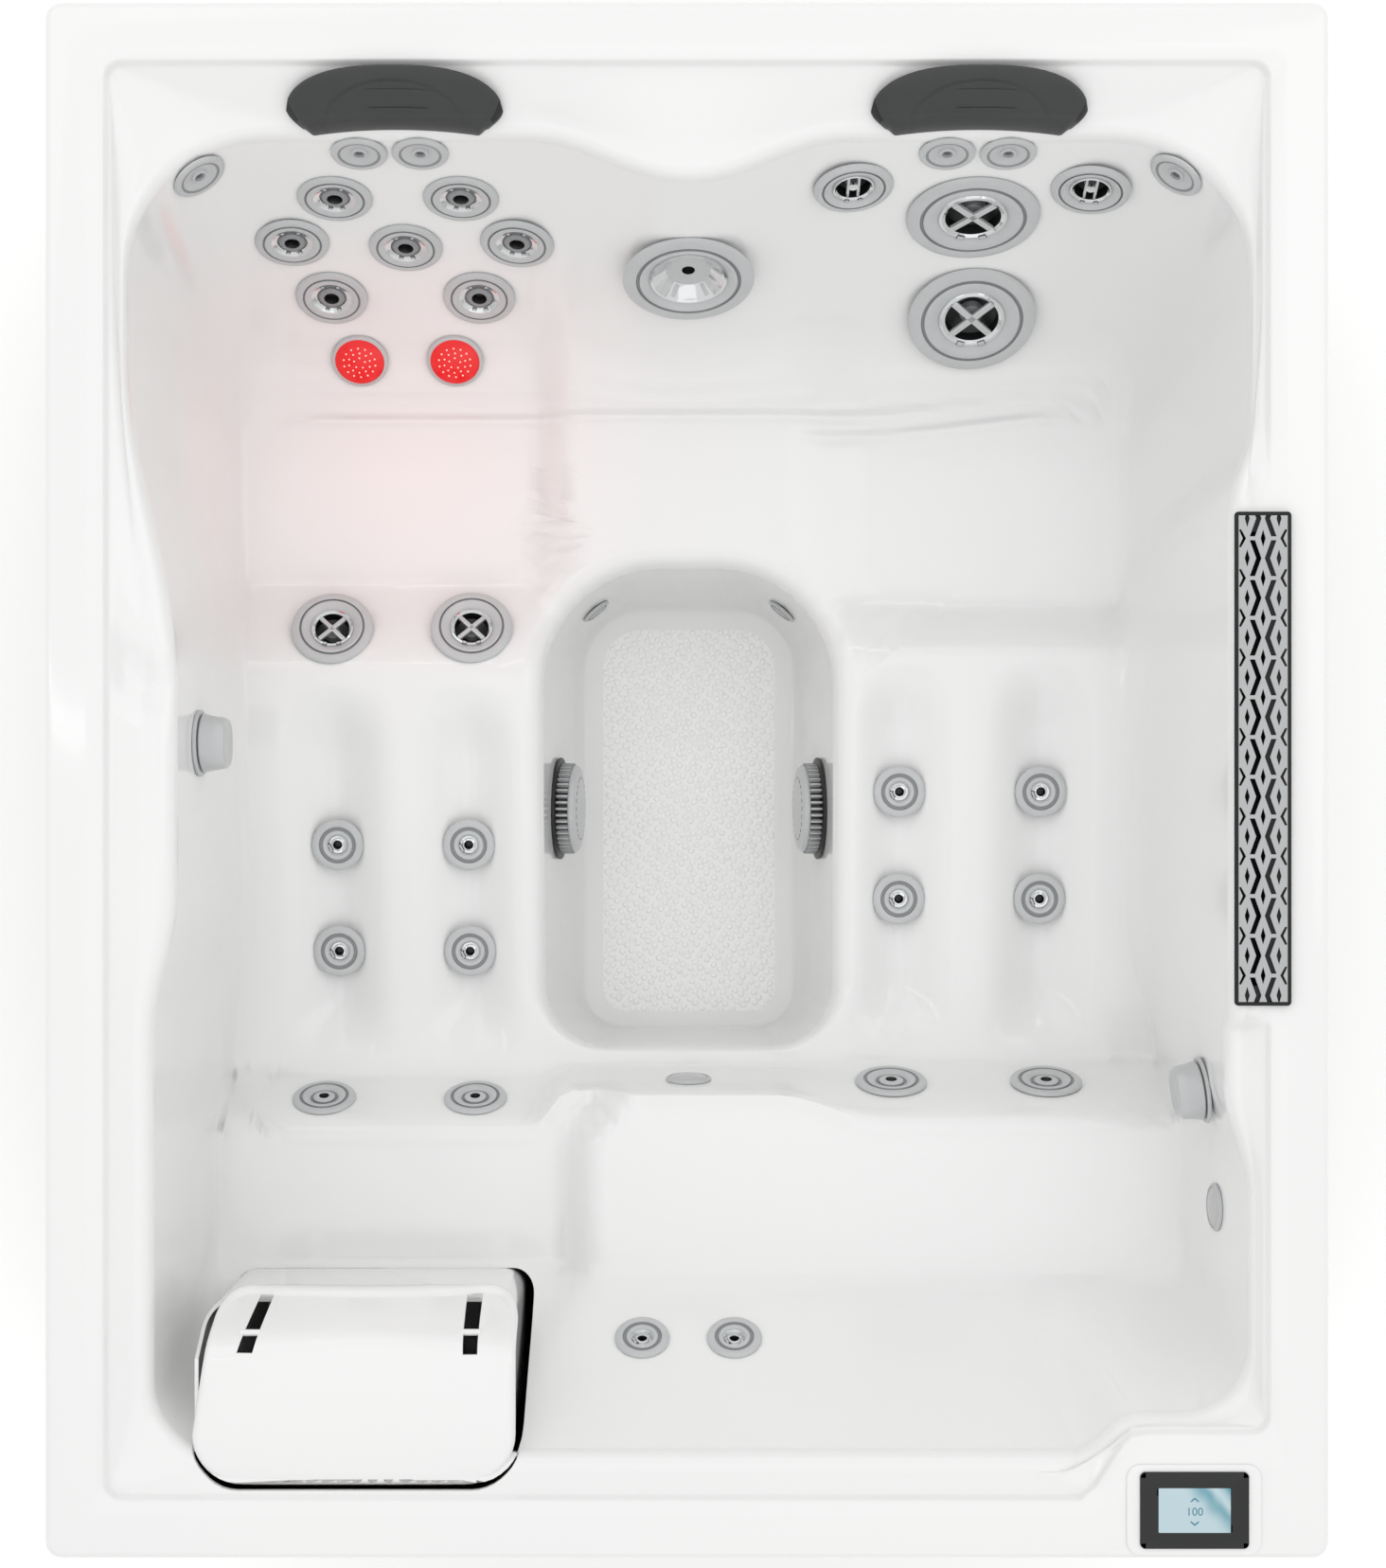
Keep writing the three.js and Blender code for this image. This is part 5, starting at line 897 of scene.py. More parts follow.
def small_jet(radius, depth):
    """A small jet: two rings and a nozzle whose chromed throat is set a little aside."""
    form = bmesh.new()
    barrel_and_flange(form, radius, depth)
    spun(form, pale, [(radius - 3.5, 5), (radius * 0.8, 5.4), (radius * 0.72, 4.6)])
    spun(form, mid, [(radius * 0.72, 4.6), (radius * 0.68, 2.4), (radius * 0.6, 2.4), (radius * 0.58, 4.2)])
    spun(form, pale, [(radius * 0.58, 4.2), (radius * 0.54, 5.2), (radius * 0.44, 4.6), (radius * 0.38, 1.5)])
    spun(form, bright, [(radius * 0.38, 1.5), (radius * 0.33, -1.5), (radius * 0.27, -2), (radius * 0.24, 0.6),
                        (radius * 0.18, 1.4), (radius * 0.14, -1)])
    spun(form, dark, [(radius * 0.14, -1), (radius * 0.12, -9), (0, -9)])
    bar(form, dark, (radius * 0.12, radius * 0.34, 3), math.radians(205), -0.2, (radius * 0.31, 0))
    closed(form)
    return form


def neck_jet(radius, depth):
    """A neck jet: a shallow dish in grey plastic with a small round nozzle of the same grey."""
    form = bmesh.new()
    barrel_and_flange(form, radius, depth)
    spun(form, pale, [(radius - 3.5, 5), (radius * 0.82, 5.5), (radius * 0.76, 4.8)])
    spun(form, mid, [(radius * 0.76, 4.8), (radius * 0.72, 3.4), (radius * 0.66, 3.8)])
    spun(form, pale, [(radius * 0.66, 3.8), (radius * 0.5, 1), (radius * 0.36, -0.5), (radius * 0.3, -0.5),
                      (radius * 0.28, 2), (radius * 0.2, 3)])
    spun(form, mid, [(radius * 0.2, 3), (radius * 0.13, 1), (radius * 0.12, -3), (0, -3)])
    closed(form)
    return form


def spoked_jet(radius, depth, spokes):
    """A massage jet that spins its stream: a broad ring, a sloped collar and a chromed cup with spokes."""
    form = bmesh.new()
    barrel_and_flange(form, radius, depth)
    spun(form, pale, [(radius - 3.5, 5), (radius * 0.88, 6.6), (radius * 0.8, 6)])
    spun(form, mid, [(radius * 0.8, 6), (radius * 0.785, 3.6), (radius * 0.76, 3.6), (radius * 0.745, 6.4)])
    spun(form, pale, [(radius * 0.745, 6.4), (radius * 0.71, 7.4), (radius * 0.6, 4.4), (radius * 0.53, 0.5)])
    spun(form, bright, [(radius * 0.53, 0.5), (radius * 0.51, 3), (radius * 0.47, 3.8), (radius * 0.42, 1)])
    spun(form, dark, [(radius * 0.42, 1), (radius * 0.4, -14), (radius * 0.2, -20), (0, -20)])
    reach = radius * 0.84
    if spokes == "cross":
        for turn in (45, 135):
            bar(form, bright, (reach, radius * 0.11, 5), math.radians(turn), -0.5)
    else:
        for aside in (-0.13, 0.13):
            bar(form, bright, (radius * 0.07, reach * 0.92, 5), 0, -1.5, (radius * aside, 0))
        spun(form, bright, [(0, 1.5), (radius * 0.12, 1), (radius * 0.14, -3), (0, -3)])
    for turn in (252, 292):
        bar(form, dark, (radius * 0.09, radius * 0.12, 2), math.radians(turn), 3.6, (radius * 0.485, 0))
    spun(form, mid, [(0, -9), (radius * 0.17, -9.5), (radius * 0.2, -19), (0, -19)])
    closed(form)
    return form


def swirl_jet(radius, depth):
    """The large centre jet: the same broad ring round a chromed cup whose sloped side has four slots."""
    form = bmesh.new()
    barrel_and_flange(form, radius, depth)
    spun(form, pale, [(radius - 3.5, 5), (radius * 0.88, 6.6), (radius * 0.8, 6)])
    spun(form, mid, [(radius * 0.8, 6), (radius * 0.785, 3.6), (radius * 0.76, 3.6), (radius * 0.745, 6.4)])
    spun(form, pale, [(radius * 0.745, 6.4), (radius * 0.71, 7.4), (radius * 0.64, 3), (radius * 0.6, 0.5)])
    spun(form, bright, [(radius * 0.6, 0.5), (radius * 0.585, 3), (radius * 0.55, 3.4), (radius * 0.52, 1.5),
                        (radius * 0.34, -13)])
    spun(form, pale, [(radius * 0.34, -13), (radius * 0.31, -13.6), (radius * 0.1, -14)])
    spun(form, dark, [(radius * 0.1, -14), (radius * 0.08, -22), (0, -22)])
    for turn, width in ((241, 0.13), (304, 0.07), (30, 0.09), (150, 0.09)):
        bar(form, dark, (radius * 0.2, radius * width, 1.6), math.radians(turn), -6.2, (radius * 0.435, 0),
            -math.atan2(14.5, radius * 0.18), 0.4)
    closed(form)
    return form


def foot_jet(radius, depth):
    """A foot jet: concentric rings round a low domed nozzle."""
    form = bmesh.new()
    barrel_and_flange(form, radius, depth)
    spun(form, pale, [(radius - 3.5, 5), (radius * 0.84, 6), (radius * 0.78, 5.4)])
    spun(form, mid, [(radius * 0.78, 5.4), (radius * 0.75, 3.4), (radius * 0.7, 3.4), (radius * 0.68, 5.6)])
    spun(form, pale, [(radius * 0.68, 5.6), (radius * 0.62, 6.4), (radius * 0.5, 4.6), (radius * 0.44, 2)])
    spun(form, mid, [(radius * 0.44, 2), (radius * 0.41, 0.5), (radius * 0.36, 0.5), (radius * 0.34, 3.4)])
    spun(form, pale, [(radius * 0.34, 3.4), (radius * 0.26, 5), (radius * 0.16, 5.2)])
    spun(form, dark, [(radius * 0.16, 5.2), (radius * 0.12, 0), (0, 0)])
    closed(form)
    return form


def straight_down(x, y):
    return (x, y, 1200), (0, 0, -1)


def copied(form, source, pose):
    """Adds a copy of a made mesh to a form, in a pose."""
    mark = len(form.verts)
    form.from_mesh(source)
    form.verts.ensure_lookup_table()
    bmesh.ops.transform(form, matrix=pose, verts=form.verts[mark:])


def fitting_group(node, places, radius, depth, made, materials):
    """Seats like fittings on the shell and joins them behind it by the pipe or duct that feeds them."""
    template = bpy.data.meshes.new(f"{node}_template")
    made.to_mesh(template)
    made.free()
    seats = [seat_on_shell(start, direction, radius) for start, direction in places]
    form = bmesh.new()
    for seat in seats:
        copied(form, template, frame_at(*seat))
        cut_round(seat, radius * barrel_share + 3)
    rears = [centre - facing * (depth - rear_link_inset) * mm for centre, facing in seats]
    for a, b in zip(rears, rears[1:]):
        run = b - a
        pose = Matrix.Translation((a + b) / 2) @ run.to_track_quat("Z", "Y").to_matrix().to_4x4()
        link = bmesh.ops.create_cone(form, cap_ends=True, segments=16, radius1=rear_link_radius * mm,
                                     radius2=rear_link_radius * mm, depth=run.length, matrix=pose)
        for face in {face for vert in link["verts"] for face in vert.link_faces}:
            face.material_index = 1
    bpy.data.meshes.remove(template)
    return new_piece(f"{node}_set", form, materials, nodes=[node])


def pair(centre_x, y, spacing):
    return [straight_down(centre_x - spacing / 2, y), straight_down(centre_x + spacing / 2, y)]


def calf_places(centre_x, y, spacing):
    return [*pair(centre_x, y, spacing), *pair(centre_x, y - calf_row_spacing, spacing)[::-1]]


small_radius = 38
foot_radius_left = 46
medium_radius = 52
left_back_x = -399
left_back_low_x = -409
right_back_x = 390
neck_y = 843
neck_spacing = 82
calf_row_spacing = 159
narrow_left, narrow_right = pair(left_back_x, 804, 174)
wide_left, wide_right = pair(left_back_x, 763, 318)
low_left, low_right = pair(left_back_low_x, 703, 214)
corner_turn = math.radians(52)
left_corner, right_corner = (
    ((sign * 560, 690, 806), (sign * math.cos(corner_turn), math.sin(corner_turn), 0)) for sign in (-1, 1))
fixed_jets = (
    ("left_neck_jets", pair(left_back_x, neck_y, neck_spacing), small_radius, neck_jet),
    ("right_neck_jets", pair(right_back_x, neck_y, neck_spacing), small_radius, neck_jet),
    ("left_back_jets", [narrow_right, narrow_left, wide_left, low_left, straight_down(left_back_x, 757),
                        low_right, wide_right], medium_radius, medium_jet),
    ("left_corner_jet", [left_corner], small_radius, neck_jet),
    ("right_corner_jet", [right_corner], small_radius, neck_jet),
    ("left_calf_jets", calf_places(left_legs_x, -92, left_leg_spacing), small_radius, small_jet),
    ("right_calf_jets", calf_places(right_legs_x, -15, right_leg_spacing), small_radius, small_jet),
    ("left_foot_jets", pair(left_legs_x, -466, 221), foot_radius_left, foot_jet),
    ("right_foot_jets", pair(410, -442, 226), medium_radius, foot_jet),
    ("seat_jets", pair(well_x, -776, 128), small_radius, small_jet),
)
for node, places, radius, jet in fixed_jets:
    fitting_group(node, places, radius, small_barrel_depth, jet(radius, small_barrel_depth), jet_materials)

turning_jets = (
    ("center_swirl_jet", 93, swirl_jet, ()),
    ("upper_back_jet", 93, spoked_jet, ("cross",)),
    ("lower_back_jet", 93, spoked_jet, ("cross",)),
    ("left_shoulder_jet", 55, spoked_jet, ("bars",)),
    ("right_shoulder_jet", 55, spoked_jet, ("bars",)),
    ("left_thigh_jet", 60, spoked_jet, ("cross",)),
    ("right_thigh_jet", 60, spoked_jet, ("cross",)),
)
for node, radius, jet, kind in turning_jets:
    form = jet(radius, large_barrel_depth, *kind)
    seat = joint_seat(node, radius)
    cut_round(seat, radius * barrel_share + 3, 110)
    bmesh.ops.transform(form, matrix=frame_at(*seat), verts=form.verts)
    new_piece(f"{node}_face", form, jet_materials, body=node, nodes=[node])


# The two therapy lamps: red polycarbonate lenses over a ring of diodes, lit, so that they wash the seat
# below them in red. The side lights are the same lamp behind a frosted lens, unlit.
lamp_radius = 42
side_lamp_radius = 33
side_lamp_depth = 38


def lamp_lens(name, base, glow, strength):
    """Polycarbonate over diodes: a glossy lens that glows from within."""
    material, tree, shader = new_material(name, {
        "Base Color": linear(base), "Roughness": 0.15, "IOR": 1.58, "Emission Color": linear(glow),
        "Emission Strength": strength})
    ribs = add_node(tree, "ShaderNodeTexVoronoi", {"Vector": object_place(tree), "Scale": 1 / 0.004})
    bumpy(tree, shader, ribs.outputs["Distance"], 0.25, 0.0005)
    return material


red_lens = lamp_lens("lit_red_polycarbonate", "#b80d12", "#ff0a10", 0.38)
diode = lamp_lens("lit_diode", "#ffc9c2", "#ffb0a4", 0.9)
frosted_lens = lamp_lens("frosted_polycarbonate", "#bfc0c0", "#ffffff", 0.0)


def lamp(radius, depth, diodes):
    form = bmesh.new()
    barrel_and_flange(form, radius, depth)
    spun(form, pale, [(radius - 3.5, 5), (radius * 0.88, 5.2), (radius * 0.86, 3.4)])
    spun(form, dark, [(radius * 0.86, 3.4), (radius * 0.78, 4.6), (radius * 0.5, 7.4), (radius * 0.2, 8.4), (0, 8.6)])
    for ring, count in ((0.2, 5), (0.38, 10), (0.56, 14)) if diodes else ():
        for i in range(count):
            turn = 2 * math.pi * (i + ring) / count
            height = 8.6 - 2.9 * ring
            ball = bmesh.ops.create_icosphere(
                form, subdivisions=2, radius=1.3 * mm,
                matrix=Matrix.Translation((ring * radius * mm * math.cos(turn),
                                           ring * radius * mm * math.sin(turn), height * mm)))
            for face in {face for vert in ball["verts"] for face in vert.link_faces}:
                face.material_index = bright
    closed(form)
    return form


fitting_group("red_lamps", pair(-415, 625, 141), lamp_radius, small_barrel_depth,
              lamp(lamp_radius, small_barrel_depth, True), (ring_grey, deep_grey, diode, red_lens))
softbox("lamp_wash", (-0.41, 0.47, 0.64), (-0.41, 0.47, 0), 0.36, 0.24, 0.12)
wash = bpy.data.objects["lamp_wash"]
wash.data.color = (1.0, 0.02, 0.04)
wash.visible_glossy = False
for node, place in (("footwell_light", ((well_x, 0, 500), (0, -1, 0))),
                    ("side_light", ((0, -588, 700), (1, 0, 0)))):
    fitting_group(node, [place], side_lamp_radius, side_lamp_depth, lamp(side_lamp_radius, side_lamp_depth, False),
                  (ring_grey, deep_grey, ring_grey, frosted_lens))


# The suction covers stand off the walls of the footwell: a dark base ring, a cage of ribs that water is
# drawn through, and a domed cap. The floor returns in the corners are small slotted discs.
suction_radius = 78
suction_height = 36
suction_stub_radius = 26
suction_rib_count = 44


def suction_cover():
    form = bmesh.new()
    spun(form, mid, [(0, -52), (suction_stub_radius, -52), (suction_stub_radius, 0), (suction_radius - 1, 0)])
    spun(form, dark, [(suction_radius - 1, 0), (suction_radius, 1), (suction_radius, 4), (suction_radius - 4, 5.5),
                      (suction_radius - 12, 6), (suction_radius - 16, 8), (suction_radius - 17, 22)])
    spun(form, pale, [(suction_radius - 17, 22), (suction_radius - 12, 23), (suction_radius - 11, 26),
                      (suction_radius - 15, 31), (suction_radius * 0.55, 34.5), (suction_radius * 0.2, suction_height),
                      (0, suction_height)])
    for i in range(suction_rib_count):
        bar(form, mid, (11, 4.2, 19), 2 * math.pi * i / suction_rib_count, 14, (suction_radius - 14, 0), soft=1)
    for ring in (0.3, 0.45, 0.6):
        for i in range(round(40 * ring)):
            turn = 2 * math.pi * i / round(40 * ring)
            bar(form, dark, (3.4, 6.5, 1.2), turn, suction_height - 4.2 * ring, (suction_radius * ring, 0), soft=0.5)
    closed(form)
    return form


def floor_return(radius, depth):
    form = bmesh.new()
    barrel_and_flange(form, radius, depth)
    spun(form, pale, [(radius - 3.5, 5), (radius * 0.78, 5)])
    spun(form, mid, [(radius * 0.78, 5), (radius * 0.74, 3), (0, 3.6)])
    for aside, length in ((-10.5, 17), (-5.2, 29), (0, 33), (5.2, 29), (10.5, 17)):
        bar(form, pale, (length, 2.6, 3), 0, 3.8, (0, aside), soft=0.7)
    closed(form)
    return form


for side, sign in (("left", -1), ("right", 1)):
    seat = seat_on_shell((well_x, -42.5, 262), (sign, 0, 0), suction_radius)
    cut_round(seat, suction_stub_radius + 3)
    form = suction_cover()
    bmesh.ops.transform(form, matrix=frame_at(*seat), verts=form.verts)
    new_piece(f"{side}_suction_cage", form, jet_materials, nodes=[f"{side}_suction_cover"])
    fitting_group(f"{side}_floor_return", [((well_x, 120, 215), (sign, 1, 0))], 24, small_barrel_depth,
                  floor_return(24, small_barrel_depth), jet_materials)


# The diverter valves: a flange and body fixed in the side wall, and a broad cap with a wavy grip that turns
# in it.
valve_flange_radius = 46
valve_barrel_radius = 25
valve_bore_radius = 12
knob_radius = 41
knob_low = 6.5
knob_high = 41


def valve_body():
    form = bmesh.new()
    spun(form, mid, [(0, -52), (valve_barrel_radius, -52), (valve_barrel_radius, 0), (valve_flange_radius - 1, 0)])
    spun(form, pale, [(valve_flange_radius - 1, 0), (valve_flange_radius, 1), (valve_flange_radius, 3.4),
                      (valve_flange_radius - 2, 5), (valve_bore_radius, 5)])
    spun(form, dark, [(valve_bore_radius, 5), (valve_bore_radius, -34), (0, -34)])
    closed(form)
    return form


def valve_knob():
    """The cap is spun, and then its side is drawn in between four lobes, with a raised wave over the face."""
    form = bmesh.new()
    spun(form, mid, [(0, -32), (10.6, -32), (10.6, knob_low), (knob_radius - 2, knob_low)])
    spun(form, pale, [(knob_radius - 2, knob_low), (knob_radius, knob_low + 2), (knob_radius, 16),
                      (knob_radius, 26), (knob_radius - 1, 34), (knob_radius - 5, knob_high - 1.4),
                      (knob_radius - 12, knob_high), (knob_radius * 0.4, knob_high - 1.5), (0, knob_high - 2)])
    closed(form)
    for vert in form.verts:
        away = Vector((vert.co.x, vert.co.y)).length
        if away > 0.6 * knob_radius * mm and vert.co.z > 8 * mm:
            turn = math.atan2(vert.co.y, vert.co.x)
            inward = 1 - 0.11 * (0.5 + 0.5 * math.cos(4 * turn)) * ramp(vert.co.z / mm, knob_low, 24)
            vert.co.x *= inward
            vert.co.y *= inward
    form.normal_update()
    return form


for side in ("left", "right"):
    seat = joint_seat(f"{side}_valve_knob", valve_flange_radius)
    cut_round(seat, valve_barrel_radius + 3)
    form = valve_body()
    bmesh.ops.transform(form, matrix=frame_at(*seat), verts=form.verts)
    new_piece(f"{side}_valve_flange", form, jet_materials, nodes=[f"{side}_valve_body"])
    form = valve_knob()
    bmesh.ops.transform(form, matrix=frame_at(*seat), verts=form.verts)
    new_piece(f"{side}_valve_cap", form, jet_materials, body=f"{side}_valve_knob",
              nodes=[f"{side}_valve_knob"])


# The pillows: closed-cell foam moulded with a skin, arched at the back and hollowed at the front, which lie
# on the shelf and over the edge of the basin and are held by two pegs each.
pillow_x = 386
pillow_half_width = 143
pillow_end_y = 884
pillow_top_y = 934
pillow_front_y = 854
pillow_front_taper = 0.14
pillow_front_dip = 8
pillow_corner_lift = 9
pillow_thickness = 33
pillow_edge = 8
pillow_arch_power = 2.6
pillow_crown_power = 4
pillow_cuts = 80
groove_depth = 2.2
peg_spacing = 150
peg_y = 890


def skinned_foam(name, worn, deep):
    """Charcoal foam with a moulded skin: dull, with fine pores and a little scuffing on the crown."""
    material, tree, shader = new_material(name, {"Roughness": 0.62, "Sheen Weight": 0.12})
    place = object_place(tree)
    two_tones(tree, shader, noise(tree, place, 1 / 0.06, 4.0), deep, worn)
    pores = add_node(tree, "ShaderNodeTexVoronoi", {"Vector": place, "Scale": 1 / 0.0016})
    bumpy(tree, shader, pores.outputs["Distance"], 0.3, 0.0003)
    return material


foam = skinned_foam("skinned_charcoal_foam", "#3a3b3b", "#323334")
# The near-black foam is painted shade: it darkens the back and the ends of each pillow as if they lay in shadow.
back_shade_foam = skinned_foam("foam_painted_back_shade", "#0f1010", "#0b0c0c")
for side, sign in (("left", -1), ("right", 1)):
    form = bmesh.new()
    bmesh.ops.create_cube(form, size=2)
    bmesh.ops.subdivide_edges(form, edges=form.edges, cuts=pillow_cuts, use_grid_fill=True)
    for face in form.faces:
        centre = face.calc_center_median()
        # Faces on the back and on the rear part of each end take the near-black foam, painted shade on the sides that
        # turn from the light.
        face.material_index = int(centre.y > 0.9 or (abs(centre.x) > 0.985 and centre.y > -0.5))
    for vert in form.verts:
        u, v, w = vert.co
        arch = math.sqrt(max(0.0, 1 - abs(u) ** pillow_arch_power))
        x = sign * pillow_x + pillow_half_width * u * (1 - pillow_front_taper * ((1 - v) / 2) ** 1.5)
        front = pillow_front_y + pillow_front_dip * (1 - u * u) + pillow_corner_lift * ramp(abs(u), 0.88, 1)
        y = mix(front, mix(pillow_end_y, pillow_top_y, arch), (v + 1) / 2)
        place, _, _, _ = shell_skin.ray_cast(Vector((x, y, 1200)) * mm, Vector((0, 0, -1)))
        low = place.z / mm + 0.6
        crown = math.sqrt((1 - abs(u) ** pillow_crown_power) * (1 - abs(v) ** pillow_crown_power))
        high = low + pillow_edge + (pillow_thickness - pillow_edge) * crown
        arch_line = math.hypot(u / 0.74, (v + 1.1) / 1.5)
        bar_line = max(abs(u - 0.05) / 0.3, abs(v + 0.15) / 0.28)
        groove = max(hump(arch_line, 1, 0.045), 0.7 * hump(bar_line, 1, 0.09))
        if w > 0.9:
            high -= groove_depth * groove
        vert.co = Vector((x, y, mix(low, high, (w + 1) / 2))) * mm
    for aside in (-1, 1):
        peg_x = sign * pillow_x + aside * peg_spacing / 2
        place, _, _, _ = shell_skin.ray_cast(Vector((peg_x, peg_y, 1200)) * mm, Vector((0, 0, -1)))
        bmesh.ops.create_cone(form, cap_ends=True, segments=20, radius1=6 * mm, radius2=7 * mm, depth=44 * mm,
                              matrix=Matrix.Translation((peg_x * mm, peg_y * mm, place.z - 8 * mm)))
        cut_block((peg_x - 8.5, peg_y - 8.5, place.z / mm - 20), (peg_x + 8.5, peg_y + 8.5, place.z / mm + 20))
    bmesh.ops.recalc_face_normals(form, faces=form.faces)
    pillow = new_piece(f"{side}_pillow_foam", form, [foam, back_shade_foam], body=f"{side}_pillow",
                       nodes=[f"{side}_pillow"], sharp_degrees=60)


# The waterfall's cover: a grey ABS plate in a black edge, pierced with slim eyes and zigzag slots, over the
# dark trough that the water wells up in.
grille_x = 751
grille_width = 74
grille_length = 644
grille_low = 903.6
grille_thickness = 4
grille_frame = 5
grille_floor = 1
first_eye_inset = 29.8
eye_pitch = 51.8
eye_rows = 14
eye_column_spacing = 20.7
slit_width = 6.6
slit_length = 23
zigzag_reach = 23.4
zigzag_width = 7
zigzag_near = 5.6
zigzag_far = 14
chevron_reach = 12
trough_x = 738
trough_half_width = 20
trough_half_length = 300
trough_depth = 46


def prism(form, outline, low, high):
    """A flat outline in millimetres, raised into a prism."""
    base = form.faces.new([form.verts.new((x * mm, y * mm, low * mm)) for x, y in outline])
    raised = bmesh.ops.extrude_face_region(form, geom=[base])
    verts = [item for item in raised["geom"] if isinstance(item, bmesh.types.BMVert)]
    bmesh.ops.translate(form, vec=(0, 0, (high - low) * mm), verts=verts)


def rectangle(low, high, margin=0.0):
    """The outline between two corners, widened by a margin all round."""
    left, front = low[0] - margin, low[1] - margin
    right, back = high[0] + margin, high[1] + margin
    return [(left, front), (right, front), (right, back), (left, back)]


def apply_cut(piece, cutter_form, solver="EXACT"):
    """Cuts a form out of a piece and keeps the result as the piece's mesh."""
    bmesh.ops.recalc_face_normals(cutter_form, faces=cutter_form.faces)
    cutter_mesh = bpy.data.meshes.new("cutter")
    cutter_form.to_mesh(cutter_mesh)
    cutter_form.free()
    cutter = bpy.data.objects.new("cutter", cutter_mesh)
    bpy.context.collection.objects.link(cutter)
    cut = piece.modifiers.new("cut", "BOOLEAN")
    cut.object = cutter
    cut.operation = "DIFFERENCE"
    cut.solver = solver
    bpy.context.view_layer.update()
    result = bpy.data.meshes.new_from_object(piece.evaluated_get(bpy.context.evaluated_depsgraph_get()))
    piece.modifiers.clear()
    old = piece.data
    piece.data = result
    bpy.data.meshes.remove(old)
    bpy.data.objects.remove(cutter)
    bpy.data.meshes.remove(cutter_mesh)


form = bmesh.new()
low_corner = Vector((grille_x - grille_width / 2 + grille_frame, waterfall_y - grille_length / 2 + grille_frame))
high_corner = Vector((grille_x + grille_width / 2 - grille_frame, waterfall_y + grille_length / 2 - grille_frame))
prism(form, rectangle(low_corner, high_corner), grille_low + grille_floor + 0.2,
      grille_low + grille_thickness - 0.4)
bmesh.ops.recalc_face_normals(form, faces=form.faces)
lattice_grey = moulded_plastic("grille_grey_abs", "#b2b4b5", 0.36)
matt_black = moulded_plastic("matt_black_abs", "#08090a", 0.7)
lattice = new_piece("waterfall_lattice", form, [lattice_grey], body="waterfall_grille")
slots = bmesh.new()


def slot_through(outline):
    prism(slots, outline, grille_low - 2, grille_low + grille_thickness + 2)


for i in range(-1, eye_rows):
    level = high_corner.y - first_eye_inset - i * eye_pitch
    between = level + eye_pitch / 2
    for column, eye_y in ((-1, between), (0, level), (1, between)):
        eye_x = grille_x + column * eye_column_spacing
        slot_through([(eye_x - slit_width / 2, eye_y), (eye_x, eye_y - slit_length / 2),
                      (eye_x + slit_width / 2, eye_y), (eye_x, eye_y + slit_length / 2)])
    for sign in (-1, 1):
        half = zigzag_width / 2
        near, far = zigzag_near, zigzag_far
        slot_through([(grille_x + sign * x, between + y) for x, y in (
            (far + half, zigzag_reach), (near + half, 0), (far + half, -zigzag_reach),
            (far - half, -zigzag_reach), (near - half, 0), (far - half, zigzag_reach))])
        slot_through([(grille_x + sign * x, level + y) for x, y in (
            (31.6, chevron_reach - 1), (26.6, 0), (31.6, 1 - chevron_reach), (28.8, -chevron_reach), (22.2, 0),
            (28.8, chevron_reach))])
apply_cut(lattice, slots)

form = bmesh.new()
bmesh.ops.create_cube(form, size=1, matrix=Matrix.Translation(
    (grille_x * mm, waterfall_y * mm, (grille_low + grille_thickness / 2) * mm)) @ Matrix.Diagonal(
    (grille_width * mm, grille_length * mm, grille_thickness * mm, 1)))
upright = [edge for edge in form.edges if abs(edge.verts[0].co.z - edge.verts[1].co.z) > 0.001]
bmesh.ops.bevel(form, geom=upright, offset=5 * mm, affect="EDGES", segments=5, profile=0.5, material=-1)
upper = [edge for edge in form.edges if all(vert.co.z > (grille_low + 2) * mm for vert in edge.verts)]
bmesh.ops.bevel(form, geom=upper, offset=1 * mm, affect="EDGES", segments=2, profile=0.5, material=-1)
rim_piece = new_piece("waterfall_rim", form, [matt_black], body="waterfall_grille", nodes=["waterfall_grille"])
well = bmesh.new()
prism(well, rectangle(low_corner, high_corner, 0.2), grille_low + grille_floor,
      grille_low + grille_thickness + 2)
apply_cut(rim_piece, well)
opening = bmesh.new()
trough_ledge = 4
prism(opening, rectangle((trough_x - trough_half_width, waterfall_y - trough_half_length),
                         (trough_x + trough_half_width, waterfall_y + trough_half_length), -trough_ledge),
      grille_low - 2, grille_low + grille_thickness)
apply_cut(rim_piece, opening)
cut_block((trough_x - trough_half_width - 0.4, waterfall_y - trough_half_length - 1.5, lip_height - trough_depth),
          (trough_x + trough_half_width + 1.5, waterfall_y + trough_half_length + 1.5, lip_height + 5))


# The control corner: a white acrylic pad, the black bezel of the touch panel and its lit screen, which shows
# the set temperature between two arrows.
surround_x = 662
surround_y = -952
surround_low = 900.3
surround_thickness = 3
panel_low = 903.6
panel_thickness = 3
screen_level = 906.2
surround_size = (176, 118)
panel_size = (142, 100)
screen_size = (94, 58)
panel_box_y = -928
panel_box_size = (96, 32)
panel_box_height = 40


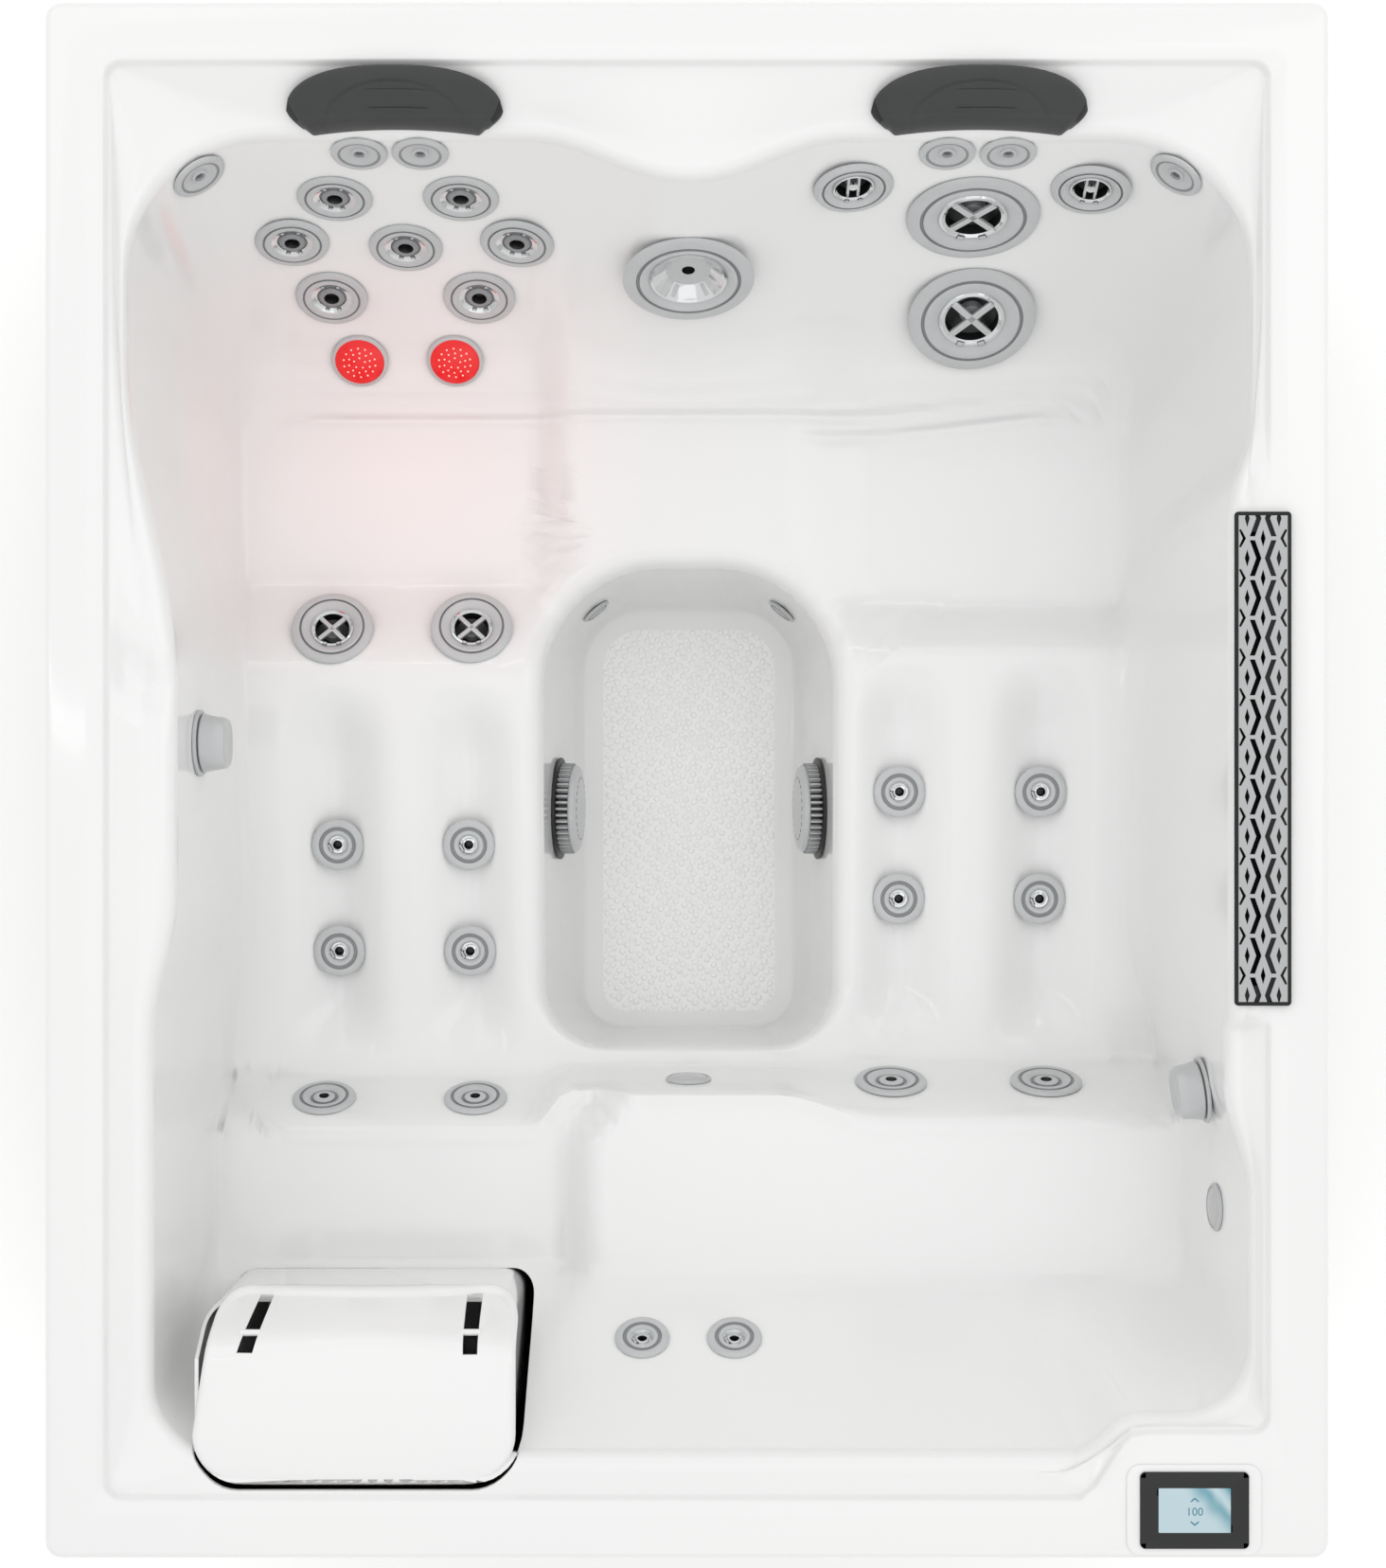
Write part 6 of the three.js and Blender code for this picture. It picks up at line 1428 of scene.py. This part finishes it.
def soft_slab(size, middle, low, high, corner, edge):
    """A flat slab with round corners and a softened upper edge."""
    form = bmesh.new()
    pose = Matrix.Translation((middle[0] * mm, middle[1] * mm, (low + high) / 2 * mm))
    bmesh.ops.create_cube(form, size=1, matrix=pose @ Matrix.Diagonal(
        (size[0] * mm, size[1] * mm, (high - low) * mm, 1)))
    upright = [e for e in form.edges if abs(e.verts[0].co.z - e.verts[1].co.z) > 0.1 * mm]
    bmesh.ops.bevel(form, geom=upright, offset=corner * mm, affect="EDGES", segments=8, profile=0.5, material=-1)
    top = [e for e in form.edges if all(v.co.z > (high - 0.1) * mm for v in e.verts)]
    bmesh.ops.bevel(form, geom=top, offset=edge * mm, affect="EDGES", segments=3, profile=0.5, material=-1)
    return form


new_piece("panel_pad", soft_slab(surround_size, (surround_x, surround_y), surround_low,
                                 surround_low + surround_thickness, 18, 1.6),
          [white_acrylic], nodes=["panel_surround"])
form = soft_slab(panel_size, (surround_x, surround_y), panel_low, panel_low + panel_thickness, 7, 0.9)
top_face = max(form.faces, key=lambda face: (round(face.calc_center_median().z, 6), face.calc_area()))
bmesh.ops.inset_region(form, faces=[top_face], thickness=21 * mm, depth=0)
bmesh.ops.translate(form, vec=(0, 0, -0.6 * mm), verts=top_face.verts)
new_piece("panel_bezel", form, [bore_black], nodes=["control_panel"])


def lit_display():
    """A lit display under glass: pale blue sky tones with a soft darker wave across its upper right."""
    material, tree, shader = new_material("lit_display_glass", {
        "Base Color": linear("#0a0c0d"), "Roughness": 0.08, "Emission Strength": 0.8})
    spot = add_node(tree, "ShaderNodeMapping",
                    {"Vector": object_place(tree), "Location": (-surround_x * mm, -surround_y * mm, 0)})
    wave = add_node(tree, "ShaderNodeTexWave", {"Vector": spot.outputs[0], "Scale": 1 / 0.09, "Distortion": 4.0,
                                                "Detail": 2.0, "Detail Scale": 1.5}, bands_direction="DIAGONAL")
    axes = add_node(tree, "ShaderNodeSeparateXYZ", {0: spot.outputs[0]})
    lean = add_node(tree, "ShaderNodeMath", {0: axes.outputs["Y"], 1: axes.outputs["X"]}, operation="ADD")
    corner = add_node(tree, "ShaderNodeMapRange",
                      {"Value": lean.outputs[0], "From Min": -0.005, "From Max": 0.05, "To Min": 0.0, "To Max": 1.0})
    amount = add_node(tree, "ShaderNodeMath", {0: wave.outputs["Fac"], 1: corner.outputs[0]}, operation="MULTIPLY")
    two_tones(tree, shader, amount.outputs[0], "#cfe6ee", "#4fa3b5", "Emission Color")
    return material


form = soft_slab(screen_size, (surround_x, surround_y), screen_level - 0.4, screen_level + 0.1, 1.2, 0.15)
new_piece("touch_screen", form, [lit_display()], nodes=["panel_screen"])
ink = moulded_plastic("display_ink", "#3d7f93", 0.3)
digits = bpy.data.curves.new("set_temperature", "FONT")
digits.body = "100"
digits.align_x = "CENTER"
digits.align_y = "CENTER"
digits.size = 15 * mm
digits.extrude = 0.1 * mm
digits_object = bpy.data.objects.new("set_temperature_text", digits)
bpy.context.collection.objects.link(digits_object)
bpy.context.view_layer.update()
digits_mesh = bpy.data.meshes.new_from_object(
    digits_object.evaluated_get(bpy.context.evaluated_depsgraph_get()))
bpy.data.objects.remove(digits_object)
form = bmesh.new()
form.from_mesh(digits_mesh)
bmesh.ops.translate(form, vec=(surround_x * mm, (surround_y - 2) * mm, (screen_level + 0.15) * mm), verts=form.verts)
for y, sign in ((surround_y + 15, 1), (surround_y - 18, -1)):
    prism(form, [(surround_x - 6, y - 3 * sign), (surround_x, y + 2 * sign), (surround_x + 6, y - 3 * sign),
                 (surround_x + 4.4, y - 4 * sign), (surround_x, y - 0.4 * sign), (surround_x - 4.4, y - 4 * sign)],
          screen_level + 0.1, screen_level + 0.25)
bmesh.ops.recalc_face_normals(form, faces=form.faces)
new_piece("display_signs", form, [ink])
cut_block((surround_x - panel_box_size[0] / 2 - 1.5, panel_box_y - panel_box_size[1] / 2 - 1.5,
           lip_height - panel_box_height),
          (surround_x + panel_box_size[0] / 2 + 1.5, panel_box_y + panel_box_size[1] / 2 + 1.5, lip_height + 5))


# The filter lid: a white moulded cover, rounded all over, whose front slopes down to the mouth of the
# skimmer. Two slots with a pin across each let a hand lift it.
filter_box = (-650, -234, -922, -702)
filter_top = 860
filter_bottom = 252
lid_x = (-652, -226)
lid_back_y = -928
lid_front_y = -684
lid_front_z = 758
lid_top = 880
lid_crease_y = -728
lid_crease_bow = 15
lid_round = 11
lid_taper = 20
lid_front_radius = 40
lid_back_radius = 66
lid_gap = 3.2
lid_right_gap = 8.5
lid_wall = 5
lid_side_depth = 18
lid_crease_soft = 16
lid_crease_reach = 120
lid_centre_y = -806
lid_slots = ([(-593, -754), (-572, -754), (-557, -694), (-575, -694)],
             [(-295, -756), (-276, -756), (-276, -694), (-297, -694)])
pin_places = ((-577, -731), (-286, -731))
pin_radius = 4.5
pin_length = 27
top_rings = 16


def lid_outline(margin, right_margin, steps=10):
    """The lid from above: narrower at the front left, with round corners. Goes anticlockwise."""
    left, right = lid_x[0] - margin, lid_x[1] + right_margin
    back, front = lid_back_y - margin, lid_front_y + margin
    corners = [
        ((left + lid_back_radius, back + lid_back_radius), lid_back_radius, 180),
        ((right - lid_back_radius, back + lid_back_radius), lid_back_radius, 270),
        ((right - lid_front_radius, front - lid_front_radius), lid_front_radius, 0),
        ((left + lid_taper + lid_front_radius, front - lid_front_radius), lid_front_radius, 90),
    ]
    points = []
    for (x, y), radius, start in corners:
        for i in range(steps + 1):
            turn = math.radians(start + 90 * i / steps)
            points.append(Vector((x + radius * math.cos(turn), y + radius * math.sin(turn))))
    filled = []
    for a, b in zip(points, points[1:] + points[:1]):
        pieces = max(1, round((b - a).length / 9))
        filled += [a.lerp(b, i / pieces) for i in range(pieces)]
    return filled


def lid_height(x, y):
    middle = (lid_x[0] + lid_x[1]) / 2
    aside = (x - middle) / (lid_x[1] - middle)
    crease = lid_crease_y - lid_crease_bow * aside ** 2
    level = lid_top - 3 * abs(aside) ** 3 - 2 * ramp(y, crease - lid_crease_reach, lid_back_y)
    slope = (lid_top - lid_front_z - lid_round) / (lid_front_y - lid_crease_y)
    past = y - crease
    run = 0.5 * (past + math.hypot(past, lid_crease_soft))
    run -= 0.5 * (math.hypot(lid_crease_soft, lid_crease_reach) - lid_crease_reach)
    return level - slope * max(0.0, run)


outline = lid_outline(0, 0)
lid_centre = Vector(((lid_x[0] + lid_x[1]) / 2, lid_centre_y))
side_rows = [1.0, 0.66, 0.33, 0]
round_rows = [(lid_round * (1 - math.cos(t * math.pi / 16)), lid_round * (1 - math.sin(t * math.pi / 16)))
              for t in range(1, 9)]
form = bmesh.new()
lid_rows = len(side_rows) + len(round_rows) + top_rings
bmesh.ops.create_grid(form, x_segments=len(outline), y_segments=lid_rows - 1, size=1)
for vert in form.verts:
    column = round((vert.co.x + 1) / 2 * len(outline)) % len(outline)
    row = round((vert.co.y + 1) / 2 * (lid_rows - 1))
    point = outline[column]
    before, after = outline[column - 1], outline[(column + 1) % len(outline)]
    out = Vector((after.y - before.y, before.x - after.x)).normalized()
    rim = point - out * lid_round
    if row < len(side_rows):
        top = lid_height(rim.x, rim.y) - lid_round
        lowest = mix(filter_top + 0.3, lid_front_z, ramp(point.y, lid_crease_y - 12, lid_front_y))
        bottom = min(top, max(lowest, top - lid_side_depth))
        vert.co = Vector((point.x, point.y, mix(top, bottom, side_rows[row]))) * mm
    elif row < len(side_rows) + len(round_rows):
        inward, drop = round_rows[row - len(side_rows)]
        place = point - out * inward
        vert.co = Vector((place.x, place.y, lid_height(rim.x, rim.y) - drop)) * mm
    else:
        share = (row - len(side_rows) - len(round_rows) + 1) / top_rings
        place = rim.lerp(lid_centre, share)
        vert.co = Vector((place.x, place.y, lid_height(place.x, place.y))) * mm
bmesh.ops.remove_doubles(form, verts=form.verts, dist=0.01 * mm)
bmesh.ops.recalc_face_normals(form, faces=form.faces)
if sum(face.normal.z * face.calc_area() for face in form.faces) < 0:
    bmesh.ops.reverse_faces(form, faces=form.faces)
lid_piece = new_piece("filter_cover", form, [white_acrylic], body="filter_lid", nodes=["filter_lid"],
                      sharp_degrees=50)
wall_thickness = lid_piece.modifiers.new("wall", "SOLIDIFY")
wall_thickness.thickness = lid_wall * mm
wall_thickness.offset = -1
slots = bmesh.new()
for slot_outline in lid_slots:
    prism(slots, slot_outline, lid_front_z + 12, lip_height)
apply_cut(lid_piece, slots)
pins = bmesh.new()
for x, y in pin_places:
    pose = Matrix.Translation(Vector((x, y, lid_height(x, y) - 4)) * mm) @ Matrix.Rotation(math.pi / 2, 4, "Y")
    bmesh.ops.create_cone(pins, cap_ends=True, segments=16, radius1=pin_radius * mm, radius2=pin_radius * mm,
                          depth=pin_length * mm, matrix=pose)
new_piece("filter_cover_pins", pins, [white_acrylic], body="filter_lid")
prism(cutters, [tuple(point) for point in lid_outline(lid_gap, lid_right_gap)], filter_top - 5, lip_height + 5)


# The filter bucket: a white moulded tub with round corners, set in a hole of the shell. Its front wall slopes
# with the lid and has the mouth that water flows in by; two small lugs carry the weir's pin.
bucket_wall = 5
bucket_back_radius = 58
bucket_front_radius = 32
bucket_crease_y = -764
bucket_lip_z = 752
mouth_half_width = 110
mouth_low = 698
weir_y = -714.5
lug_size = (8, 15, 15)
bucket_drain_radius = 30
bucket_right_gap = 15
bucket_drain_y = -830
bucket_x = (filter_box[0] + filter_box[1]) / 2


def bucket_outline(margin, right_gap=0, steps=8):
    left, right, back, front = filter_box
    right += right_gap
    points = []
    for x, y, radius, start in (
            (left, back, bucket_back_radius, 180), (right, back, bucket_back_radius, 270),
            (right, front, bucket_front_radius, 0), (left, front, bucket_front_radius, 90)):
        inward_x = 1 if x == left else -1
        inward_y = 1 if y == back else -1
        for i in range(steps + 1):
            turn = math.radians(start + 90 * i / steps)
            points.append((x + inward_x * radius + (radius + margin) * math.cos(turn),
                           y + inward_y * radius + (radius + margin) * math.sin(turn)))
    return points


form = bmesh.new()
prism(form, bucket_outline(0), filter_bottom, filter_top)
bmesh.ops.recalc_face_normals(form, faces=form.faces)
slope = Vector((0, filter_top - bucket_lip_z, filter_box[3] - bucket_crease_y)).normalized()
cut = bmesh.ops.bisect_plane(form, geom=form.verts[:] + form.edges[:] + form.faces[:], clear_outer=True,
                             plane_co=(0, bucket_crease_y * mm, filter_top * mm), plane_no=slope)
bmesh.ops.holes_fill(form, edges=[item for item in cut["geom_cut"] if isinstance(item, bmesh.types.BMEdge)])
bucket = new_piece("filter_tub", form, [white_acrylic], nodes=["filter_bucket"])
hollow = bmesh.new()
prism(hollow, bucket_outline(-bucket_wall), filter_bottom + bucket_wall, lip_height)
apply_cut(bucket, hollow)
mouth = bmesh.new()
prism(mouth, rectangle((bucket_x - mouth_half_width, weir_y), (bucket_x + mouth_half_width, filter_box[3] + 5)),
      mouth_low, filter_top)
apply_cut(bucket, mouth)
drain = bmesh.new()
bmesh.ops.create_cone(drain, cap_ends=True, segments=32, radius1=bucket_drain_radius * mm,
                      radius2=bucket_drain_radius * mm, depth=20 * mm,
                      matrix=Matrix.Translation((bucket_x * mm, bucket_drain_y * mm, filter_bottom * mm)))
apply_cut(bucket, drain)
form = bmesh.new()
for side in (-1, 1):
    bar(form, 0, lug_size, 0, mouth_low + 8, (bucket_x + side * (mouth_half_width + lug_size[0] / 2), weir_y))
new_piece("weir_lugs", form, [white_acrylic])
prism(cutters, bucket_outline(0.3, bucket_right_gap), filter_bottom, lip_height + 5)


# The shell again, now that every fitting has its place: the sheet gets its thickness, and the holes are
# drilled and routed through it as they are in the real one.
# The second material, on the footwell floor, is painted lighter than the first: painted light.
shell_piece = new_piece("acrylic_shell", shell_form, [white_acrylic, lightened_tread_acrylic()], nodes=["shell"],
                        sharp_degrees=60)
shell_wall = shell_piece.modifiers.new("wall", "SOLIDIFY")
shell_wall.thickness = skin_thickness * mm
shell_wall.offset = -1
apply_cut(shell_piece, cutters, "MANIFOLD")


# The cabinet: panels of grey wood-grained polymer boards between corner posts. The boards are moulded in one
# with shadow grooves between them.
board_height = 103
groove_width = 4
groove_inset = 3


def grained_polymer():
    """Extruded polymer embossed with a wood grain: matt grey, with streaks along the boards."""
    material, tree, shader = new_material("wood_grained_polymer", {"Roughness": 0.55})
    grain = noise(tree, stretched_place(tree, (3, 3, 90)), 2.4, 6.0, Distortion=0.6)
    tones = two_tones(tree, shader, grain, "#5d5a56", "#7b7772")
    tones[0].position, tones[1].position = 0.3, 0.7
    bumpy(tree, shader, grain, 0.4, 0.0008)
    return material


boards = grained_polymer()


def board_panel(node):
    """A panel of boards in the box of its CAD node, split by grooves on its outer face."""
    low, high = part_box(node)
    form = bmesh.new()
    size = high - low
    bmesh.ops.create_cube(form, size=1, matrix=Matrix.Translation((low + high) / 2) @ Matrix.Diagonal((*size, 1)))
    middle = (low + high) / 2
    axis = 0 if size.x < size.y else 1
    outward = 1 if middle[axis] > 0 else -1
    for k in range(1, int(size.z / (board_height * mm)) + 1):
        for edge_z in (k * board_height, k * board_height + groove_width):
            level = low.z + edge_z * mm
            if level < high.z:
                bmesh.ops.bisect_plane(form, geom=form.verts[:] + form.edges[:] + form.faces[:],
                                       plane_co=(0, 0, level), plane_no=(0, 0, 1))
    face_level = high[axis] if outward > 0 else low[axis]
    grooves = [face for face in form.faces
               if abs(face.normal[axis]) > 0.9 and abs(face.calc_center_median()[axis] - face_level) < 0.1 * mm
               and face.calc_area() < size[1 - axis] * groove_width * 1.5 * mm]
    sunk = bmesh.ops.extrude_discrete_faces(form, faces=grooves)
    for face in sunk["faces"]:
        bmesh.ops.translate(form, vec=[-outward * groove_inset * mm if i == axis else 0 for i in range(3)],
                            verts=face.verts)
    bmesh.ops.recalc_face_normals(form, faces=form.faces)
    return form


for side in ("right", "left", "back", "front"):
    new_piece(f"{side}_boards", board_panel(f"{side}_panel"), [boards], nodes=[f"{side}_panel"],
              sharp_degrees=30)


# The corner posts: the same polymer extruded as an angle with a rounded outer corner, screwed over the ends of
# the panels.
post_leg = 62
post_thickness = 18
post_corner = 12


def smooth_polymer():
    """Extruded polymer, plain and matt: the grey of the boards, a little darker, with faint draw lines."""
    material, tree, shader = new_material("plain_grey_polymer", {"Roughness": 0.5})
    lines = noise(tree, stretched_place(tree, (160, 160, 2)), 1.0, 2.0)
    two_tones(tree, shader, lines, "#55524f", "#62605c")
    bumpy(tree, shader, lines, 0.2, 0.0004)
    return material


post_polymer = smooth_polymer()
for end, end_sign in (("front", -1), ("back", 1)):
    for side, side_sign in (("left", -1), ("right", 1)):
        low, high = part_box(f"{end}_{side}_post")
        corner_x = (high.x if side_sign > 0 else low.x) / mm
        corner_y = (high.y if end_sign > 0 else low.y) / mm
        outline = [(post_leg, 0), (post_leg, post_thickness), (post_thickness, post_thickness),
                   (post_thickness, post_leg), (0, post_leg)]
        for i in range(7):
            turn = math.radians(180 + 90 * i / 6)
            outline.append((post_corner * (1 + math.cos(turn)), post_corner * (1 + math.sin(turn))))
        form = bmesh.new()
        prism(form, [(corner_x - side_sign * x, corner_y - end_sign * y) for x, y in outline], low.z / mm,
              high.z / mm)
        bmesh.ops.recalc_face_normals(form, faces=form.faces)
        new_piece(f"{end}_{side}_corner_post", form, [post_polymer], nodes=[f"{end}_{side}_post"])


# The drain valve: a black nylon cap with a finger bar, on a threaded stem that passes through the front panel.
drain_stem = 13
drain_cap = 21
drain_cap_height = 15
drain_length = 60
low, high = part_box("drain_valve")
drain_pose = frame_at(Vector(((low.x + high.x) / 2, low.y + drain_cap_height * mm, (low.z + high.z) / 2)),
                      Vector((0, -1, 0)))
form = bmesh.new()
spun(form, 0, [(0, -drain_length), (drain_stem, -drain_length), (drain_stem, 0), (drain_cap - 0.8, 0),
               (drain_cap, 0.8), (drain_cap, 6), (drain_cap - 1.2, 7.4), (0, 7.8)])
bar(form, 0, (34, 6, 9), 0, drain_cap_height - 4.6, soft=1.4)
for i in range(24):
    bar(form, 0, (1.6, 2.6, 5), math.radians(15 * i), 3.4, (drain_cap - 0.7, 0), soft=0.4)
closed(form)
bmesh.ops.transform(form, matrix=drain_pose, verts=form.verts)
drain_nylon = moulded_plastic("black_nylon", "#1d1e20", 0.5)
new_piece("drain_cap", form, [drain_nylon], body="drain_valve", nodes=["drain_valve"])


# The works under the shell keep their CAD shapes: PVC pipes, a painted motor, a steel heater, plastic housings
# and a frame of sawn softwood on a black tray.
ring_spacing = 0.012
pleat_weave = 0.0016


def sawn_softwood():
    """Kiln-dried softwood from the band saw: pale and dry, with brown growth rings and a furry face."""
    material, tree, shader = new_material("sawn_softwood", {"Roughness": 0.75})
    place = object_place(tree)
    rings = add_node(tree, "ShaderNodeTexWave",
                     {"Vector": place, "Scale": 1 / ring_spacing / 6, "Distortion": 6.0, "Detail": 3.0,
                      "Detail Scale": 0.6}, bands_direction="DIAGONAL")
    two_tones(tree, shader, rings.outputs["Fac"], "#d9bb8c", "#b98f5a")
    bumpy(tree, shader, noise(tree, place, 1 / 0.003, 4.0), 0.4, 0.0006)
    return material


def brushed_stainless():
    """Stainless tube, brushed: a soft metal sheen with fine lines."""
    material, tree, shader = new_material("brushed_stainless", {"Metallic": 1.0})
    lines = noise(tree, stretched_place(tree, (8, 900, 900)), 1.0, 3.0)
    two_tones(tree, shader, lines, "#b4b6b8", "#cfd1d2")
    tree.links.new(ranged(tree, lines, 0.24, 0.4), shader.inputs["Roughness"])
    return material


def pleated_polyester():
    """Spun-bonded polyester, pleated: off-white and matt, with a fine felted texture and a trace of use."""
    material, tree, shader = new_material("pleated_polyester", {"Roughness": 0.85, "Sheen Weight": 0.2})
    place = object_place(tree)
    two_tones(tree, shader, noise(tree, place, 1 / 0.08, 2.0), "#dfe4e8", "#cfd6dc")
    bumpy(tree, shader, noise(tree, place, 1 / pleat_weave, 3.0), 0.35, 0.0005)
    return material


def dress(material, *nodes):
    """Gives CAD nodes that stay a finished material in their own slots."""
    for name in nodes:
        for holder in frame["nodes"][name].material_slots:
            holder.link = "OBJECT"
            holder.material = material


dress(matt_black, "waterfall_trough")
dress(deep_grey, "skimmer_weir")
dress(pleated_polyester(), "filter_cartridge")
dress(moulded_plastic("black_recycled_plastic", "#1a1b1c", 0.62), "base_tray")
dress(sawn_softwood(), "frame")
dress(moulded_plastic("grey_machine_paint", "#4c5359", 0.42), "pump_motor")
dress(moulded_plastic("black_glass_filled_nylon", "#1c1d1e", 0.48), "pump_wet_end")
dress(brushed_stainless(), "heater", "pump_rotor")
dress(moulded_plastic("dark_grey_abs", "#4b4e52", 0.5), "control_box", "ozone_generator")
dress(moulded_plastic("white_pvc", "#e4e4df", 0.35), "suction_pipes", "heater_feed_pipe", "pressure_main")
